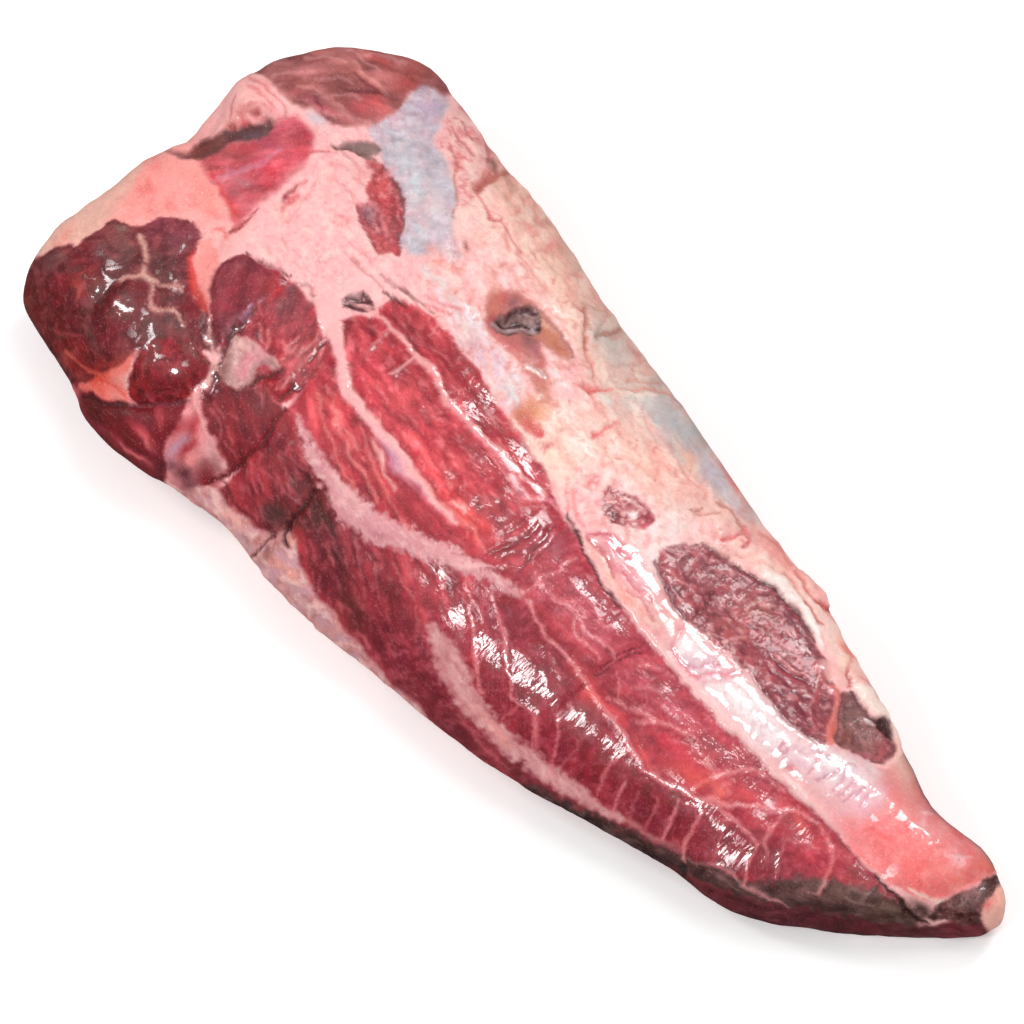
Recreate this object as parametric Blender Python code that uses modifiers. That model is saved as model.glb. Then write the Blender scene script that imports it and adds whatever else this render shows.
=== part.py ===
"""Raw beef chuck tender: one whole piece of meat, blunt and lobed at its thick end and tapering to a tip.

Frame: +X runs from the thick end to the tip, +Y from the near edge to the far edge, +Z up.
The origin is on the board, under the middle of the piece. Lengths in this script are
millimetres until the mesh is finished, and the object itself is in metres.

The form is made in four steps:
  1. a UV sphere is stretched over cross-sections, which are blended between stations in X;
  2. mounds, hollows, seams and ridges are pushed in and out along its normals;
  3. a voxel Remesh spreads the faces evenly, and they are laid back on the form;
  4. what hangs below the board is pressed flat, so that the piece lies on a real flat face.

The relief is drawn on a slanted sheet laid over the piece: u runs along the piece from the
thick end, and v runs across it towards the far edge. A point's sheet coordinates are what is
left of it when it is looked at square to the sheet.
"""

import math

import bmesh
import bpy
import numpy as np

MM = 0.001

# ---- driving dimensions, in millimetres ----
LENGTH = 326.0
RINGS = 260  # along the piece
RING_POINTS = 170  # round each section
THICK_END_BLUNTNESS = 8.0  # 2 would make an end an ellipsoid; more makes it blunter
TIP_BLUNTNESS = 5.0
VOXEL = 4.5
RELAX_STEPS = 6  # smoothing passes that even out the faces
BASE_SINK = 3.0  # how far the sections reach below the board before they are pressed flat
NEAR_WIDEST = 0.36  # height of the widest point of the near side, as a share of the thickness
FAR_WIDEST = 0.30

# Sections. x along the piece; the near and far edges and the crest in Y; the thickness;
# and how square the near and far shoulders are (2 is an ellipse).
#   x,    near,  far,  crest, top, near_square, far_square
SECTIONS = (
    (-163, -67.5, 67.5, -16.5, 46.0, 2.6, 2.7),
    (-155, -65.0, 62.5, -15.5, 51.0, 2.6, 2.6),
    (-147, -64.5, 67.0, -14.5, 54.0, 2.5, 2.5),
    (-131, -66.5, 74.0, -12.5, 57.0, 2.4, 2.4),
    (-115, -71.0, 71.5, -11.5, 60.0, 2.3, 2.3),
    (-95, -69.0, 66.5, -11.5, 61.0, 2.3, 2.3),
    (-73, -66.5, 64.0, -12.5, 61.0, 2.3, 2.3),
    (-47, -68.5, 58.0, -14.5, 60.0, 2.3, 2.2),
    (-19, -66.5, 53.0, -16.5, 58.0, 2.3, 2.2),
    (9, -65.0, 48.0, -17.5, 55.0, 2.3, 2.2),
    (35, -62.0, 42.5, -16.5, 51.0, 2.4, 2.2),
    (61, -54.0, 38.0, -13.5, 46.0, 2.6, 2.2),
    (87, -47.0, 31.0, -10.5, 42.0, 2.9, 2.2),
    (111, -43.5, 24.0, -7.5, 37.0, 3.1, 2.2),
    (133, -29.0, 18.5, -3.5, 33.0, 3.1, 2.3),
    (151, -13.0, 22.0, 2.5, 30.0, 3.0, 2.5),
    (162, -2.5, 16.0, 7.5, 26.0, 2.8, 2.6),
)

# ---- the slanted sheet that the relief is drawn on ----
SHEET_U = np.array((0.940, 0.118, -0.320))
SHEET_V = np.array((0.0, 0.939, 0.343))
SHEET_ORIGIN = (168.6, -2.2)  # u and v of the frame's origin
SHEET_NORMAL = np.cross(SHEET_U, SHEET_V)

# Rounded lobes (raised) and hollows (sunk): name, (u, v), radii along u and v, turn in degrees, height
MOUNDS = (
    ("end_lobe", (21, -32), (20, 20), 0, 3.5),
    ("knot_lobe", (52, -36), (9, 12), 0, 3.0),
    ("low_flap_lobe", (56, -56), (16, 5), 0, 3.0),
    ("wedge_lobe", (52, -5), (11, 8), -20, 2.0),
    ("upper_lobe", (30, 56), (18, 12), 35, 3.0),
    ("fat_knob", (15, 36), (6, 5), 0, 3.0),
    ("end_cavity", (19, 25), (8, 5), 35, -8.0),
    ("far_fat_roll", (88, 65), (12, 5), -10, 2.0),
    ("vessel_hole", (111, 40), (7, 4), 35, -4.5),
    ("far_hollow", (150, 44), (22, 7), -10, -2.0),
    ("spindle_pocket", (216, 22), (30, 9), -3, -2.5),
    ("small_pocket", (258, 21), (9, 5), -10, -2.0),
    ("rim_knob", (226, 41), (6, 4), 0, 2.5),
    ("tip_knob", (314, 11), (4, 6), 0, 1.5),
)

# Dents and bumps placed in the frame itself, for the ends and the edges:
# name, centre, radius, height
DENTS = (
    ("end_notch", (-160, 7, 38), 10.0, -9.0),
    ("end_dip", (-163, -22, 34), 13.0, -2.5),
    ("near_waist", (-62, -66, 20), 20.0, -2.0),
)

# Seams between muscles (sunk) and bands of fat or membrane (raised):
# name, half width, height, points on the sheet
LINES = (
    (
        "main_seam",
        5.0,
        -3.0,
        ((80, 20), (98, 23), (118, 21), (140, 14), (158, 7), (176, 2), (200, -1), (240, -4), (284, -5)),
    ),
    ("membrane_band", 8.0, 2.6, ((172, 9), (200, 5), (232, 3), (262, 7), (292, 10))),
    ("rim_band", 5.0, 2.5, ((178, 27), (196, 36), (222, 38), (244, 32), (264, 26))),
    ("fascia_band", 4.0, 1.6, ((84, -14), (96, -25), (112, -29), (134, -25), (160, -16))),
    ("upper_seam", 4.0, -3.0, ((26, 42), (40, 44), (54, 45), (66, 40), (74, 31))),
    ("lobe_seam", 4.0, -3.0, ((34, 0), (36, -12), (46, -22), (60, -28), (60, -38), (50, -48), (38, -52))),
    ("wedge_seam", 3.5, -2.0, ((44, 3), (56, 5), (66, 8))),
    ("first_cut", 3.2, -2.4, ((80, -12), (82, -24), (83, -40), (80, -48))),
    ("second_cut", 3.2, -2.4, ((101, -32), (103, -42), (102, -54))),
    ("near_fold", 4.0, -2.4, ((84, -50), (104, -50), (124, -52), (146, -56))),
    ("near_fat", 4.0, 2.0, ((84, -55), (104, -55), (124, -57), (146, -59))),
    ("shoulder_edge", 3.6, 2.0, ((204, -46), (226, -43), (246, -37), (266, -28), (288, -13), (302, -3))),
    ("end_step", 3.6, -2.6, ((292, -8), (303, -1), (307, 6), (310, 14))),
)


# ---- helpers ----
def smooth_step(low, high, value):
    share = np.clip((value - low) / (high - low), 0.0, 1.0)
    return share * share * (3.0 - 2.0 * share)


def blended(x, column):
    """A column of SECTIONS at x, blended smoothly between the stations."""
    stations = np.array([row[0] for row in SECTIONS], float)
    values = np.array([row[column] for row in SECTIONS], float)
    slopes = np.gradient(values, stations)
    i = np.clip(np.searchsorted(stations, x) - 1, 0, len(stations) - 2)
    step = stations[i + 1] - stations[i]
    t = np.clip((x - stations[i]) / step, 0.0, 1.0)
    return (
        (2 * t**3 - 3 * t**2 + 1) * values[i]
        + (t**3 - 2 * t**2 + t) * step * slopes[i]
        + (3 * t**2 - 2 * t**3) * values[i + 1]
        + (t**3 - t**2) * step * slopes[i + 1]
    )


def rounded(cosine, sine, squareness):
    """The point of a superellipse quarter in the direction (cosine, sine)."""
    power = 2.0 / squareness
    return np.abs(cosine) ** power * np.sign(cosine), np.abs(sine) ** power * np.sign(sine)


def section_points(direction):
    """Unit-sphere points, with the poles at +X and -X, moved onto the sections."""
    along = direction[:, 0]
    x = along * LENGTH / 2.0
    near, far, crest, top, near_square, far_square = (blended(x, column) for column in range(1, 7))
    ring = np.maximum(np.hypot(direction[:, 1], direction[:, 2]), 1e-9)
    cosine, sine = direction[:, 1] / ring, direction[:, 2] / ring
    is_near = cosine < 0.0
    across, up = rounded(cosine, sine, np.where(is_near, near_square, far_square))
    bluntness = np.where(along < 0.0, THICK_END_BLUNTNESS, TIP_BLUNTNESS)
    size = (1.0 - np.abs(along) ** bluntness) ** (1.0 / bluntness)
    widest = np.where(is_near, NEAR_WIDEST, FAR_WIDEST) * top
    reach = np.where(is_near, crest - near, far - crest) * size
    y = crest + across * reach
    height = np.where(up > 0.0, top - widest, widest + BASE_SINK)
    return np.stack((x, y, widest + up * height * size), axis=1)


def on_sheet(points):
    """The points' sheet coordinates, u and v."""
    return points @ SHEET_U + SHEET_ORIGIN[0], points @ SHEET_V + SHEET_ORIGIN[1]


def mound_height(u, v, centre, radii, turn):
    """1 at the centre, falling off smoothly to 0 outside the turned ellipse."""
    angle = math.radians(turn)
    du, dv = u - centre[0], v - centre[1]
    a = (du * math.cos(angle) + dv * math.sin(angle)) / radii[0]
    b = (dv * math.cos(angle) - du * math.sin(angle)) / radii[1]
    return np.exp(-(a * a + b * b))


def line_distance(u, v, points):
    """The distance on the sheet to a line through the points."""
    nearest = np.full(len(u), np.inf)
    for (u0, v0), (u1, v1) in zip(points, points[1:]):
        du, dv = u1 - u0, v1 - v0
        share = np.clip(((u - u0) * du + (v - v0) * dv) / (du * du + dv * dv), 0.0, 1.0)
        nearest = np.minimum(nearest, np.hypot(u - u0 - share * du, v - v0 - share * dv))
    return nearest


def relief(points, normals):
    """How far each point moves along its normal."""
    u, v = on_sheet(points)
    push = np.zeros(len(u))
    for _, centre, radii, turn, height in MOUNDS:
        push += height * mound_height(u, v, centre, radii, turn)
    for _, half_width, height, line in LINES:
        push += height * np.exp(-((line_distance(u, v, line) / half_width) ** 2))
    push *= smooth_step(-0.05, 0.35, normals @ SHEET_NORMAL)
    for _, centre, radius, height in DENTS:
        push += height * np.exp(-(np.linalg.norm(points - centre, axis=1) / radius) ** 2)
    return push


# ---- mesh steps ----
def coordinates(mesh, what="co"):
    values = np.empty(len(mesh.vertices) * 3)
    mesh.vertices.foreach_get(what, values)
    return values.reshape(-1, 3)


def set_coordinates(mesh, points):
    mesh.vertices.foreach_set("co", points.astype(np.float32).ravel())
    mesh.update()


def stretched_sphere(name):
    """The blank: a UV sphere whose poles are the two ends, stretched over the sections."""
    mesh = bpy.data.meshes.new(name)
    sphere = bmesh.new()
    bmesh.ops.create_uvsphere(sphere, u_segments=RING_POINTS, v_segments=RINGS, radius=1.0)
    sphere.to_mesh(mesh)
    sphere.free()
    upright = coordinates(mesh)
    lying = upright[:, [2, 0, 1]]  # a turn that keeps the faces pointing out
    set_coordinates(mesh, section_points(lying))
    return mesh


def evenly_faced(mesh, name):
    """The same form with evenly spread faces: remeshed, evened out, and laid back on the blank."""
    blank = bpy.data.objects.new(name + "_blank", mesh)
    even = bpy.data.objects.new(name + "_even", mesh.copy())
    for obj in (blank, even):
        bpy.context.scene.collection.objects.link(obj)
    remesh = even.modifiers.new("even_faces", "REMESH")
    remesh.mode = "VOXEL"
    remesh.voxel_size = VOXEL
    relax = even.modifiers.new("relax", "SMOOTH")
    relax.factor = 0.5
    relax.iterations = RELAX_STEPS
    wrap = even.modifiers.new("back_on_the_blank", "SHRINKWRAP")
    wrap.target = blank
    wrap.wrap_method = "NEAREST_SURFACEPOINT"
    graph = bpy.context.evaluated_depsgraph_get()
    finished = bpy.data.meshes.new_from_object(even.evaluated_get(graph))
    finished.name = name
    for obj in (blank, even):
        bpy.data.objects.remove(obj)
    return finished


def meat_material():
    material = bpy.data.materials.new("raw_beef")
    material.use_nodes = True
    shader = material.node_tree.nodes["Principled BSDF"]
    shader.inputs["Base Color"].default_value = (0.40, 0.045, 0.05, 1.0)
    shader.inputs["Roughness"].default_value = 0.32
    shader.inputs["Metallic"].default_value = 0.0
    return material


def build():
    for obj in list(bpy.data.objects):
        bpy.data.objects.remove(obj)
    blank = stretched_sphere("chuck_tender")
    points = coordinates(blank)
    normals = coordinates(blank, "normal")
    set_coordinates(blank, points + normals * relief(points, normals)[:, None])
    mesh = evenly_faced(blank, "chuck_tender")
    points = coordinates(mesh)
    points[:, 2] = np.maximum(points[:, 2], 0.0)
    points[:, :2] -= (points[:, :2].max(axis=0) + points[:, :2].min(axis=0)) / 2.0
    set_coordinates(mesh, points * MM)
    mesh.shade_smooth()
    mesh.materials.append(meat_material())
    meat = bpy.data.objects.new("chuck_tender", mesh)
    parts = bpy.data.collections.new("raw_beef_chuck_tender")
    bpy.context.scene.collection.children.link(parts)
    parts.objects.link(meat)


build()
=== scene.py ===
"""Raw beef chuck tender: the looks of the whole piece of meat, over its CAD frame."""

import math

import bmesh
import bpy
import numpy as np
from mathutils import Matrix


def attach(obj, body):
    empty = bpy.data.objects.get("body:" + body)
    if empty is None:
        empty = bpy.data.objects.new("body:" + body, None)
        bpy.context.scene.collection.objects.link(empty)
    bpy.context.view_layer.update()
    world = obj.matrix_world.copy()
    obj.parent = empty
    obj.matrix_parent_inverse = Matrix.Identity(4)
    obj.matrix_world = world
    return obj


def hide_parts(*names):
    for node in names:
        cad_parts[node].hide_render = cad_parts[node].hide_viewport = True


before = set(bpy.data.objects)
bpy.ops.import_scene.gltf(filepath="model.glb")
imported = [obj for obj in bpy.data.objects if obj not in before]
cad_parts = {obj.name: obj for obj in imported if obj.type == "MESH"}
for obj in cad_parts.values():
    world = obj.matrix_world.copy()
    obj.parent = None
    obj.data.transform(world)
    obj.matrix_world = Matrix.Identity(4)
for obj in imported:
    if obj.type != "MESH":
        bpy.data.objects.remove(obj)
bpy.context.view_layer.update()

MM = 0.001
scene = bpy.context.scene

# The sheet that the tissues are drawn on lies slanted over the piece. u runs along the piece
# from the thick end, and v runs across it towards the far edge, both in millimetres.
SHEET_U = np.array((0.940, 0.118, -0.320))
SHEET_V = np.array((0.0, 0.939, 0.343))
SHEET_FACE = np.cross(SHEET_U, SHEET_V)
SHEET_FACE /= np.linalg.norm(SHEET_FACE)
SHEET_ORIGIN = (168.6, -2.2)




# ======================================================================================
# Noise and drawing on the sheet (all lengths in millimetres)
# ======================================================================================
def smooth_step(low, high, value):
    share = np.clip((value - low) / (high - low), 0.0, 1.0)
    return share * share * (3.0 - 2.0 * share)


def noise(u, v, size, seed):
    """Smooth gradient noise, about -1 to 1, with bumps of the given size."""
    turns = np.random.default_rng(seed).random((128, 128)) * 2.0 * math.pi
    lean_u, lean_v = np.cos(turns), np.sin(turns)
    x, y = u / size, v / size
    i, j = np.floor(x).astype(int), np.floor(y).astype(int)
    x, y = x - i, y - j
    ease_x, ease_y = x * x * x * (x * (x * 6 - 15) + 10), y * y * y * (y * (y * 6 - 15) + 10)
    total = np.zeros(np.shape(x))
    for di in (0, 1):
        for dj in (0, 1):
            a, b = (i + di) % 128, (j + dj) % 128
            slope = lean_u[a, b] * (x - di) + lean_v[a, b] * (y - dj)
            total += slope * (ease_x if di else 1 - ease_x) * (ease_y if dj else 1 - ease_y)
    return total * 1.5


def cloud(u, v, size, seed, octaves=3, fade=0.5):
    total, weight, sum_of_weights = 0.0, 1.0, 0.0
    for octave in range(octaves):
        total = total + weight * noise(u, v, size / 2.0**octave, seed + octave)
        sum_of_weights += weight
        weight *= fade
    return total / sum_of_weights * 1.4


def ridges(u, v, size, seed, octaves=2):
    """Thin crests: near 1 along winding lines, falling to 0 between them."""
    return np.clip(1.0 - 2.2 * np.abs(cloud(u, v, size, seed, octaves)), 0.0, 1.0)


def cells(u, v, size, seed, jitter=0.85):
    """Cell pattern: the distances to the nearest and second nearest cell point, in cell sizes."""
    spots = np.random.default_rng(seed).random((64, 64, 2))
    x, y = u / size, v / size
    i, j = np.floor(x).astype(int), np.floor(y).astype(int)
    first = np.full(np.shape(x), 9.0)
    second = np.full(np.shape(x), 9.0)
    for di in (-1, 0, 1):
        for dj in (-1, 0, 1):
            spot = spots[(i + di) % 64, (j + dj) % 64]
            dx = i + di + 0.5 + jitter * (spot[..., 0] - 0.5) - x
            dy = j + dj + 0.5 + jitter * (spot[..., 1] - 0.5) - y
            distance = np.hypot(dx, dy)
            second = np.minimum(second, np.maximum(first, distance))
            first = np.minimum(first, distance)
    return first, second


def rounded_off(points, closed, passes=2):
    """The line or outline with its corners cut, twice, into a curve."""
    points = np.array(points, float)
    for _ in range(passes):
        ahead = np.roll(points, -1, axis=0) if closed else points[1:]
        here = points if closed else points[:-1]
        cut = np.empty((len(here) * 2, 2))
        cut[0::2] = 0.75 * here + 0.25 * ahead
        cut[1::2] = 0.25 * here + 0.75 * ahead
        points = cut if closed else np.vstack((points[:1], cut[1:-1], points[-1:]))
    return points


def inside(u, v, outline, reach=8.0):
    """Distance to an outline: positive inside it, negative outside it, kept within the reach."""
    corners = rounded_off(outline, closed=True)
    low, high = corners.min(axis=0) - reach, corners.max(axis=0) + reach
    depth = np.full(u.shape, -reach)
    near = (u > low[0]) & (u < high[0]) & (v > low[1]) & (v < high[1])
    if not near.any():
        return depth
    x, y = u[near], v[near]
    nearest = np.full(x.shape, reach * reach)
    within = np.zeros(x.shape, bool)
    for (u0, v0), (u1, v1) in zip(corners, np.roll(corners, -1, axis=0)):
        du, dv = u1 - u0, v1 - v0
        share = np.clip(((x - u0) * du + (y - v0) * dv) / (du * du + dv * dv + 1e-12), 0.0, 1.0)
        nearest = np.minimum(nearest, (x - u0 - share * du) ** 2 + (y - v0 - share * dv) ** 2)
        if v0 != v1:
            within ^= ((v0 > y) != (v1 > y)) & (x < u0 + (y - v0) * du / dv)
    nearest = np.sqrt(nearest)
    depth[near] = np.where(within, nearest, -nearest)
    return depth


def along(u, v, points, reach=8.0):
    """Distance to a line through the points, and the share of its length where it is nearest."""
    points = rounded_off(points, closed=False)
    low, high = points.min(axis=0) - reach, points.max(axis=0) + reach
    distance = np.full(u.shape, reach)
    share_along = np.zeros(u.shape)
    near = (u > low[0]) & (u < high[0]) & (v > low[1]) & (v < high[1])
    if not near.any():
        return distance, share_along
    x, y = u[near], v[near]
    nearest = np.full(x.shape, reach * reach)
    where = np.zeros(x.shape)
    steps = np.hypot(*(points[1:] - points[:-1]).T)
    starts = np.concatenate(((0.0,), np.cumsum(steps)))
    for k, ((u0, v0), (u1, v1)) in enumerate(zip(points, points[1:])):
        du, dv = u1 - u0, v1 - v0
        share = np.clip(((x - u0) * du + (y - v0) * dv) / (du * du + dv * dv + 1e-12), 0.0, 1.0)
        squared = (x - u0 - share * du) ** 2 + (y - v0 - share * dv) ** 2
        closer = squared < nearest
        nearest = np.where(closer, squared, nearest)
        where = np.where(closer, (starts[k] + share * steps[k]) / starts[-1], where)
    distance[near] = np.sqrt(nearest)
    share_along[near] = where
    return distance, share_along


def spot(u, v, centre, radii, turn=0.0):
    """1 in the middle of a turned ellipse, fading smoothly out."""
    angle = math.radians(turn)
    du, dv = u - centre[0], v - centre[1]
    a = (du * math.cos(angle) + dv * math.sin(angle)) / radii[0]
    b = (dv * math.cos(angle) - du * math.sin(angle)) / radii[1]
    return np.exp(-(a * a + b * b))


# ======================================================================================
# The dressing: colour, wetness and relief over the sheet
# ======================================================================================
# Colours as they look under white light, 0 to 255.
MUSCLE = (176, 60, 68)
FAT_PINK = (254, 190, 188)
FAT_CREAM = (253, 209, 198)
FAT_SALMON = (251, 158, 150)
FAT_OLIVE = (200, 164, 146)
LILAC = (204, 140, 168)

# The direction that the fibres run in: (u, v), degrees from +u towards +v
FIBRES = (
    (12, -22, 75), (28, -12, 40), (20, -45, -20), (40, -35, -60), (50, -8, -62), (52, -38, -30),
    (56, -57, 6), (70, -8, -72), (78, -6, -80), (70, -33, -28), (76, -42, -30), (66, -48, -65),
    (88, -12, -38), (90, -32, -32), (92, -44, -38), (100, -16, -24), (118, -18, -20), (132, -16, -12),
    (105, 2, -8), (125, 3, -3), (145, 3, -6), (100, 18, -6), (125, 14, -12), (142, -8, 8), (154, -4, 78),
    (112, -38, -28), (125, -46, -33), (145, -46, -28), (140, -34, -36), (158, -26, -38), (166, -36, -42),
    (172, -52, -8), (186, -38, -48), (172, -10, 4), (190, -12, 6), (205, -22, 6), (205, -36, -58),
    (222, -18, 14), (224, -34, -62), (240, -16, 22), (240, -30, -58), (256, -12, 20), (262, -26, -48),
    (270, -10, -10), (282, -8, 20), (278, -24, 32), (294, -12, 36), (262, -38, 16), (225, -45, 14),
    (196, -52, 8), (30, 55, 34), (42, 64, 30), (18, 47, 52), (40, 49, 18), (60, 40, -38), (68, 33, -52),
    (30, 30, 46), (30, 16, 40), (60, 58, -58), (76, 45, -52), (100, 29, -8), (100, 56, -10),
    (140, 50, 28), (160, 36, 2), (200, 38, -8), (200, 24, 24), (222, 20, 10), (242, 17, -6),
    (246, 34, -26), (258, 21, 34), (290, 8, 4), (240, 4, 0), (190, 6, -4), (60, 20, 10), (12, 0, 80),
)


def fibre_turn(u, v):
    """The direction of the fibres at each point, in radians."""
    east = np.zeros(np.shape(u))
    north = np.zeros(np.shape(u))
    for u0, v0, degrees in FIBRES:
        weight = 1.0 / (((u - u0) ** 2 + (v - v0) ** 2) / 60.0 + 1.0) ** 2.5
        east += weight * math.cos(2 * math.radians(degrees))
        north += weight * math.sin(2 * math.radians(degrees))
    return np.arctan2(north, east) / 2.0


SHEET_BOX = (-14.0, 334.0, -84.0, 94.0)


class Streaks:
    """Noise that is smeared along the fibres, worked out once on a grid over the sheet."""

    def __init__(self, step, grain, length, seed, turn=None):
        u0, u1, v0, v1 = SHEET_BOX
        self.step = step
        self.shape = (int((u1 - u0) / step), int((v1 - v0) / step))
        u, v = np.meshgrid(u0 + np.arange(self.shape[0]) * step, v0 + np.arange(self.shape[1]) * step,
            indexing="ij")
        turn = fibre_turn(u, v)
        turn = turn + 0.18 * noise(u, v, 9.0, seed + 5) + 0.12 * noise(u, v, 4.0, seed + 6)
        self.run, self.rise = np.cos(turn), np.sin(turn)
        grid = np.random.default_rng(seed).normal(size=self.shape)
        blur = max(1, int(round(grain / step)))
        for _ in range(blur):
            grid = (grid + np.roll(grid, 1, 0) + np.roll(grid, -1, 0)) / 3.0
            grid = (grid + np.roll(grid, 1, 1) + np.roll(grid, -1, 1)) / 3.0
        total = grid.copy()
        for sign in (1.0, -1.0):
            x, y = np.meshgrid(np.arange(self.shape[0], dtype=float),
                np.arange(self.shape[1], dtype=float), indexing="ij")
            heading_x, heading_y = self.run * sign, self.rise * sign
            for _ in range(int(length / 2.0 / step)):
                x = np.clip(x + heading_x, 0, self.shape[0] - 1.001)
                y = np.clip(y + heading_y, 0, self.shape[1] - 1.001)
                i, j = x.astype(int), y.astype(int)
                total += grid[i, j]
                run, rise = self.run[i, j], self.rise[i, j]
                agree = np.where(run * heading_x + rise * heading_y < 0.0, -1.0, 1.0)
                heading_x, heading_y = run * agree, rise * agree
        self.grid = (total - total.mean()) / total.std()

    def at(self, u, v):
        x = np.clip((u - SHEET_BOX[0]) / self.step, 0, self.shape[0] - 1.001)
        y = np.clip((v - SHEET_BOX[2]) / self.step, 0, self.shape[1] - 1.001)
        i, j = x.astype(int), y.astype(int)
        x, y = x - i, y - j
        low = self.grid[i, j] * (1 - x) + self.grid[i + 1, j] * x
        high = self.grid[i, j + 1] * (1 - x) + self.grid[i + 1, j + 1] * x
        return low * (1 - y) + high * y


class Dressing:
    """Colour, fatness, wetness and height at points on the sheet, laid on coat by coat."""

    def __init__(self, u, v):
        self.u, self.v = u, v
        self.wu = u + 0.9 * noise(u, v, 6.0, 11) + 0.45 * noise(u, v, 2.2, 13) + 0.2 * noise(u, v, 1.0, 15)
        self.wv = v + 0.9 * noise(u, v, 6.0, 12) + 0.45 * noise(u, v, 2.2, 14) + 0.2 * noise(u, v, 1.0, 16)
        self.colour = np.empty(u.shape + (3,))
        self.colour[:] = FAT_PINK
        self.fat = np.ones(u.shape)
        self.wet = np.full(u.shape, 0.45)
        self.height = np.zeros(u.shape)
        # how much it is wrinkled across, along, and all ways
        self.ripple = np.tile((0.0, 0.0, 0.35), (len(u), 1))

    def near(self, points, reach):
        """The numbers of the points that lie near these."""
        points = np.array(points, float).reshape(-1, 2)
        low, high = points.min(axis=0) - reach, points.max(axis=0) + reach
        return np.nonzero((self.wu > low[0]) & (self.wu < high[0]) & (self.wv > low[1])
            & (self.wv < high[1]))[0]

    def lay(self, mask, colour=None, fat=None, wet=None, height=0.0, at=slice(None)):
        mask = np.clip(mask, 0.0, 1.0)
        if colour is not None:
            self.colour[at] += (np.array(colour, float) - self.colour[at]) * mask[..., None]
        if fat is not None:
            self.fat[at] += (fat - self.fat[at]) * mask
        if wet is not None:
            self.wet[at] += (wet - self.wet[at]) * mask
        if height:
            self.height[at] += height * mask

    def area(self, outline, colour=None, soft=0.5, share=1.0, fat=None, wet=None, height=0.0, rim=4.0,
            ragged=0.0, grain=3.2, seed=0):
        """Fills an outline. height lifts its middle, over a rim that wide. Returns its mask."""
        at = self.near(outline, soft + ragged + 0.5)
        depth = inside(self.wu[at], self.wv[at], outline)
        if ragged:
            depth = depth + ragged * cloud(self.u[at], self.v[at], grain, 300 + seed, 3)
        mask = smooth_step(-soft, soft, depth)
        self.lay(mask * share, colour, fat, wet, at=at)
        if height:
            self.height[at] += height * np.sqrt(smooth_step(-0.4, rim, depth))
        whole = np.zeros(self.u.shape)
        whole[at] = mask
        return whole

    def stroke(self, points, width, colour=None, share=1.0, fat=None, wet=None, height=0.0, soft=0.5,
            taper=0.35, broken=0.0, seed=0):
        """Draws a line of that half width, thinner towards its ends."""
        reach = width * 1.5 + soft + 1.0
        at = self.near(points, reach)
        distance, where = along(self.wu[at], self.wv[at], points, reach)
        thin = 1.0 - taper * (2.0 * np.abs(where - 0.5)) ** 2
        half = width * thin * (1.0 + 0.35 * noise(self.u[at], self.v[at], 3.0, 500 + seed))
        mask = smooth_step(half + soft, np.maximum(half - soft, 0.0), distance)
        if broken:
            mask = mask * smooth_step(-0.35, 0.25, noise(self.u[at], self.v[at], 2.6, 600 + seed) + 0.8
                * (1 - broken))
        self.lay(mask * share, colour, fat, wet, at=at)
        if height:
            self.height[at] += height * np.exp(-((distance / (width + 0.3)) ** 2)) * (1.0
                - (2.0 * np.abs(where - 0.5)) ** 6)

    def dab(self, centre, radii, turn=0.0, colour=None, share=1.0, fat=None, wet=None, height=0.0,
            ragged=0.0, seed=0, within=None):
        """A soft blob, kept inside a mask where one is given."""
        at = self.near((centre,), 2.5 * max(radii))
        mask = spot(self.wu[at], self.wv[at], centre, radii, turn)
        if within is not None:
            mask = mask * within[at]
        if ragged:
            mask = mask * smooth_step(-ragged, ragged, cloud(self.u[at], self.v[at], 2.4, 700 + seed, 3)
                + ragged * 0.4)
        self.lay(mask * share, colour, fat, wet, height, at=at)

    def mottle(self, mask, colour, share, size, seed, cover=0.5, turn=0.0, stretch=1.0, height=0.0):
        """Blotches over a share of the mask, drawn out along one direction."""
        at = np.nonzero(mask > 0.01)[0]
        angle = math.radians(turn)
        x = (self.wu[at] * math.cos(angle) + self.wv[at] * math.sin(angle)) / stretch
        y = -self.wu[at] * math.sin(angle) + self.wv[at] * math.cos(angle)
        level = 0.9 * (0.5 - cover)
        blotch = mask[at] * smooth_step(level - 0.22, level + 0.3, cloud(x, y, size, 800 + seed, 3))
        self.lay(blotch * share, colour, height=height, at=at)

    def swirls(self, mask, colour, share, size, seed, height=0.0):
        """Thin winding lines all over the mask."""
        at = np.nonzero(mask > 0.01)[0]
        bend = 1.6 * noise(self.u[at], self.v[at], size * 1.3, 850 + seed)
        crest = smooth_step(0.72, 1.0, ridges(self.u[at] + bend, self.v[at] - bend, size, 860 + seed))
        crest = crest * smooth_step(-0.15, 0.45, cloud(self.u[at], self.v[at], size * 0.7, 870 + seed, 2))
        self.lay(mask[at] * crest * share, colour, height=height, at=at)

    def wrinkle(self, mask, amounts):
        self.ripple += (np.array(amounts) - self.ripple) * np.clip(mask, 0, 1)[:, None]

    def dabs(self, rows, within=None):
        for centre, radii, turn, colour, share in rows:
            self.dab(centre, radii, turn, colour, share, within=within)


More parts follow.
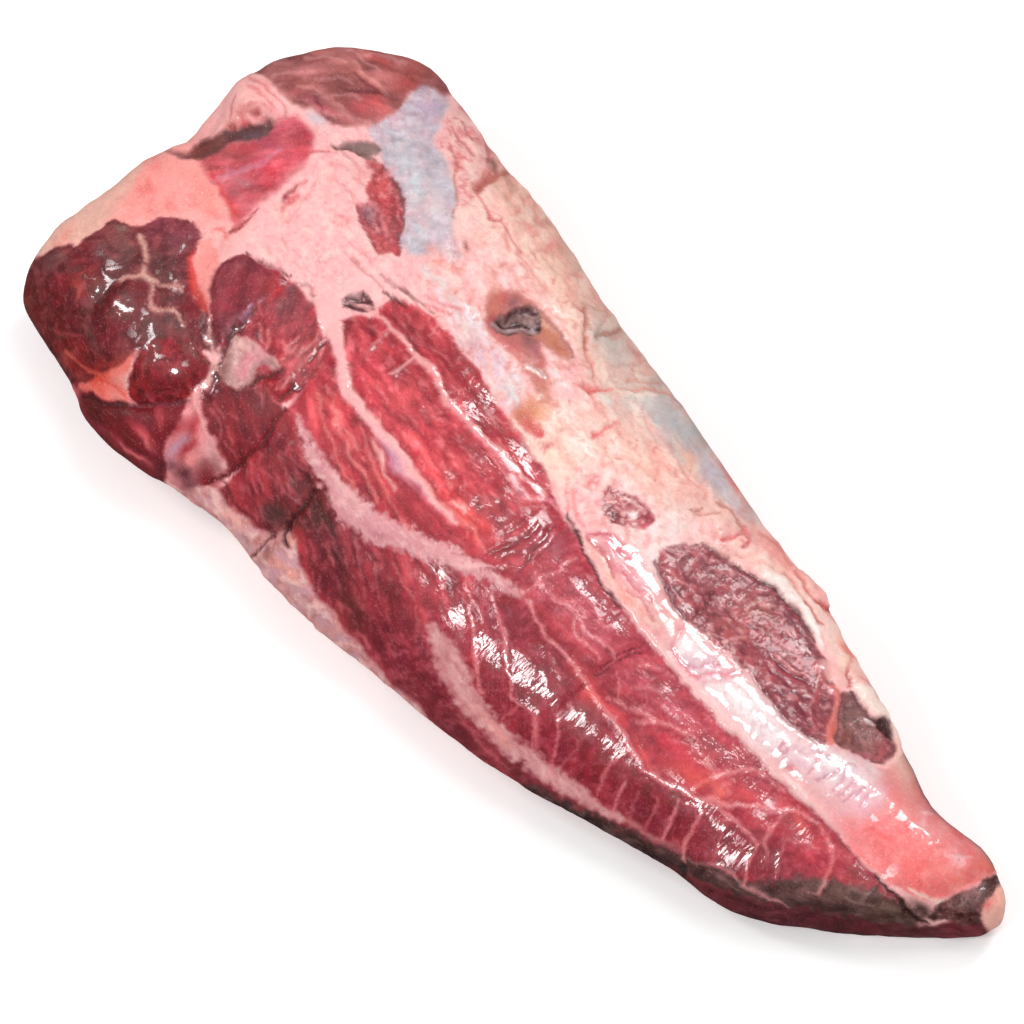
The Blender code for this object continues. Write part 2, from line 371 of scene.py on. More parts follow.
def lay_far_side(d):
    """Fat and silverskin of the far side."""
    u, v = d.u, d.v
    d.dab((6, -6), (20, 26), 0, FAT_SALMON, 0.9)
    d.dab((20, 6), (16, 9), 0, FAT_SALMON, 0.8)
    d.area(((76, 46), (90, 50), (104, 50), (118, 50), (130, 47), (140, 38), (150, 33), (172, 31),
        (190, 34), (206, 40), (196, 50), (178, 56), (150, 64), (120, 72), (90, 82), (70, 84), (68, 60)),
        FAT_CREAM, soft=4.0)
    d.area(((138, 14), (150, 12), (158, 15), (164, 26), (182, 28), (184, 34), (160, 33), (140, 37),
        (134, 28)), FAT_CREAM, soft=3.0)
    d.area(((76, 64), (84, 62), (96, 60), (108, 58), (122, 56.5), (136, 54), (150, 52), (160, 50),
        (160, 70), (76, 84)), FAT_OLIVE, soft=3.5, share=0.6)
    d.area(((134, 42), (142, 40), (152, 44), (153, 52), (146, 58), (132, 60), (128, 55), (131, 48)),
        (222, 193, 180), soft=2.2, share=0.8)
    fatty = smooth_step(78.0, 90.0, u) * smooth_step(14.0, 22.0, v) * smooth_step(250.0, 225.0, u)
    # blue-grey silverskin over the top of the thick end
    silver = d.area(((45, 70.4), (46.4, 66), (47.4, 62.4), (47, 58), (46, 54), (44.6, 50.4), (47, 49),
        (50.4, 48.6), (52, 46.6), (56, 45.4), (62, 44.4), (66.6, 41.8), (69.6, 38.5), (71.8, 35),
        (74, 32.2), (77.6, 32.4), (80, 35), (84.6, 38), (88.4, 39.6), (88.4, 41.6), (84, 43.4), (80.4, 47),
        (77.4, 51), (73, 55), (69, 58), (64, 59.2), (60, 59.6), (59, 63), (57.4, 68), (54.6, 72.6),
        (50, 73)), (198, 184, 192), soft=1.0, share=0.95, wet=0.55, fat=0.75, ragged=0.7, seed=1)
    d.dabs((((48, 56), (2.4, 6), 0, (204, 168, 180), 0.8), ((53, 66), (3.6, 5), 0, (204, 182, 206), 0.85),
        ((49, 68.6), (3, 2), 0, (192, 150, 166), 0.7), ((56, 53), (5, 4), 0, (184, 182, 188), 0.85),
        ((63, 54), (4, 4), 0, (190, 186, 196), 0.7), ((64, 47.6), (6, 2.8), -24, (204, 224, 224), 0.9),
        ((70.6, 52), (3.6, 3.6), 0, (198, 200, 208), 0.7),
        ((72, 46.6), (3.4, 3), -40, (228, 206, 196), 0.7),
        ((75.6, 37.6), (2.4, 4.4), 20, (206, 218, 220), 0.85),
        ((84, 41), (4, 2), -20, (220, 190, 202), 0.8), ((79, 42), (3, 3), 0, (214, 196, 206), 0.7),
        ((60, 60), (3, 1.4), 0, (206, 180, 196), 0.6)), within=silver)
    d.mottle(silver, (226, 226, 232), 0.5, 2.6, 80, cover=0.36, turn=40, stretch=2.4)
    d.mottle(silver, (164, 158, 168), 0.4, 2.2, 81, cover=0.34, turn=40, stretch=2.6, height=-0.1)
    d.mottle(silver, (232, 196, 200), 0.4, 4.0, 82, cover=0.34)
    d.swirls(silver, (226, 232, 236), 0.5, 5.0, 83, height=0.2)
    # puckered fat to its right
    folds = d.area(((58, 72), (59.4, 66), (60.6, 61), (65, 60), (70, 58.6), (74, 55.6), (78, 51), (81, 54),
        (79, 60), (80, 66), (77, 72), (68, 76), (58, 78)), (240, 182, 176), soft=1.5, share=0.8)
    d.mottle(folds, (222, 126, 130), 0.7, 2.2, 84, cover=0.36, turn=-20, stretch=1.5, height=-0.25)
    d.mottle(folds, (255, 222, 210), 0.6, 2.2, 86, cover=0.34, turn=-20, stretch=1.5, height=0.25)
    d.swirls(folds, (206, 92, 96), 0.6, 4.6, 87, height=-0.5)
    d.dabs((((77.6, 63), (1.3, 4.4), 4, (206, 122, 106), 0.8),
        ((75.8, 66), (1.2, 1.2), 0, (166, 112, 104), 0.85),
        ((78.4, 59), (1.4, 1.4), 0, (168, 84, 76), 0.8), ((73, 68.6), (4, 1.6), -8, (236, 160, 156), 0.6)))
    for k, points in enumerate((((69.6, 60.4), (72, 57), (75.4, 53.6), (77.8, 50.4), (79, 48)),
            ((61, 66), (64.6, 65), (68, 66.4), (71.4, 65)), ((70, 70.4), (73.4, 68), (75.2, 65.4)),
            ((77.6, 66), (77.4, 62), (78.6, 58)), ((62, 70), (65, 68.4), (69, 69)),
            ((64, 62.4), (68, 62), (71, 59.4)))):
        d.stroke(points, 0.34, (196, 96, 96), share=0.6, height=-0.55, broken=0.15, seed=88 + k)
    # brown-pink crumpled fat along the top of the far side
    crumpled = d.area(((79, 72), (80, 64), (82, 60.6), (88, 60.6), (96, 59), (104, 57.6), (108, 60),
        (108, 72), (92, 80)), (222, 164, 148), soft=2.0, share=0.75)
    d.mottle(crumpled, (190, 140, 122), 0.6, 3.0, 94, cover=0.4, turn=-14, stretch=2.6, height=-0.2)
    d.mottle(crumpled, (246, 190, 176), 0.6, 2.6, 95, cover=0.36, turn=-14, stretch=2.4, height=0.2)
    d.swirls(crumpled, (206, 112, 100), 0.5, 6.0, 96, height=-0.35)
    # pale strip of silverskin above the main seam
    strip = d.area(((80, 33.4), (86, 33.4), (92, 32.6), (98, 33.6), (104, 33.2), (111, 31.4), (118, 30),
        (124, 28.4), (127.6, 25), (130, 20.4), (126.6, 18.8), (120, 20.5), (113, 22), (106, 23.5),
        (99, 24.6), (97, 27.4), (92, 29.4), (85, 31)), (234, 206, 208), soft=1.2, share=0.9, wet=0.6,
        fat=0.8, ragged=0.6, seed=2)
    d.dabs((((88, 32.4), (7, 1.2), 0, (214, 218, 208), 0.8),
        ((104, 30), (5, 2.4), 0, (244, 236, 238), 0.85), ((102, 26.6), (4, 2), -10, (236, 214, 222), 0.7),
        ((112, 26), (5, 2.6), -14, (226, 200, 216), 0.85),
        ((118, 28.6), (4, 1.6), -16, (240, 226, 232), 0.7),
        ((124, 24), (4, 2.4), -50, (216, 226, 226), 0.85),
        ((127, 21.4), (2.4, 1.6), -40, (238, 240, 240), 0.8),
        ((110, 30.6), (4, 1.2), -10, (240, 206, 206), 0.7)), within=strip)
    d.mottle(strip, (248, 240, 240), 0.5, 2.4, 98, cover=0.34, turn=-20, stretch=2.4)
    d.mottle(strip, (220, 176, 186), 0.4, 2.6, 99, cover=0.3, turn=-20, stretch=2.4)
    # far grey-blue silverskin
    far = d.area(((146, 54), (152, 48), (156, 44), (160, 42.4), (166, 41), (176, 41), (188, 41),
        (194, 40.5), (199, 43), (196, 47), (186, 54), (172, 60), (156, 62)), (208, 192, 186), soft=2.0,
        share=0.9, wet=0.55, fat=0.75, ragged=0.8, seed=4)
    d.dabs((((163, 46.6), (6, 4.4), 0, (190, 194, 188), 0.85),
        ((168, 51), (12, 3), -6, (180, 174, 166), 0.75), ((176, 45.4), (6, 3), -8, (216, 194, 200), 0.75),
        ((156, 49), (3, 4), 0, (206, 196, 186), 0.7), ((184, 45), (6, 3), -10, (216, 178, 176), 0.6)),
        within=far)
    d.mottle(far, (222, 226, 222), 0.45, 3.2, 102, cover=0.34, turn=-10, stretch=2.0)
    d.mottle(far, (196, 160, 152), 0.4, 2.8, 103, cover=0.3, turn=-10, stretch=2.2)
    d.dab((147.5, 41), (6, 2.6), 8, (222, 232, 222), 0.85)
    d.dab((146, 27), (9, 4), 0, (244, 234, 222), 0.6)
    d.dab((138, 50), (5, 6), 20, (208, 190, 180), 0.7)
    d.dab((150, 50), (6, 4), 30, (220, 180, 162), 0.6)
    # pink, peach and white blushes in the fat
    d.dabs((((160, 36), (14, 3.4), 0, (254, 204, 184), 0.7),
        ((166, 36.6), (6, 1.6), 4, (246, 178, 158), 0.6), ((154, 36), (4, 2), 0, (252, 214, 200), 0.6),
        ((170, 37), (10, 3), 5, (254, 196, 178), 0.5), ((118, 55), (9, 4), -12, (246, 190, 166), 0.6),
        ((117.6, 56), (3, 2), 0, (232, 160, 138), 0.6), ((105, 57), (9, 4), -8, (246, 204, 180), 0.6),
        ((112, 59.6), (9, 2), -6, (232, 168, 152), 0.5), ((96, 40), (7, 7), 0, (252, 196, 194), 0.6),
        ((92, 48), (9, 5), 0, (252, 206, 200), 0.5), ((100, 58), (14, 2), -8, (246, 206, 186), 0.5),
        ((84, 37), (4, 3), -20, (244, 176, 164), 0.6), ((208, 40), (10, 3), -6, (246, 160, 154), 0.6),
        ((186, 47.5), (6, 2), -14, (232, 128, 120), 0.6), ((180, 37), (10, 4), 0, (250, 184, 178), 0.5),
        ((195, 37), (6, 3), 30, (240, 156, 156), 0.45), ((144, 20), (6, 5), 0, (252, 228, 206), 0.8),
        ((139, 27.6), (3.4, 3), 0, (250, 232, 214), 0.7),
        ((132.6, 35), (2.4, 1.6), 0, (252, 238, 234), 0.8), ((148, 26), (4, 1.4), 8, (250, 246, 238), 0.8),
        # the cream-white dab by (127, 47) is partly painted highlight
        ((142, 31), (5, 2), 0, (240, 224, 214), 0.6), ((127, 46.6), (6, 1.8), -20, (252, 222, 206), 0.7),
        ((136, 46), (3, 2.4), 0, (236, 176, 152), 0.5), ((122, 49.6), (6, 2), -20, (252, 216, 196), 0.6)))
    d.mottle(fatty, (255, 226, 212), 0.5, 3.6, 104, cover=0.36, turn=-14, stretch=1.8, height=0.25)
    d.mottle(fatty, (240, 166, 156), 0.45, 3.2, 105, cover=0.34, turn=-14, stretch=2.0, height=-0.15)
    d.mottle(fatty, (228, 150, 140), 0.4, 1.5, 106, cover=0.2, turn=-14, stretch=1.6, height=-0.12)
    d.swirls(fatty, (218, 122, 114), 0.5, 7.5, 107, height=-0.3)


def lay_far_silver(d):
    """The blue-grey skin along the far edge, over everything else there."""
    d.dabs((((133, 52), (6, 3.4), -10, (196, 186, 178), 0.75),
        ((140, 50.6), (5, 2.4), -10, (206, 190, 182), 0.6),
        ((163, 47.6), (10, 3.2), -8, (178, 184, 188), 0.8), ((153, 48), (5, 3), 0, (210, 210, 206), 0.6),
        ((181, 45.2), (7, 2.4), -14, (194, 194, 206), 0.75),
        ((190, 42.8), (3, 1.6), -20, (214, 196, 206), 0.6),
        ((171, 43.4), (7, 1.5), -20, (246, 192, 164), 0.6),
        ((186, 47.4), (6, 0.9), -14, (232, 124, 116), 0.6), ((148, 46), (4, 1.4), 0, (206, 222, 218), 0.5),
        ((126, 55), (6, 2), -10, (210, 180, 170), 0.5)))


def lay_thick_end(d):
    """The lobes, cavities and fat of the thick end, above the wedge muscle."""
    # upper lobe: brownish muscle with pale slanting fibres
    lobe = d.area(((2, 41), (4, 50), (12, 60), (20, 68), (28, 78), (40, 84), (56, 82), (56, 74),
        (52.4, 71.2), (47, 70.4), (45.8, 66), (47.4, 62), (46.4, 57), (46, 52), (42, 48.6), (38.4, 46.2),
        (36, 44.2), (30, 43), (25, 41.2), (18, 41.2), (10, 40.6)), (170, 104, 98), soft=0.9, fat=0.2,
        wet=0.6, height=1.2, rim=6)
    d.mottle(lobe, (202, 134, 128), 0.6, 3.4, 61, cover=0.45, turn=36, stretch=3.0, height=0.12)
    d.mottle(lobe, (124, 70, 64), 0.65, 3.0, 62, cover=0.32, turn=36, stretch=3.4, height=-0.15)
    d.dabs((((42, 56.6), (4.4, 3), 0, (222, 104, 98), 0.85), ((40, 53), (4, 3.4), 30, (186, 84, 88), 0.7),
        ((43.6, 66.5), (3, 4), 0, (178, 76, 70), 0.75), ((42, 71.5), (6, 2), 10, (160, 84, 76), 0.7),
        ((51, 73), (4, 2), -10, (150, 84, 84), 0.8), ((31, 57.4), (5, 2), 24, (136, 82, 74), 0.7),
        ((34, 65.8), (4, 1.6), 10, (206, 88, 84), 0.7), ((14, 44), (3, 3), 0, (204, 132, 122), 0.7),
        ((24, 44), (5, 1.6), 14, (160, 88, 84), 0.7), ((31, 45.4), (6, 1.2), 12, (170, 74, 92), 0.7),
        ((22, 57), (4, 3), 40, (196, 124, 114), 0.6), ((35, 60), (6, 1), 6, (216, 140, 120), 0.6)),
        within=lobe)
    for k, (points, width) in enumerate(((((23, 45.4), (28, 48), (34, 49.4), (40, 49), (45, 51.4)), 0.6),
            (((15.6, 42), (19.6, 46.4), (23, 51.4)), 0.6), (((25, 50), (29, 54.4), (32.6, 56)), 0.4),
            (((30, 60.6), (36, 60), (42, 60.4)), 0.5), (((31, 50.6), (34, 53), (38, 54.6)), 0.35),
            (((30, 64), (34, 67.4), (40, 69.4)), 0.5), (((19, 52), (23, 56), (28, 58.4)), 0.45),
            (((26, 61.6), (31, 63), (37, 64)), 0.35), (((27, 43.6), (31, 44.4), (36, 46.4)), 0.35))):
        d.stroke(points, width, (222, 164, 156), share=0.55, height=0.2, broken=0.35, seed=k)
    for k, points in enumerate((((33, 53), (37, 56.4), (41, 58.6)), ((31, 58.6), (35, 58.2), (40, 58.8)),
            ((28, 46), (32, 45.6)))):
        d.stroke(points, 0.35, (112, 50, 54), share=0.7, height=-0.3, broken=0.2, seed=12 + k)
    d.area(((28, 42.6), (31, 43.8), (35, 44), (38, 45.2), (41, 44), (43, 41.6), (40, 40.6), (34, 41.2),
        (30, 40.8)), (246, 198, 194), soft=0.8, share=0.85, fat=0.9)
    d.dab((32.4, 42.6), (2.8, 1.1), 14, (204, 204, 216), 0.8)
    # grey-brown slit under the silverskin
    d.area(((40.6, 39.6), (42, 42), (45, 45.4), (47.8, 48), (50.4, 48.8), (51.8, 47.4), (51, 45.6),
        (48.6, 43.4), (45, 41.8), (42.4, 40)), (138, 116, 108), soft=0.5, wet=0.5, fat=0.4, height=-0.5,
        rim=2)
    d.stroke(((42, 42.4), (45, 45.6), (48, 48)), 0.5, (168, 128, 128), share=0.6)
    d.stroke(((40.4, 40), (44, 42), (48, 43.4), (51.4, 44.8), (55, 44.6)), 0.35, (104, 72, 68), share=0.75,
        height=-0.35)
    # crescent muscle
    crescent = d.area(((50, 43.6), (53, 44.8), (57, 45.3), (62, 44.4), (66.6, 41.8), (69.6, 38.5),
        (71.8, 34.6), (74.6, 31.4), (75.6, 30.2), (72.6, 29.4), (70.8, 26.4), (68.6, 27.2), (65.4, 28.8),
        (61.6, 29.8), (58.6, 31.4), (57, 33.4), (59, 34.8), (58.4, 36.6), (55.4, 38.6), (56, 40.6),
        (53.4, 42.4)), (196, 88, 90), soft=0.5, fat=0.2, wet=0.72, height=-0.5, rim=2.5, ragged=0.4,
        seed=3)
    d.dabs((((62.4, 32.6), (4.2, 2.6), -10, (124, 78, 82), 0.92),
        ((60.6, 34), (2.4, 1.6), 0, (134, 92, 98), 0.7),
        ((68.6, 37.6), (4.4, 2.4), -54, (150, 78, 80), 0.85),
        ((64, 42), (5, 1.4), -22, (148, 96, 90), 0.8), ((58.4, 40), (3.4, 2.2), 0, (216, 104, 98), 0.8),
        ((63, 39.6), (2.4, 2), 0, (178, 66, 70), 0.7), ((65.6, 37), (1.6, 2.6), 0, (196, 86, 90), 0.7),
        ((70, 29), (2.4, 2), -40, (204, 102, 100), 0.8), ((56, 43.4), (3, 1), -6, (150, 78, 72), 0.8)),
        within=crescent)
    d.mottle(crescent, (236, 166, 164), 0.6, 1.5, 64, cover=0.24, turn=-40, stretch=1.6, height=0.15)
    d.mottle(crescent, (124, 40, 46), 0.55, 1.8, 65, cover=0.24, height=-0.15)
    d.stroke(((59, 35.6), (62, 35.6), (66, 34.6), (69, 32.6)), 0.5, (234, 160, 158), share=0.6, broken=0.3,
        seed=65)
    d.stroke(((55, 45.1), (61, 44.4), (66, 41.8), (69.4, 38.2), (72, 34), (75, 31)), 0.3, (112, 84, 84),
        share=0.7, height=-0.3)
    d.stroke(((57.4, 32.6), (61, 30), (66, 28.4), (70.5, 26.6)), 0.35, (150, 58, 62), share=0.7,
        height=-0.4)
    # fat knob with two red holes
    d.dab((15, 35), (7, 6), 0, (248, 172, 168), 0.7, height=1.2)
    for k, (centre, radii, turn, colour, share,
            height) in enumerate((((18.2, 31.9), (1.5, 1.3), 0, (160, 60, 62), 0.9, -1.4),
            ((16.4, 29.4), (1.2, 2.2), 20, (224, 120, 116), 0.7, -0.5),
            ((18.6, 27.6), (1.6, 1.6), 0, (216, 78, 84), 0.8, -0.7),
            ((16.2, 24.8), (1.5, 1.5), 0, (142, 44, 40), 0.9, -1.0),
            ((23.2, 32.8), (2.2, 1.3), 35, (104, 48, 52), 0.9, -1.2),
            ((20.6, 34.6), (3.4, 1), 24, (214, 120, 122), 0.6, -0.3),
            ((12.5, 33), (2, 3), 0, (254, 198, 190), 0.5, 0.6),
            ((14, 29), (2, 2), 0, (252, 182, 176), 0.5, 0.5),
            ((18, 34.6), (2.4, 0.8), 6, (252, 206, 200), 0.7, 0.4))):
        d.dab(centre, radii, turn, colour, share, height=height)
    for k, points in enumerate((((11, 38), (15, 39.5), (21, 39.5), (25, 37.5)),
            ((12.6, 36), (15, 37.4), (19, 37.4), (22, 36)), ((15.6, 32.4), (16.4, 34.4), (19.6, 34.8)),
            ((11.6, 32), (13, 29.6), (14.4, 27)), ((20, 30.6), (21.6, 32.6)))):
        d.stroke(points, 0.4, (206, 102, 104), share=0.55, height=-0.35, seed=20 + k)
    # red and purple patch of bare muscle
    patch = d.area(((14, 15.5), (17, 19.5), (21.5, 24), (25, 28.5), (25.2, 33.5), (24.6, 36.6), (28, 39.2),
        (33, 38.8), (36.5, 37), (38.4, 33), (38, 28), (38.4, 24), (37.6, 20), (37.8, 14.4), (36.4, 9.4),
        (36.5, 6), (34.5, 5.4), (31, 7.8), (27, 9.8), (23, 10.6), (18, 11), (15.4, 12.5)), (212, 98, 106),
        soft=1.5, fat=0.35, wet=0.6)
    d.dabs((((30, 35.6), (5, 3), 20, (224, 108, 118), 0.8),
        ((34.4, 37.4), (2.6, 1), 20, (212, 66, 80), 0.75),
        ((35.4, 33.6), (3, 2.4), 0, (226, 92, 100), 0.7), ((27.4, 27), (3, 3.4), 30, (196, 96, 116), 0.8),
        ((24.6, 23.6), (3, 2.4), 40, (206, 84, 92), 0.7), ((33, 22.4), (3.4, 4), 0, (212, 66, 78), 0.85),
        ((34, 26.6), (2.4, 2), 0, (232, 104, 110), 0.7), ((21.4, 19), (3.6, 2.6), 30, (188, 92, 88), 0.75),
        ((30, 15.4), (4.6, 1.6), 24, (186, 132, 136), 0.85),
        ((29.6, 12), (4, 1.4), 0, (196, 112, 114), 0.8), ((22, 14.4), (2.4, 3), 0, (232, 96, 100), 0.75),
        ((35.6, 15), (1.8, 4), 0, (214, 92, 96), 0.6), ((39, 29), (1.6, 5), 4, (196, 146, 142), 0.75),
        ((37.6, 22), (1.6, 4), 0, (236, 140, 138), 0.6), ((33, 8), (3.4, 1.2), -24, (226, 70, 64), 0.75),
        ((26.6, 34), (1.4, 2.6), 0, (206, 104, 124), 0.7),
        ((19.6, 12.6), (1.6, 1.6), 0, (214, 120, 110), 0.6)), within=patch)
    d.mottle(patch, (236, 136, 140), 0.35, 3.2, 66, cover=0.4, turn=60, stretch=1.8)
    d.mottle(patch, (184, 78, 92), 0.35, 2.8, 67, cover=0.36, turn=60, stretch=1.8)
    d.stroke(((23.6, 10.6), (26.4, 16), (29, 21), (30.6, 25.6), (31.4, 30)), 0.85, (216, 146, 164),
        share=0.6, fat=0.5, broken=0.15, seed=68)
    d.stroke(((25.6, 11), (24.6, 14.4), (23.4, 16.6)), 0.5, (234, 160, 164), share=0.5, seed=69)
    for k, points in enumerate((((31.4, 13.4), (32.6, 17), (34.6, 20)),
            ((35.4, 17.4), (35.8, 21), (34.4, 24)), ((36.6, 10), (37.4, 13), (36.2, 15.4)),
            ((36.9, 33.4), (38.6, 36), (40.6, 37.6)))):
        d.stroke(points, 0.35, (186, 60, 70), share=0.55, height=-0.2, broken=0.3, seed=58 + k)
    # dark cavity between the patch and the end
    cavity = d.area(((6, 6), (12.4, 11.6), (13.2, 14), (12.8, 17), (14.4, 20.5), (16, 23), (18, 26.4),
        (20.6, 29.6), (22.6, 32.2), (25.4, 33.4), (26, 31), (24.8, 28), (21.6, 24.4), (19, 21.4),
        (18.6, 17), (17.6, 13), (14, 10)), (112, 76, 72), soft=0.9, wet=0.6, fat=0.1, height=-0.9, rim=3)
    d.dabs((((15, 14.6), (2.4, 3.4), 0, (112, 58, 52), 0.9), ((15.6, 19.4), (2, 2), 0, (124, 78, 68), 0.8),
        ((18.8, 23.6), (1.6, 2.4), -40, (92, 60, 58), 0.85),
        ((22, 26.6), (1.6, 2.8), -36, (114, 98, 108), 0.9), ((19, 27), (1.4, 1.4), 0, (104, 78, 76), 0.7),
        ((24.2, 30.6), (1.4, 1.8), 0, (122, 88, 88), 0.8),
        ((13.6, 12.4), (1.4, 1), 0, (134, 66, 60), 0.7)), within=cavity)
    # fat below the cavity, with a fold beside it
    d.dab((15, 2), (7, 7), 0, (252, 160, 154), 0.8)
    d.dab((25, 6.5), (5, 2.4), -12, (250, 138, 128), 0.55)
    d.dab((31, 6.2), (3, 1), -20, (252, 176, 166), 0.7)
    d.dab((38, 12), (2.6, 3.4), 0, (252, 180, 182), 0.8)
    d.stroke(((20, 13), (24, 10.6), (29, 9.4), (33.5, 6.6)), 0.35, (214, 64, 62), share=0.5, height=-0.3,
        broken=0.3, seed=18)
    d.stroke(((38.3, 12.6), (38.2, 10.6), (37.4, 8), (36.9, 5.5), (36.8, 2.5)), 0.42, (150, 50, 54),
        share=0.75, height=-0.78)
    d.stroke(((36.6, 11.6), (35.4, 10), (35.4, 8.4), (36.6, 7)), 0.35, (206, 96, 98), share=0.6,
        height=-0.3)
    d.stroke(((33.4, 0.4), (35, 2), (36.6, 1)), 0.35, (226, 96, 90), share=0.6, height=-0.4)
    for k, (centre, radii, share) in enumerate((((10.5, -3.5), (2, 2.5), 0.6),
            ((13.5, -4.5), (1.4, 2), 0.5), ((20, -3), (2, 1.4), 0.5), ((9, 2.5), (3, 1.5), 0.35),
            ((16.5, -6.5), (1.6, 1.6), 0.5), ((34, -1.5), (1.4, 1), 0.6), ((24, 2), (3, 1.2), 0.35),
            ((30, 3.6), (3, 1.2), 0.4))):
        d.dab(centre, radii, 0, (234, 92, 90), share, ragged=0.5, seed=k)
    # small marks on the large fat field
    field = d.area(((39, 40), (44, 42), (50, 43), (54, 41), (54, 37), (57, 31), (62, 29), (70, 26),
        (78, 30), (86, 30), (82, 24), (70, 22), (70, 16), (72, 10), (68, 6), (58, 6), (46, 2), (40, 4),
        (39, 12), (40, 22), (40, 32)), soft=1.5, share=0.0)
    d.mottle(field, (255, 214, 204), 0.5, 4.2, 70, cover=0.42, height=0.15)
    d.mottle(field, (244, 168, 170), 0.45, 3.2, 72, cover=0.35)
    d.mottle(field, (232, 150, 152), 0.4, 1.4, 73, cover=0.2)
    d.dab((43, 22), (1.2, 3), -8, (222, 92, 100), 0.8, ragged=0.3, seed=31, height=-0.3)
    d.dab((41.4, 21.4), (0.9, 1), 0, (186, 84, 92), 0.8)
    d.dab((43.4, 18), (0.8, 1.6), 0, (226, 110, 112), 0.7)
    d.stroke(((41.8, 27.6), (41, 25), (41.8, 23.6)), 0.3, (214, 110, 114), share=0.6, height=-0.3)
    d.stroke(((41.4, 24.5), (41, 22), (41.6, 20)), 0.3, (150, 60, 64), share=0.7, height=-0.36)
    d.dab((86.4, 45.2), (1.4, 0.6), -40, (146, 62, 56), 0.9, height=-0.4)
    d.dab((80.6, 37.6), (1.8, 1), 0, (244, 158, 148), 0.6)
    for k, points in enumerate((((50, 34), (54, 33.4), (57, 32)), ((51.6, 33), (55, 34), (58, 33.4)),
            ((53.4, 26.6), (56, 27.4), (58.6, 28.6)), ((62, 21), (67, 20.8), (73, 21)),
            ((44, 30), (44.4, 26), (45.4, 22)), ((60, 23), (66, 24), (72, 23.4)),
            ((48, 12), (53, 11), (58, 12)), ((51, 37), (54, 38.4), (56, 38)),
            ((55, 24), (58.4, 25.6), (57.6, 28)), ((44, 40), (48, 41.4), (52, 41)),
            ((45, 14), (46.4, 18), (46, 21)), ((60, 14), (62, 17), (66, 18)),
            ((52, 8), (57, 8.6), (62, 10)))):
        d.stroke(points, 0.28, (224, 138, 136), share=0.42, height=-0.3, broken=0.3, seed=40 + k)


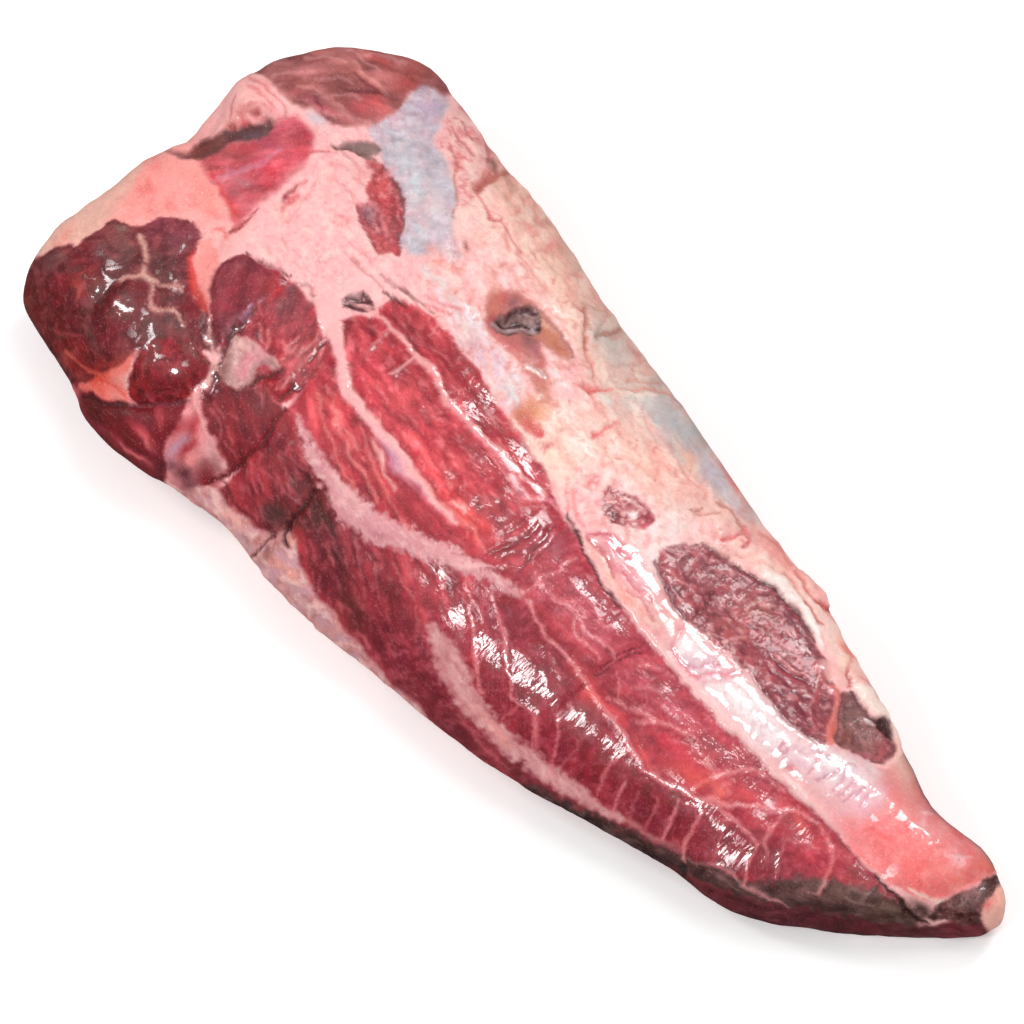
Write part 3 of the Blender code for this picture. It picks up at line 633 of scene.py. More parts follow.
def lay_left_lobes(d):
    """The dark lobes at the near corner of the thick end, and the muscles up to the first cut."""
    # pale rim of the end
    d.area(((-6, -44), (1, -38), (3.4, -36.4), (3.6, -32.5), (5, -29.6), (8, -28), (9, -26), (9, -22),
        (9.6, -16), (11.5, -13.6), (9, -10), (4, 6), (-6, 0)), (236, 184, 168), soft=0.9, share=0.9)
    d.dabs((((11, -10), (4, 7), 0, (250, 158, 150), 0.8), ((3.4, -30), (1.6, 5), 12, (240, 150, 130), 0.7),
        ((6.6, -20), (1.3, 6), 12, (222, 170, 150), 0.6),
        ((9.4, -27.6), (1.6, 0.9), 10, (248, 190, 180), 0.8)))
    lobe = d.area(((2.6, -66), (0.6, -45), (2.0, -38), (3.4, -34), (5.6, -30), (8.4, -28.8), (9.0, -24),
        (9.2, -19.5), (11, -15.6), (14.5, -14), (18, -13), (18.4, -8.6), (21.4, -6.0), (25, -2.8),
        (28, -1.4), (31, -2.6), (33, -5), (34, -9), (36, -12.6), (40, -14.6), (46, -16.8), (50, -18),
        (54, -21), (57, -24), (52, -26), (45, -28), (42, -35), (41.4, -40), (43, -46), (44, -51),
        (36, -57), (26, -64), (10, -70)), (128, 46, 52), soft=0.45, fat=0.05, wet=0.82)
    d.dabs((((25, -8), (7, 7), 0, (124, 60, 72), 0.9), ((20.6, -10.6), (3.4, 3.4), 0, (136, 72, 82), 0.8),
        ((31, -8), (3, 6), 0, (112, 44, 54), 0.7), ((28.6, -16.4), (4.6, 3), 0, (96, 64, 58), 0.9),
        ((16, -20), (7.4, 6), 0, (134, 84, 78), 0.95), ((14.4, -17), (3, 2), -10, (142, 120, 104), 0.9),
        ((20.4, -21.4), (2.8, 2.8), 0, (104, 92, 80), 0.9),
        ((12.4, -22.4), (2.6, 3), 0, (156, 96, 90), 0.8), ((17.6, -25.6), (5, 2), 0, (116, 78, 74), 0.8),
        ((11, -26.4), (2, 1.6), 0, (152, 56, 62), 0.8), ((22.6, -25), (2, 3), 0, (112, 52, 54), 0.8),
        ((6.4, -36), (3.6, 5.4), 10, (118, 84, 76), 0.95),
        ((7.8, -33.4), (1.6, 1.4), 0, (150, 118, 104), 0.7), ((5, -31), (2, 1.6), 30, (140, 70, 66), 0.7),
        ((8.6, -41), (3, 2.4), 0, (146, 70, 68), 0.8), ((13.6, -31), (3, 2), 0, (148, 66, 66), 0.8),
        ((16, -33.6), (4, 3), 0, (156, 40, 44), 0.85), ((12.4, -37.4), (3, 3), 0, (150, 34, 44), 0.8),
        ((17, -37), (1.6, 3.4), 20, (196, 84, 66), 0.75), ((14.4, -44), (3, 3), 0, (152, 40, 42), 0.8),
        ((8, -46.6), (4, 3.4), -40, (108, 56, 42), 0.85), ((18, -45), (6, 3), -20, (120, 40, 40), 0.7),
        ((20, -51), (13, 4), -14, (108, 26, 24), 0.9), ((10, -50), (5, 3), -40, (120, 36, 32), 0.8),
        ((33, -50), (7, 3), -6, (160, 22, 22), 0.9), ((37.6, -47), (2.4, 4), 0, (196, 56, 44), 0.8),
        ((30, -54), (8, 1.6), -8, (168, 40, 32), 0.8), ((30.6, -28), (5, 3.4), 0, (136, 68, 66), 0.85),
        ((29, -36), (6, 6), 0, (122, 34, 44), 0.9), ((34, -39), (3.4, 5), 0, (138, 42, 50), 0.7),
        ((28, -43.6), (5.4, 1.6), -24, (98, 72, 60), 0.85),
        ((24.2, -33), (1.4, 6), 10, (100, 52, 50), 0.7), ((38.6, -33), (2.6, 5), -20, (112, 64, 60), 0.85),
        ((38, -41), (2.4, 3.4), 0, (164, 96, 84), 0.6), ((36.4, -22.2), (3.6, 2), 14, (122, 72, 64), 0.95),
        ((31, -19), (2.6, 1.4), 0, (110, 74, 64), 0.7), ((38, -18.6), (2.6, 1.6), -14, (84, 34, 44), 0.8),
        ((43.4, -18.4), (3.4, 1.6), -18, (150, 40, 52), 0.85),
        ((41.4, -26), (3, 2), 30, (92, 66, 62), 0.85), ((50, -21.4), (4, 2), -30, (112, 44, 50), 0.8),
        ((47, -25.4), (3, 1.6), -10, (104, 66, 60), 0.8),
        ((53.6, -22.6), (2.6, 1.2), -30, (118, 96, 84), 0.7)), within=lobe)
    d.mottle(lobe, (150, 84, 76), 0.4, 3.0, 170, cover=0.28, turn=60, stretch=1.5)
    d.mottle(lobe, (84, 30, 34), 0.5, 3.2, 171, cover=0.32, turn=60, stretch=1.5)
    d.mottle(lobe, (186, 110, 104), 0.35, 1.3, 172, cover=0.14, turn=60, stretch=1.8)
    d.stroke(((19.6, -50.2), (23, -48), (26.4, -45.4)), 0.35, (186, 96, 88), share=0.6, seed=301)
    d.stroke(((26, -51.8), (30.6, -51.4), (35.6, -50.8), (40, -50)), 0.5, (232, 110, 90), share=0.75,
        fat=0.4, height=0.2, seed=302)
    d.stroke(((18.6, -39), (17.8, -36), (17.6, -33.4)), 0.3, (214, 120, 104), share=0.5, seed=303)
    # swellings of the lobes and the furrows between them
    for outline, lift in ((((9.6, -17), (14, -14.6), (19, -15), (24.6, -18.6), (26, -21), (23.6, -26),
            (20, -28.4), (12, -28.6), (9.4, -25)), 1.0),
            (((18.8, -13.4), (18.8, -8.4), (22, -5.4), (26, -2.6), (31, -3.4), (33.4, -8), (34.6, -14),
            (33.6, -18.4), (28.6, -19.6), (24, -16.6)), 1.1),
            (((24.4, -27), (26.6, -24.6), (31, -23.6), (34, -26.4), (36.6, -30), (39, -36), (38.6, -42),
            (34, -45), (28, -44.6), (24.4, -40), (22.8, -34)), 1.6),
            (((4, -34), (8, -30), (14, -29.6), (20, -29), (21.6, -34), (24.4, -41), (22, -44.6), (14, -48),
            (6, -47), (3, -40)), 1.3),
            (((33, -20.6), (36.6, -19.2), (40.4, -20.8), (40.6, -23), (37.4, -24.8), (34.4, -24)), 0.6)):
        d.area(outline, height=lift, rim=4.5, share=0.0)
    # salmon strip between the left lobe and the wedge
    d.area(((32.2, -3.6), (34.5, -2.4), (38, -3), (40.8, -5), (41.2, -9), (42.6, -11.4), (46, -14),
        (48, -15.6), (45, -16), (40, -13.6), (36.4, -10.6), (34.4, -7)), (248, 160, 150), soft=0.6,
        share=0.95, fat=0.7, height=0.3)
    d.area(((32.6, -6), (35.4, -9.4), (39, -12.8), (43, -14.8), (48.4, -16.8), (46, -18), (41, -17),
        (37, -15), (34.2, -11)), (206, 62, 56), soft=0.7, share=0.85, fat=0.1)
    d.dab((42, -15), (5, 1.2), -16, (214, 90, 74), 0.7)
    # wedge muscle and the red muscle beside it
    beside = d.area(((54, 3.5), (60, 5.4), (66, 4.4), (70, 3), (73, 1.4), (76, -0.4), (80, -7), (81, -16),
        (80, -24), (74, -25), (70, -22), (60, -24), (54, -18), (53, -6)), (176, 66, 74), soft=0.7,
        fat=0.15, wet=0.75)
    d.dabs((((62, -1.6), (3, 3), -20, (118, 80, 78), 0.9), ((57, 0.4), (1.6, 2.4), 20, (196, 40, 44), 0.8),
        ((60, 3), (3, 1.6), -10, (120, 84, 80), 0.7), ((66, -3), (3, 3), 0, (168, 84, 88), 0.8),
        ((72, -2.4), (1.3, 2), 0, (176, 20, 30), 0.85), ((66, -6.4), (4, 1.6), 0, (196, 100, 102), 0.7),
        ((70, -6), (2, 2), 0, (150, 34, 44), 0.7), ((69, -11.6), (3.4, 2), 0, (176, 44, 54), 0.8),
        ((74.6, -8), (2, 5), 0, (222, 116, 114), 0.6), ((77.4, -5), (1, 5), 6, (128, 34, 46), 0.8),
        ((79.4, -8), (1.2, 5), 6, (226, 90, 92), 0.6), ((74.6, -12.4), (2, 1.6), 0, (216, 120, 116), 0.7),
        ((60, -8), (2.4, 3), -40, (158, 52, 62), 0.7), ((61, -11.6), (2.4, 2), -40, (160, 50, 58), 0.8),
        ((74.6, -19.4), (3.4, 3), 0, (146, 20, 30), 0.9), ((76, -16), (1.6, 1.6), 0, (196, 110, 112), 0.7),
        ((80, -18.6), (1, 3), 0, (206, 70, 70), 0.7)), within=beside)
    d.mottle(beside, (118, 46, 54), 0.5, 2.4, 178, cover=0.36, turn=60, stretch=1.5)
    d.mottle(beside, (222, 130, 128), 0.4, 1.3, 179, cover=0.2, turn=60, stretch=1.5, height=0.1)
    for k, points in enumerate((((60, -9.2), (62.4, -11.4), (64.6, -13.6)),
            ((66.4, -13.6), (65, -11), (63.6, -9)), ((70.6, -4.6), (70.4, -8), (71, -11)),
            ((74.6, -1.6), (73.6, -5.4), (74, -9)), ((76.4, -4.4), (76, -9), (77, -12)),
            ((71, -14), (72.4, -11), (72, -7.4)), ((75.8, -14), (77, -17), (76, -19.6)),
            ((68, -9), (71, -9.6)), ((73.6, 0.4), (74.4, -2)))):
        d.stroke(points, 0.35, (240, 160, 150), share=0.65, fat=0.5, height=0.25, broken=0.3, seed=310 + k)
    wedge = d.area(((40.6, -4.6), (41.8, -1.8), (44, 0.8), (48, 2.6), (52, 3.8), (56, 4.8), (58, 4.4),
        (55.6, 0), (55.2, -6), (55.8, -12), (56.8, -18), (57.6, -22), (55, -22), (51, -19.6),
        (48.4, -16.8), (45, -13.6), (42.4, -11)), (148, 56, 66), soft=0.45, fat=0.08, wet=0.62, height=1.0,
        rim=5)
    d.dabs((((55.4, -0.4), (1.8, 2.4), 10, (188, 44, 46), 0.8),
        ((44.5, -4), (3.4, 4), 0, (130, 66, 70), 0.8), ((45, -10), (3, 3), 0, (132, 62, 66), 0.7),
        ((51, -8), (3.4, 4), 0, (152, 50, 60), 0.7), ((53, -18), (3, 3.4), 0, (112, 44, 52), 0.85),
        ((48, -1), (4, 2), 10, (136, 72, 74), 0.6), ((45.6, -3.4), (1.4, 0.7), 10, (170, 110, 104), 0.6)),
        within=wedge)
    d.mottle(wedge, (112, 48, 56), 0.5, 3.0, 176, cover=0.4, turn=75, stretch=1.8)
    d.mottle(wedge, (176, 92, 94), 0.4, 1.5, 177, cover=0.18, turn=75, stretch=1.8)
    d.stroke(((44.5, 2.0), (49, 3.6), (54, 4.9), (57.6, 6)), 0.3, (92, 36, 42), share=0.8, height=-0.9,
        seed=320)
    d.stroke(((60.4, 5.4), (63.4, 7.4), (66, 6)), 0.3, (112, 52, 56), share=0.6, height=-0.5, seed=321)
    d.stroke(((40.8, -5), (41.4, -9.4), (44, -12.6)), 0.3, (112, 44, 50), share=0.6, height=-0.7, seed=322)
    d.stroke(((55.9, -7.6), (56, -11), (56.4, -15), (57.2, -19.5), (58, -22.4), (59.8, -25.6)), 0.42,
        (84, 16, 30), share=0.92, height=-0.9, seed=323)
    d.stroke(((58.4, -20.6), (59, -23), (60, -25.4)), 0.3, (96, 52, 50), share=0.7, height=-0.4, seed=324)
    # lilac-white streak on the left lip of the crease: painted glint over a raised lip
    d.stroke(((55.2, -7.8), (55.3, -10.5), (55.2, -12.6)), 0.5, (196, 150, 176), share=0.75, height=0.4,
        seed=325)
    d.stroke(((54.2, -12.4), (54.6, -14.6), (55.6, -17.4)), 0.3, (214, 150, 156), share=0.6, height=0.2,
        seed=326)
    # grey-pink fat patch, with dark cuts beside it
    grey = d.area(((57.2, -19), (57.8, -16), (60.6, -14.8), (64, -14.6), (68, -13.8), (73.6, -14.6),
        (71.6, -16.6), (68.8, -17.6), (68.2, -19), (69.6, -20.6), (69.8, -24), (68.4, -26.6), (67, -28.2),
        (65, -29), (63, -28), (61, -25.4), (59, -22)), (212, 162, 156), soft=0.5, fat=0.8, wet=0.45,
        height=0.5, rim=3, ragged=0.5, seed=21)
    d.dabs((((64.8, -18), (2.2, 3.6), -10, (226, 122, 140), 0.85),
        ((66.4, -23), (1.6, 2.6), 0, (232, 140, 152), 0.8),
        ((60, -17.4), (2.2, 2), 0, (240, 184, 176), 0.85), ((62, -22), (2, 3), -30, (206, 164, 154), 0.7),
        ((70, -16), (2, 1), -10, (150, 104, 104), 0.8), ((69, -17.6), (1.4, 1), 0, (128, 66, 72), 0.7),
        ((64, -26.4), (2.4, 1.6), 0, (176, 140, 128), 0.7), ((68.4, -21), (1, 2), 0, (168, 122, 116), 0.6),
        ((60, -23), (1.6, 3), -30, (150, 112, 104), 0.7), ((63, -17), (3, 1), 0, (226, 190, 180), 0.6)),
        within=grey)
    d.mottle(grey, (168, 122, 116), 0.45, 1.5, 180, cover=0.26)
    d.mottle(grey, (240, 196, 190), 0.4, 1.6, 181, cover=0.26)
    d.dabs((((60.6, -26.6), (1.6, 3), -34, (112, 66, 60), 0.75),
        ((62.6, -29), (1.6, 1.6), 0, (96, 50, 50), 0.7), ((66, -29.4), (1.6, 1), 0, (150, 104, 96), 0.6),
        ((57.4, -21.6), (0.8, 2.4), -20, (120, 72, 66), 0.7)))
    for k, (points, width) in enumerate((((((73.6, -15), (72.4, -17.6), (70.8, -21), (69.8, -24.4))), 0.9),
            (((69.6, -24.6), (68.4, -28), (66.6, -30), (65.4, -32.4)), 0.5),
            (((79.2, -15.4), (78.8, -18), (78.9, -21.8)), 0.6),
            (((77.8, -0.4), (77.2, -4), (77.2, -8)), 0.35), (((61, -28), (62.6, -31), (64, -35)), 0.8),
            (((63.4, -33.6), (62.6, -35.6)), 0.7))):
        d.stroke(points, width, (84, 12, 24), share=0.85, height=-0.6, seed=330 + k)
    d.dab((66.6, -33), (2.6, 3), -30, (98, 40, 50), 0.85)
    d.stroke(((69.8, -25), (71, -26.6), (72.8, -29)), 0.7, (190, 140, 164), share=0.8, fat=0.5, height=0.3,
        seed=336)
    d.stroke(((64.8, -32.4), (63.2, -34), (64.4, -33.4)), 0.5, (236, 196, 190), share=0.8, fat=0.6,
        height=0.3, seed=337)
    # knot lobe
    knot = d.area(((41.8, -40), (41.2, -36.4), (42.6, -31.6), (45.6, -28.2), (49, -26.4), (54, -25.6),
        (58, -27.2), (60, -30.6), (59.8, -37), (58.4, -41), (55, -45), (51.4, -48.2), (48, -49.6),
        (45.6, -47.4), (43.4, -44)), (148, 38, 48), soft=0.45, fat=0.03, wet=0.9, height=0.8, rim=6)
    d.dabs((((46.6, -36), (2.6, 3), 0, (140, 40, 50), 0.7),
        ((51, -35.6), (3.4, 2.6), 0, (160, 56, 60), 0.7), ((56.6, -33), (2.6, 5), 0, (146, 52, 52), 0.7),
        ((46, -42), (3, 3.4), 0, (146, 16, 28), 0.85), ((50, -41), (3, 2), 0, (120, 20, 30), 0.7),
        ((54, -40), (4, 3), 30, (150, 48, 54), 0.8), ((47, -47), (2.4, 2), 0, (172, 28, 32), 0.8),
        ((49, -28.4), (3.4, 1.6), 0, (120, 56, 54), 0.8), ((46, -30.6), (2, 2), 0, (156, 44, 60), 0.7),
        ((58.6, -38), (1.4, 3), 0, (170, 34, 36), 0.7), ((51.4, -31), (1.2, 0.9), 0, (96, 16, 30), 0.8)),
        within=knot)
    d.mottle(knot, (196, 84, 84), 0.45, 1.8, 173, cover=0.26)
    d.mottle(knot, (92, 16, 26), 0.6, 2.2, 174, cover=0.34, height=-0.12)
    d.mottle(knot, (134, 72, 66), 0.45, 2.6, 175, cover=0.26)
    d.stroke(((60.2, -38.8), (58.4, -41.8), (55.2, -45.4), (51.6, -48.6), (48.6, -50.2)), 0.45,
        (76, 12, 24), share=0.85, height=-0.9, seed=340)
    d.stroke(((60.6, -40), (59.4, -43.4), (56.8, -46), (53.4, -48.4)), 0.9, (96, 18, 28), share=0.8,
        height=-0.5, seed=341)
    # red muscle between the knot and the first cut
    red = d.area(((61.4, -31), (64, -28.4), (68, -27.8), (70.4, -23.6), (75, -22.2), (82, -22),
        (83.6, -30), (84, -40), (82.4, -46), (79, -46.4), (74, -43), (68, -40.2), (64, -37.4),
        (61.4, -35)), (146, 50, 56), soft=0.7, fat=0.1, wet=0.62)
    d.dabs((((76, -25), (7, 2.8), 0, (122, 60, 58), 0.9), ((72, -31), (5, 3), 0, (138, 44, 50), 0.7),
        ((75, -25.6), (6, 2.4), 0, (118, 52, 56), 0.5), ((68, -28), (3, 2), 0, (108, 50, 54), 0.7),
        ((63.6, -33), (2, 3), 0, (96, 44, 50), 0.8), ((72, -31), (4, 2), -10, (158, 48, 54), 0.7),
        ((69, -36.4), (4, 1.8), -10, (166, 66, 70), 0.75), ((76, -38), (4, 2), -20, (178, 58, 62), 0.75),
        ((79, -31), (3, 4), 0, (140, 38, 48), 0.7), ((79.4, -42), (2.4, 2.4), 0, (160, 48, 54), 0.7)),
        within=red)
    for k, points in enumerate((((65.6, -34), (68, -35), (71, -35.4)), ((66, -36.6), (69, -37), (72, -38)),
            ((71.4, -33), (74, -32.6)), ((73, -36.4), (75, -38), (77.6, -39)),
            ((75, -40.6), (78, -40.4), (80.4, -41.4)), ((73, -38.6), (74, -41)),
            ((76, -42.4), (79, -43.4), (80.6, -45)), ((72, -24), (75, -24.4), (77, -26)),
            ((76.6, -22.6), (80, -22.4)))):
        d.stroke(points, 0.28, (222, 130, 128), share=0.5, fat=0.4, height=0.2, broken=0.25, seed=345 + k)
    # mixed pink fat and red muscle below it
    mixed = d.area(((59.6, -30.6), (61.2, -33), (61.2, -36.2), (64, -37.6), (68, -39.6), (73, -41.4),
        (78, -43.2), (80.6, -44.6), (82, -48), (83.6, -52), (82, -57), (74, -59.4), (66, -57), (64, -50),
        (62, -44), (59.4, -39)), (222, 140, 140), soft=0.6, fat=0.6, wet=0.55, ragged=0.5, seed=22)
    d.dabs((((62, -47.6), (2, 5), -14, (160, 34, 44), 0.95),
        ((66, -42.6), (1.8, 2.6), 10, (186, 48, 54), 0.9), ((69, -48.4), (1.6, 4), 6, (172, 48, 56), 0.9),
        ((66.6, -50), (1.1, 4.6), 4, (186, 150, 170), 0.85),
        ((74, -45), (4, 2.4), -24, (248, 194, 190), 0.85),
        ((70.4, -42.6), (3, 1.6), -20, (244, 168, 166), 0.8),
        ((75.4, -48.6), (2, 2), 0, (170, 110, 106), 0.7),
        ((77.6, -46.4), (2, 1.2), -20, (196, 150, 142), 0.7), ((78, -50.6), (3, 3), 0, (132, 34, 44), 0.9),
        ((79, -52), (1.6, 1.4), 0, (150, 14, 26), 0.8), ((73, -54), (3, 1.8), -20, (98, 40, 50), 0.9),
        ((78, -55.6), (4, 2.4), 0, (116, 64, 68), 0.85),
        ((71.6, -50), (1.6, 2.4), 0, (250, 160, 150), 0.8),
        ((79.8, -44.6), (1.4, 0.9), -20, (252, 214, 204), 0.85),
        ((68.6, -55), (1.8, 1.6), 0, (120, 70, 84), 0.8), ((82, -47), (1.4, 1.4), 0, (122, 40, 50), 0.7),
        ((62.6, -41.4), (1.8, 1.8), -40, (250, 172, 172), 0.85),
        ((70, -57.4), (4, 1), 8, (226, 150, 146), 0.8)), within=mixed)
    d.stroke(((48.6, -17.4), (50.6, -20.2), (52.6, -22.8), (55.6, -24), (58.2, -25.8), (60, -27.2),
        (60.7, -30), (60.2, -33), (60.3, -36), (62, -38), (65, -39.4), (69, -40.8), (73, -42.6)), 0.32,
        (238, 180, 172), share=0.85, fat=0.85, height=0.3, seed=350)
    d.stroke(((60.2, -34), (60.6, -37), (62.6, -39)), 0.8, (242, 176, 172), share=0.9, fat=0.85,
        height=0.3, seed=351)
    d.stroke(((50.4, -22.6), (52, -21.8), (52.8, -23)), 0.3, (206, 140, 136), share=0.6, seed=352)
    # bright fat between the left lobe and the knot
    salmon = d.area(((40.6, -39), (41.8, -42), (43.6, -45.6), (45.6, -48.8), (49, -50), (47.6, -53),
        (44.4, -54.6), (40.4, -56), (37, -57.6), (34, -56.6), (37, -53), (38.6, -48), (39.6, -43)),
        (246, 132, 118), soft=0.6, fat=0.7, wet=0.7, height=0.5, rim=3)
    d.dabs((((43, -45.4), (1.4, 3), -20, (252, 178, 164), 0.85),
        ((44.6, -51.6), (2.6, 1.4), 20, (250, 158, 146), 0.8),
        ((38.4, -51), (2.4, 3.4), 0, (224, 66, 48), 0.85), ((37, -56), (2, 1), 0, (222, 96, 84), 0.7),
        ((41.6, -53.6), (1.6, 1.2), 0, (232, 96, 84), 0.6)), within=salmon)
    d.stroke(((40.8, -38), (41.6, -41), (43, -44.4), (44.6, -48)), 0.35, (250, 190, 180), share=0.75,
        fat=0.8, height=0.3, seed=353)
    d.stroke(((40.4, -50.4), (43.6, -50), (47, -50.2)), 0.3, (222, 88, 74), share=0.6, height=-0.3,
        seed=354)
    # lower flap along the near edge
    flap = d.area(((32, -57), (36, -57.6), (39.6, -55.6), (43, -54.4), (47.4, -52), (50.6, -49), (55, -46),
        (58, -43), (60.4, -39.6), (62.4, -44), (64, -50), (65, -55), (72, -58.6), (70, -68), (50, -70),
        (34, -66)), (132, 34, 44), soft=0.5, fat=0.08, wet=0.72, height=0.8, rim=5)
    d.dabs((((36, -58.8), (3.6, 1.6), -16, (228, 122, 118), 0.95),
        ((43, -57.6), (4, 2.6), 0, (88, 14, 26), 0.9), ((49.4, -53.6), (2.6, 3), -30, (96, 26, 32), 0.8),
        ((54, -50), (4, 3), 30, (140, 36, 46), 0.8), ((59, -45.6), (2.4, 4), -20, (160, 48, 54), 0.7),
        ((58, -53.6), (4.4, 1), 0, (214, 96, 96), 0.8),
        ((60, -54.6), (3.4, 0.8), -10, (232, 140, 136), 0.7), ((54, -57), (8, 1.2), 2, (118, 24, 32), 0.8),
        ((60, -58.8), (6, 0.7), 4, (222, 122, 118), 0.85), ((50, -60.6), (5, 1), -6, (150, 60, 62), 0.6),
        ((66, -57), (2.4, 1.8), -20, (112, 40, 48), 0.8), ((56, -61), (7, 0.9), 4, (150, 40, 44), 0.7)),
        within=flap)
    d.stroke(((48.6, -50.8), (45.6, -54), (41, -55.8), (38.6, -57.6)), 0.4, (72, 14, 24), share=0.75,
        height=-0.7, seed=355)
    # the pale star of fat between the dark lobes
    for k, (points, width) in enumerate(
            ((((20.2, -15.2), (22.4, -16), (24, -17.4), (25.6, -19.2), (27.4, -21)), 0.6),
            (((27.4, -21.4), (29.6, -21.4), (32.6, -20.6), (34.6, -19.2), (35.4, -17.4)), 0.6),
            (((28.4, -21.4), (26.6, -23), (25.2, -25), (23.6, -27.4)), 0.75),
            (((30.6, -21.6), (32, -23.6), (33.6, -25.8), (35.2, -27)), 0.6),
            (((35.2, -26.6), (37.6, -26), (39.6, -24.6), (40.8, -23)), 0.35),
            (((35.4, -18.6), (37.4, -17.6), (39, -18)), 0.45),
            (((41.4, -23), (43.4, -24), (45, -23.8)), 0.3), (((20.2, -15.2), (18.6, -14.4)), 0.5))):
        d.stroke(points, width, (222, 172, 154), share=0.85, fat=0.9, wet=0.55, height=0.3, soft=0.7,
            taper=0.6, broken=0.25, seed=60 + k)
    d.dab((28.4, -21.6), (2.6, 1.4), 0, (232, 184, 164), 0.9)
    d.dab((36.4, -26.6), (2.2, 1.0), 0, (222, 172, 154), 0.7)
    d.dab((22.4, -16), (2.2, 0.9), -30, (222, 172, 154), 0.7)


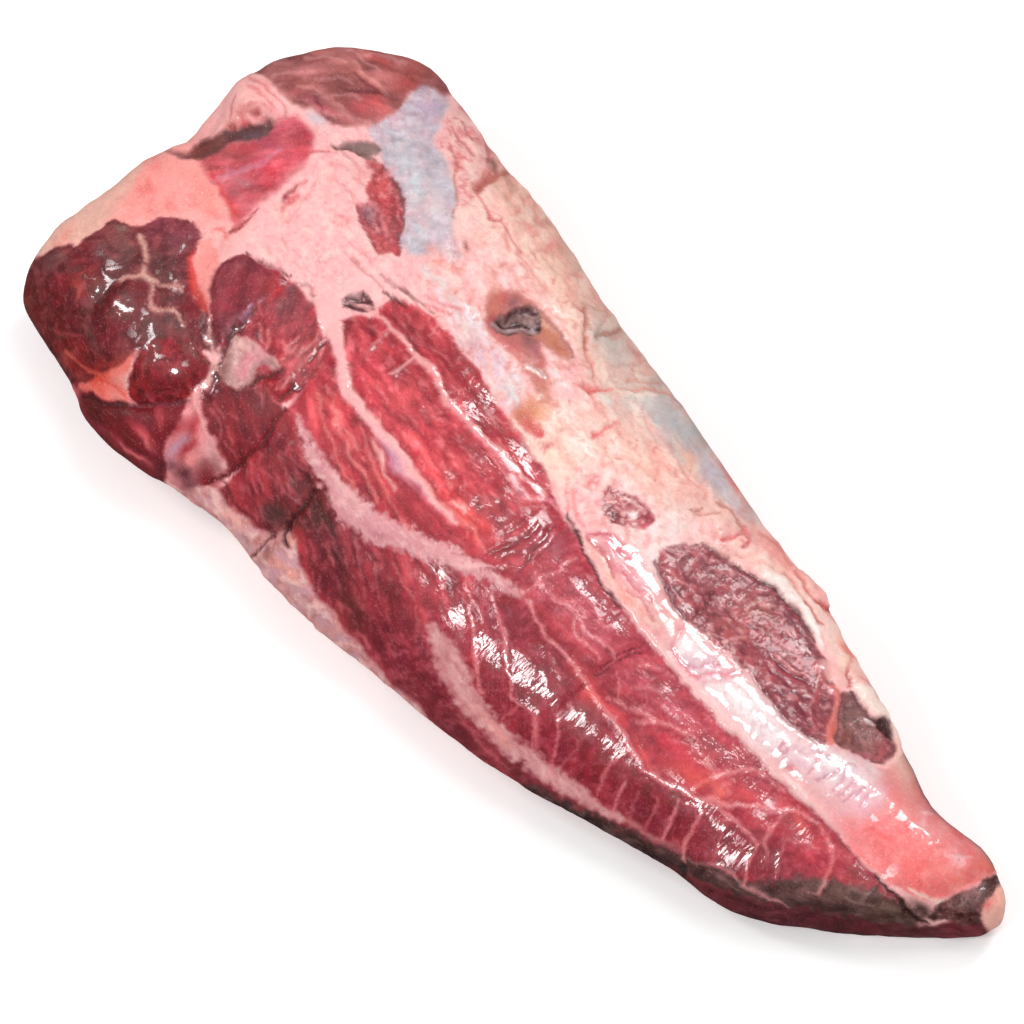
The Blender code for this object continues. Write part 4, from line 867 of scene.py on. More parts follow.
def lay_main_muscle(d):
    """The long muscle, its pale seams, and the fascia band across it."""
    u, v = d.u, d.v
    main = d.area(((74, 3), (77, 8), (79.6, 11.6), (82, 13), (81, 16), (82, 19), (84.6, 22), (92, 23.6),
        (100, 23.6), (107, 22.8), (114, 21.4), (120, 19.8), (128, 17.4), (138, 15.4), (146, 13),
        (150.6, 10.8), (156, 9.4), (162, 7.4), (168, 4.6), (174, 2.8), (184, 0.8), (196, -0.8),
        (210, -2.6), (224, -3.8), (240, -4.2), (256, -4), (270, -4), (284, -5), (292, -5), (300, -6),
        (306, -8), (330, -8), (330, -90), (70, -90), (80, -58), (83.4, -50), (84, -40), (82.6, -28),
        (81, -16), (79.6, -4)), MUSCLE, soft=0.5, fat=0.04, wet=0.8)
    d.dabs((
        # between the seam and the first pale line
        ((92, 20), (9, 3), 0, (196, 70, 74), 0.7), ((108, 18), (10, 3.4), -8, (170, 54, 62), 0.7),
        ((128, 15), (10, 2), -12, (152, 44, 46), 0.7), ((142, 12.6), (7, 1.8), -14, (160, 58, 66), 0.7),
        ((92, 9), (8, 3.4), 0, (180, 58, 64), 0.8), ((84, 9), (4, 3), 30, (150, 40, 48), 0.7),
        ((106, 6), (8, 4), -6, (206, 76, 80), 0.7), ((122, 5), (9, 3), -4, (176, 60, 66), 0.7),
        ((104, -1), (12, 3), -8, (222, 92, 96), 0.85), ((118, 1), (10, 2.4), -4, (214, 88, 90), 0.7),
        ((138, 2), (6, 4), 0, (172, 62, 68), 0.7), ((136, -4), (4, 2.6), 0, (168, 56, 62), 0.6),
        ((126, -7.0), (12, 2.4), -6, (238, 92, 92), 0.8),
        ((139, -9.4), (8, 3.6), -12, (246, 92, 84), 0.95),
        ((118, -5.6), (8, 1.8), -8, (244, 104, 102), 0.8), ((147, -11), (4, 2.4), 0, (240, 104, 102), 0.7),
        ((144, -5), (4, 1.6), 20, (226, 110, 114), 0.6),
        # between the two pale bands
        ((92, -13), (7, 2.6), -38, (206, 76, 78), 0.8), ((86, -14), (4, 3), -45, (220, 100, 98), 0.7),
        ((88, -18.4), (6, 1.8), -40, (232, 96, 94), 0.7), ((102, -17), (9, 2.6), -24, (216, 92, 94), 0.8),
        ((114, -19.6), (9, 1.8), -22, (232, 100, 94), 0.7),
        ((104, -22), (8, 1.4), -20, (196, 70, 76), 0.7), ((126, -18), (9, 2.6), -12, (170, 62, 68), 0.8),
        ((118, -22), (8, 1.4), -8, (168, 52, 60), 0.7),
        ((138, -17), (6, 2.2), -8, (176, 70, 78), 0.7), ((150, -13), (5, 2.4), 30, (196, 66, 72), 0.6),
        ((156, -9), (4, 4), 0, (206, 84, 92), 0.6),
        # crinkled crease and the pink-purple zone behind it
        ((162, 2), (5, 4), 0, (190, 96, 112), 0.7), ((176, -3), (12, 3), 0, (188, 96, 108), 0.7),
        ((170, -11), (8, 3), 0, (178, 82, 92), 0.8), ((186, -9), (9, 4), 0, (198, 104, 114), 0.85),
        ((180, -14.4), (9, 1.8), 0, (196, 84, 88), 0.6), ((202, -12), (7, 3), 10, (196, 96, 108), 0.75),
        ((204, -5), (7, 2.6), 0, (190, 84, 96), 0.7), ((216, -9), (6, 3.4), 0, (204, 106, 120), 0.8),
        ((226, -7), (8, 2.6), 0, (192, 82, 94), 0.7), ((246, -7), (7, 3), 0, (198, 88, 98), 0.6),
        # bright orange-red spots
        ((191, -20), (7, 2), -4, (236, 96, 92), 0.8), ((195, -22.6), (3, 1.8), -20, (248, 98, 92), 0.85),
        ((206, -21.6), (6, 1.6), 4, (232, 84, 86), 0.8), ((222, -18.6), (10, 4), 4, (210, 66, 78), 0.85),
        ((235, -18.4), (5.4, 3.4), 20, (240, 96, 88), 0.85),
        ((224, -22.6), (9, 1.6), -3, (224, 84, 90), 0.7), ((246, -13), (6, 2), 16, (214, 74, 86), 0.7),
        ((264, -8.8), (6, 1.7), -4, (240, 84, 80), 0.7),
        ((230, -13.4), (5, 1.2), 12, (230, 92, 92), 0.6), ((256, -16), (6, 1.8), 14, (206, 60, 78), 0.6),
        # right end
        ((262, -14), (8, 4), 0, (186, 66, 78), 0.7), ((272, -10), (4, 3.4), 0, (204, 72, 84), 0.7),
        ((282, -8), (7, 2.4), 0, (160, 70, 74), 0.7), ((268, -20), (6, 3.4), 30, (176, 78, 88), 0.6),
        # below the fascia band and along the near shoulder
        ((130, -36), (16, 5), -20, (140, 42, 52), 0.8), ((120, -34), (8, 3), -14, (122, 42, 52), 0.6),
        ((150, -28), (8, 4), -20, (176, 52, 62), 0.8), ((150, -35), (9, 4), -20, (150, 44, 54), 0.7),
        ((166, -24), (9, 4), -20, (178, 66, 76), 0.8), ((163, -33), (6, 3), -40, (190, 60, 66), 0.6),
        ((182, -24), (9, 3), 0, (168, 62, 72), 0.8), ((184, -38), (12, 4), 0, (166, 40, 56), 0.8),
        ((202, -38), (9, 4), 0, (166, 44, 60), 0.75), ((215, -39), (7, 4), 0, (170, 38, 52), 0.75),
        ((230, -35), (9, 4), 16, (150, 42, 56), 0.75), ((246, -28), (8, 4), 26, (150, 44, 58), 0.7),
        # dark near side: dried meat, darkened partly as painted shade of the side that turns from the
        # light
        ((92, -32), (10, 6), -30, (132, 50, 54), 0.85), ((90, -44), (8, 5), -20, (142, 40, 50), 0.8),
        ((98, -46), (5, 3), 0, (98, 50, 50), 0.8), ((101, -34), (5, 4), -30, (96, 42, 42), 0.85),
        ((110, -37), (9, 3.4), -32, (78, 44, 42), 0.9), ((105, -42), (5, 3), 0, (84, 44, 42), 0.85),
        ((120, -42), (9, 3.4), -32, (96, 42, 46), 0.9), ((128, -47), (9, 3), -28, (98, 42, 42), 0.85),
        ((134, -50), (8, 2.4), -24, (92, 46, 40), 0.85), ((120, -48), (7, 2), -34, (100, 36, 44), 0.8),
        ((146, -47), (12, 5), -16, (116, 36, 46), 0.9), ((146, -53), (10, 3), -10, (112, 30, 40), 0.9),
        ((162, -51), (12, 4), -6, (118, 32, 42), 0.9), ((176, -54), (10, 2), -2, (132, 44, 50), 0.85),
        ((158, -46), (6, 2), -20, (132, 60, 66), 0.6), ((198, -51), (10, 1.8), 8, (112, 38, 44), 0.8),
        ((188, -52.4), (8, 1), 4, (190, 70, 76), 0.5), ((178, -52), (8, 0.8), 2, (196, 84, 88), 0.45),
    ), within=main)
    # more of the dark near side, partly painted shade
    d.dabs((((90, -28), (7, 3.4), -24, (136, 52, 54), 0.8), ((92, -35), (8, 4), 0, (150, 56, 60), 0.7),
        ((99, -32), (4, 3), 0, (116, 46, 48), 0.8), ((101, -44), (5, 4), 0, (88, 54, 48), 0.85),
        ((96, -41), (5, 3), 0, (142, 52, 56), 0.6), ((108, -37), (6, 3), -24, (92, 62, 52), 0.8),
        ((115, -41), (7, 2.4), -24, (88, 54, 50), 0.7), ((104, -39), (2, 5), 0, (100, 38, 38), 0.7),
        ((90, -46), (6, 3), 0, (142, 50, 56), 0.6), ((118, -46), (8, 3), -20, (102, 38, 48), 0.7),
        ((104, -34), (4, 2), -20, (108, 58, 52), 0.6)), within=main)
    # blotches and pale shreds along the fibres
    upper = main * smooth_step(152.0, 140.0, u) * smooth_step(-20.0, -12.0,
        v + 0.3 * (u - 90.0) * (u < 110))
    lower = main * smooth_step(-18.0, -26.0, v) * smooth_step(150.0, 135.0, u)
    right = main * smooth_step(138.0, 152.0, u)
    d.mottle(upper, (236, 106, 106), 0.5, 2.5, 120, cover=0.36, turn=-9, stretch=2.6)
    d.mottle(upper, (146, 40, 50), 0.5, 2.5, 121, cover=0.36, turn=-9, stretch=2.6)
    d.mottle(upper, (242, 158, 154), 0.5, 1.5, 122, cover=0.17, turn=-14, stretch=3.4, height=0.08)
    d.mottle(lower, (176, 60, 68), 0.45, 2.6, 123, cover=0.34, turn=-34, stretch=2.6)
    d.mottle(lower, (92, 28, 36), 0.45, 2.6, 124, cover=0.36, turn=-34, stretch=2.6)
    d.mottle(lower, (214, 124, 126), 0.4, 1.4, 125, cover=0.14, turn=-34, stretch=3.0, height=0.08)
    d.mottle(right, (216, 98, 108), 0.45, 3.2, 126, cover=0.34, turn=20, stretch=1.5)
    d.mottle(right, (146, 44, 60), 0.5, 3.4, 127, cover=0.36, turn=20, stretch=1.5)
    d.mottle(right, (226, 136, 142), 0.4, 1.5, 128, cover=0.14, turn=70, stretch=2.0, height=0.06)
    return main


def lay_main_lines(d):
    """Pale seams, fascia and veins over the main muscle, then its cuts and creases."""
    # fascia band
    band = d.area(((82, -20.4), (86, -20.8), (92, -22.6), (98, -24.4), (105, -25.6), (113, -25.8),
        (121, -24.8), (129, -22.8), (138, -19.8), (147, -16.8), (155, -15), (163.4, -14.6), (163, -17),
        (156, -18.4), (149, -20.6), (141, -24.2), (133, -28), (125, -31.6), (118, -33.8), (111, -33.2),
        (105, -31), (99, -29), (93, -26.6), (87, -23.6)), (226, 162, 166), soft=1.1, share=0.92, fat=0.8,
        wet=0.45, ragged=1.5, grain=1.7, seed=4, height=0.45, rim=2.5)
    d.mottle(band, (246, 196, 192), 0.6, 2.2, 130, cover=0.36, turn=10, stretch=2.2)
    d.mottle(band, (204, 130, 138), 0.5, 2.0, 131, cover=0.32, turn=10, stretch=2.0)
    d.dab((110, -27), (8, 2), -5, (246, 196, 190), 0.5, within=band)
    d.dab((122, -30), (9, 2), 12, (206, 128, 140), 0.5, within=band)
    d.dab((146, -19), (8, 1.4), 20, (240, 184, 182), 0.45, within=band)
    # first pale line, with a lilac sheath below it
    d.area(((68, 4.6), (71, 8), (75, 6.6), (79, 3.8), (83, 0.8), (87, -3.2), (92, -5.4), (98, -6.4),
        (104, -6.8), (110, -7.6), (116, -8.8), (122, -10), (130, -11.6), (138, -12.2), (138, -13.6),
        (130, -13.4), (122, -13), (116, -13.6), (110, -11.2), (104, -9.8), (98, -9.6), (92, -9),
        (87, -7.6), (83, -4), (79, -0.6), (74, 0.8), (70, 2.4)), (252, 188, 186), soft=0.6, share=0.94,
        fat=0.9, wet=0.5, height=0.6, rim=2)
    d.dab((112.5, -12), (5.5, 1.5), -14, LILAC, 0.8)
    d.dab((122, -13.8), (7, 0.9), 4, (206, 128, 150), 0.5)
    d.stroke(((104, -11.4), (109, -13.4), (114, -16), (119, -18)), 0.7, (248, 176, 168), share=0.8,
        fat=0.8, height=0.35, seed=81)
    d.stroke(((90, -13), (96, -16.2), (103, -18.8), (110, -21), (118, -23.4)), 0.5, (246, 150, 140),
        share=0.6, fat=0.5, height=0.25, broken=0.3, seed=82)
    d.stroke(((84, -12), (90, -16.5), (97, -20.4), (104, -23.4), (112, -25)), 0.45, (246, 140, 130),
        share=0.55, fat=0.5, broken=0.35, seed=83)
    d.stroke(((100, -11), (106, -14.6), (112, -18.4), (120, -20.6), (128, -23)), 0.4, (250, 150, 140),
        share=0.5, fat=0.5, broken=0.4, seed=84)
    d.stroke(((86, -9.6), (92, -13), (99, -15.6), (104, -16.4)), 0.45, (240, 150, 142), share=0.55,
        fat=0.5, broken=0.4, seed=85)
    d.stroke(((132, -9.4), (135, -8.6), (137, -9.2)), 0.6, (252, 206, 196), share=0.8, fat=0.8)
    d.stroke(((120, -10.6), (130, -11.4), (140, -11), (148, -12.6)), 0.5, (252, 150, 142), share=0.6,
        fat=0.5, seed=86)
    # second pale line
    d.stroke(((76, 12.6), (80, 14.2), (86, 14.2), (94, 13.6), (101, 13.4), (108, 11.6), (114, 10),
        (122, 9.4), (132, 9.4), (142, 8.6), (150, 8.8)), 1.05, (250, 176, 174), share=0.9, fat=0.9,
        height=0.6, taper=0.5, seed=87)
    d.stroke(((112, 10.4), (120, 9), (130, 8.6), (140, 8)), 0.9, (240, 150, 156), share=0.6, fat=0.7,
        seed=88)
    d.stroke(((84.6, 17.6), (92, 16), (98, 15.4)), 0.35, (128, 40, 50), share=0.6, height=-0.4, seed=89)
    d.stroke(((104, 15.6), (114, 14.6), (122, 15.4), (130, 15.6), (136, 15)), 0.35, (206, 92, 98),
        share=0.5, seed=90)
    d.stroke(((136, 8.4), (142, 6), (147, 5.4), (150, 8.4), (156, 9.2), (162, 8)), 0.6, (244, 168, 170),
        share=0.6, fat=0.7, broken=0.3, seed=91)
    # two short pale ridges across the muscle at u 87 and 98: raised ridges whose pale colour is painted
    # glint
    d.stroke(((87.6, 12.6), (87.4, 9), (87, 5.6)), 0.5, (226, 132, 136), share=0.7, fat=0.6, height=0.5,
        broken=0.4, seed=92)
    d.stroke(((98.2, 12.6), (97.4, 9), (96.6, 4.8)), 0.6, (240, 170, 170), share=0.8, fat=0.8, height=0.7,
        seed=93)
    d.stroke(((97.6, 19.6), (97, 21.5), (96.4, 23)), 0.5, (236, 150, 150), share=0.6, fat=0.6, seed=94)
    # soft pink streak along the near shoulder
    streak = d.area(((150, -38), (154, -36.6), (160, -37.4), (166, -39.8), (172, -42.6), (180, -44.6),
        (190, -44.6), (200, -43.6), (210, -42), (218, -42), (226, -40.4), (226, -42.6), (214, -45.6),
        (206, -47.4), (198, -49), (186, -49.8), (176, -49.4), (168, -48), (160, -45.4), (154, -42)),
        (216, 152, 152), soft=1.3, share=0.88, fat=0.6, wet=0.4, ragged=1.5, grain=2.0, seed=6)
    d.dabs((((156, -39.4), (5, 2.2), -20, (206, 144, 144), 0.6),
        ((183, -47), (8, 1.5), -2, (244, 158, 152), 0.75), ((168, -44), (6, 2), -16, (226, 170, 166), 0.6),
        ((204, -46), (7, 1.4), 8, (226, 160, 158), 0.6), ((166, -47), (5, 1), -10, (190, 112, 118), 0.6)),
        within=streak)
    d.mottle(streak, (240, 188, 182), 0.5, 2.2, 132, cover=0.34, turn=-12, stretch=2.4)
    d.mottle(streak, (190, 108, 114), 0.5, 2.0, 133, cover=0.3, turn=-12, stretch=2.4)
    # pale seams behind the crease
    for k, (points, width,
            share) in enumerate(
            ((((162, -15), (168, -16), (172, -17), (176, -18.5), (182, -18.8), (188, -19.6), (193, -20.6),
            (200, -22), (205, -23.2), (210, -23.6), (216, -25.6), (220, -27), (224, -26.6), (228, -25),
            (233, -24), (238, -22), (242, -20.6), (246, -19.8), (252, -20.2), (257, -20.6)), 0.6, 0.8),
            (((168, 2.6), (166.4, -2), (165.6, -6), (163, -8.4)), 0.45, 0.5),
            (((163, -9), (168, -9.6), (173, -9), (178, -8.6), (184, -10), (190, -9.4), (194, -10)), 0.6,
            0.6), (((176, -9), (180, -12), (186, -13), (192, -13.4)), 0.45, 0.5),
            (((163, -15.6), (164.6, -12), (164.4, -9)), 0.5, 0.55),
            (((170, -2), (174, -3.4), (180, -4), (186, -6)), 0.4, 0.45),
            (((197, -13), (201, -16.4), (203, -18.4)), 0.4, 0.45),
            (((200, -7), (204, -4.4), (209, -3.4)), 0.4, 0.5),
            (((203, -13), (207, -10), (211, -9)), 0.35, 0.4),
            (((200, -19.8), (204, -18), (208, -17.6), (211, -15.6), (214, -14.8)), 0.5, 0.65),
            (((210, -19), (212.6, -16), (216, -14.4), (220, -12), (226, -11.4)), 0.5, 0.6),
            (((233.6, -22.4), (235.4, -17.6), (237, -13.6), (239.6, -10), (242, -6.6)), 0.7, 0.7),
            (((239, -20.6), (244, -18), (248, -15.4), (251, -12.6), (255, -10), (258, -7.6), (263, -5.6)),
            0.7, 0.8), (((257, -8), (256.4, -12), (256.8, -16), (258.6, -19.6), (260.6, -21)), 0.55, 0.7),
            (((220, -16.4), (226, -14), (232, -13.4)), 0.3, 0.35),
            (((242, -6.6), (247, -5.6), (253, -5.2)), 0.4, 0.5),
            (((263, -5.6), (268, -5.6), (274, -8.6), (276, -12), (277.6, -17), (279, -20)), 0.55, 0.6),
            (((262, -14), (266, -12.6), (270, -9.6)), 0.35, 0.4),
            (((180, -22), (184, -24), (188, -23.6)), 0.3, 0.35))):
        d.stroke(points, width, (242, 150, 152), share=share, fat=0.7, height=0.25, taper=0.3, broken=0.1,
            seed=100 + k)
    # veins that slant down the near shoulder
    for k, (points, width,
            share) in enumerate(
            ((((157, -20.4), (161, -22.6), (166, -24.6), (170, -27.6), (174, -31.2), (178, -35),
            (181, -37.6)), 0.5, 0.8),
            (((158, -29.6), (162, -32.6), (166, -36.4), (170, -39.6), (174, -42)), 0.6, 0.8),
            (((180, -37.4), (185, -36.6), (189, -37.4), (193, -41.6), (196, -44)), 0.5, 0.7),
            (((184, -37), (183.6, -41), (182.6, -44)), 0.3, 0.5),
            (((152, -26), (156, -28), (160, -31.6)), 0.35, 0.5),
            (((165, -26), (170, -27), (177, -26.6)), 0.3, 0.4),
            (((194, -32.6), (198, -37.6), (201, -42), (202.4, -47)), 0.4, 0.65),
            (((188, -35.4), (191.6, -39), (196, -42.6)), 0.35, 0.5),
            (((203, -30), (203.6, -36), (203.6, -42)), 0.3, 0.4),
            (((213.6, -25.6), (213.4, -31), (214.2, -37), (217, -43)), 0.45, 0.65),
            (((219, -33), (220.6, -37.6), (223.4, -42)), 0.45, 0.7),
            (((224, -33), (225.6, -37), (227, -40)), 0.3, 0.4),
            (((228.6, -30), (231, -35), (233, -39)), 0.35, 0.45),
            (((234, -26), (235, -32), (237, -37.4)), 0.5, 0.8),
            (((240, -23.4), (241, -29.6), (243, -35), (246, -38)), 0.5, 0.8),
            (((247, -22), (249, -27), (251, -31)), 0.35, 0.4),
            (((250, -33.4), (254, -32), (259, -31.2)), 0.4, 0.6),
            (((257, -20.6), (258.6, -26), (262, -30.8)), 0.45, 0.75),
            (((261, -15), (264, -19), (266.6, -24)), 0.35, 0.45),
            (((262, -30.8), (264.4, -31), (268, -29.6), (272, -28.4)), 0.35, 0.5),
            (((134, -25.4), (139, -27), (146, -28)), 0.35, 0.4),
            (((132, -33), (138, -35), (144, -36.4)), 0.3, 0.4),
            (((128, -36), (133, -39), (137, -43)), 0.25, 0.35),
            (((145, -37), (148, -40), (151, -44)), 0.25, 0.35),
            (((112, -39), (117, -40), (122, -42)), 0.25, 0.3),
            (((120, -35), (125, -38), (129, -42)), 0.25, 0.3),
            (((150, -24), (155, -25), (160, -27.6)), 0.35, 0.45))):
        d.stroke(points, width, (238, 140, 144), share=share, fat=0.6, height=0.22, taper=0.5, broken=0.12,
            seed=120 + k)
    # the bright red and orange parts between them
    d.dabs((((196.6, -22), (3.6, 1.4), -10, (246, 100, 96), 0.8),
        ((204, -21.6), (5, 0.9), -3, (232, 76, 84), 0.8), ((218, -24.4), (5, 1), -18, (236, 90, 92), 0.8),
        ((231, -19), (7, 3), 12, (240, 92, 88), 0.85), ((226, -17), (6, 2), 8, (222, 70, 84), 0.7),
        ((239.6, -17.4), (2, 2), 0, (252, 120, 110), 0.8),
        ((246, -13), (5, 1.4), 20, (238, 96, 100), 0.75), ((262, -8.6), (4, 1), -8, (244, 100, 98), 0.7),
        ((252, -17), (5, 1.4), 16, (206, 60, 76), 0.6)))
    # fine streaks at the near edge of the shoulder
    d.stroke(((170, -50.6), (178, -52), (186, -52.6), (194, -52)), 0.35, (196, 96, 98), share=0.5,
        seed=150, broken=0.4)
    d.stroke(((176, -49.6), (186, -51), (196, -50.6), (204, -49)), 0.35, (150, 50, 56), share=0.6,
        seed=151)
    # cream-pink fat along the near edge
    near_fat = d.area(((79, -52), (83, -51.4), (88, -51.8), (94, -52), (100, -51.4), (102.4, -49),
        (104, -46), (107, -44.6), (109.4, -46), (111, -49.4), (116, -51.6), (124, -53.4), (133, -54.6),
        (142, -56), (150, -57), (158, -56.6), (170, -57.4), (176, -58), (172, -70), (80, -70), (76, -60)),
        (214, 150, 148), soft=0.8, share=0.95, fat=0.9, wet=0.4, height=0.6, rim=3)
    d.dabs((((90, -54), (7, 1.6), 0, (246, 178, 168), 0.8), ((97, -56), (3, 2), 0, (208, 160, 154), 0.7),
        ((112, -54), (4, 2), 0, (240, 160, 142), 0.8), ((106, -50), (2.6, 2.6), 0, (206, 140, 136), 0.8),
        ((112, -49.6), (3, 1.6), -30, (214, 170, 180), 0.75),
        ((108, -46.4), (1.4, 1.6), 0, (240, 140, 120), 0.7),
        ((124, -57), (9, 1.6), -3, (190, 146, 146), 0.7), ((126, -54.6), (9, 1), -6, (236, 160, 160), 0.7),
        ((142, -57.6), (9, 1.4), -3, (206, 134, 134), 0.7),
        ((155, -57.4), (7, 0.8), 2, (214, 120, 124), 0.7), ((105.4, -54), (1.4, 3), 0, (110, 66, 60), 0.6),
        ((118, -51), (6, 0.9), -18, (180, 150, 176), 0.6)), within=near_fat)
    d.mottle(near_fat, (196, 152, 172), 0.5, 2.8, 182, cover=0.3, turn=-10, stretch=1.6, height=-0.35)
    d.mottle(near_fat, (252, 214, 204), 0.5, 2.4, 183, cover=0.3, turn=-10, stretch=1.6, height=0.35)
    d.mottle(near_fat, (168, 96, 96), 0.5, 1.9, 184, cover=0.18, turn=-10, stretch=1.6, height=-0.4)
    # cuts and creases
    d.stroke(((81.6, -22), (82.2, -26), (82.6, -31), (83.0, -36), (83.4, -41), (82.6, -45.4),
        (80.8, -48.6), (79.2, -52)), 0.55, (92, 8, 18), share=0.85, height=-1.0, taper=0.3, seed=160)
    d.stroke(((80, -6), (80.4, -10), (79.6, -15), (80, -20)), 0.35, (128, 34, 44), share=0.6, height=-0.42,
        seed=161)
    d.stroke(((102.8, -33), (103, -38), (103.4, -44), (105, -48.6), (108, -48.8)), 0.5, (62, 22, 24),
        share=0.85, height=-0.9, seed=162)
    d.stroke(((102.8, -48.4), (102.6, -52), (103, -55), (102.4, -57.6)), 0.4, (92, 44, 44), share=0.8,
        height=-0.7, seed=168)
    for k, points in enumerate((((84.6, -39.6), (89, -39.4), (93, -38.4), (97, -38.8), (101, -37.6)),
            ((93, -38.6), (95, -40.4), (98, -41.6)), ((85, -42), (88, -41), (91, -41.6)),
            ((86.6, -43.4), (89.6, -43)), ((95, -37), (99, -36.4)), ((93, -31), (96, -30.6), (99, -29.6)),
            ((97, -45), (100, -45.8), (102, -44.6)), ((98, -48), (101, -47)))):
        d.stroke(points, 0.25, (198, 100, 108), share=0.5, fat=0.3, broken=0.2, seed=400 + k)
    d.dab((99.4, -45.6), (3.4, 3), -20, (86, 56, 54), 0.8)
    d.dab((107.4, -44.4), (2.2, 1.6), -20, (170, 52, 50), 0.75)
    d.stroke(((82.6, -48.6), (90, -50.6), (98, -50.8), (103, -49.4)), 0.35, (96, 36, 40), share=0.7,
        height=-0.48, seed=163)
    d.stroke(((197.4, -1.8), (195.8, -5.6), (194.4, -9.6), (193.6, -14), (193, -18.4)), 0.16, (96, 22, 32),
        share=0.8, height=-0.45, taper=0.6, soft=0.35, seed=164)
    d.stroke(((192.8, -20.6), (192.6, -24), (192.5, -29.6)), 0.5, (126, 14, 28), share=0.6, height=-0.3,
        taper=0.6, seed=184)
    d.stroke(((199.2, -1.8), (197.6, -4.6), (196, -9.4), (194.8, -14), (193.8, -17.4)), 0.16, (96, 22, 32),
        share=0.8, height=-0.45, taper=0.6, soft=0.35, seed=165)
    d.stroke(((157.4, 6), (157.6, 2), (157.4, -2), (157.8, -5), (159.4, -7.6), (159.4, -11)), 0.3,
        (112, 34, 46), share=0.7, height=-0.6, seed=166)
    d.stroke(((158.4, 4), (158.4, 0), (158.6, -4), (160, -7)), 0.4, (236, 168, 172), share=0.5, height=0.5,
        seed=167)
    for k, points in enumerate((((154, 3), (154.6, 0), (154, -4)),
            ((155.6, -6.6), (154, -9.4), (152.4, -12)), ((156.6, -12), (154, -15), (150.6, -17.4)),
            ((153, -6), (151, -9), (149.6, -13)), ((150.6, 2), (150.6, -2), (149, -5.4)))):
        d.stroke(points, 0.3, (140, 44, 54), share=0.65, height=-0.48, seed=170 + k)
    d.stroke(((128, -7), (132, -8)), 0.3, (168, 60, 64), share=0.5, height=-0.3, seed=176)
    d.stroke(((115, -15.4), (122, -14.6), (129, -14.8), (136, -15.6)), 0.3, (150, 44, 60), share=0.7,
        height=-0.3, seed=177)


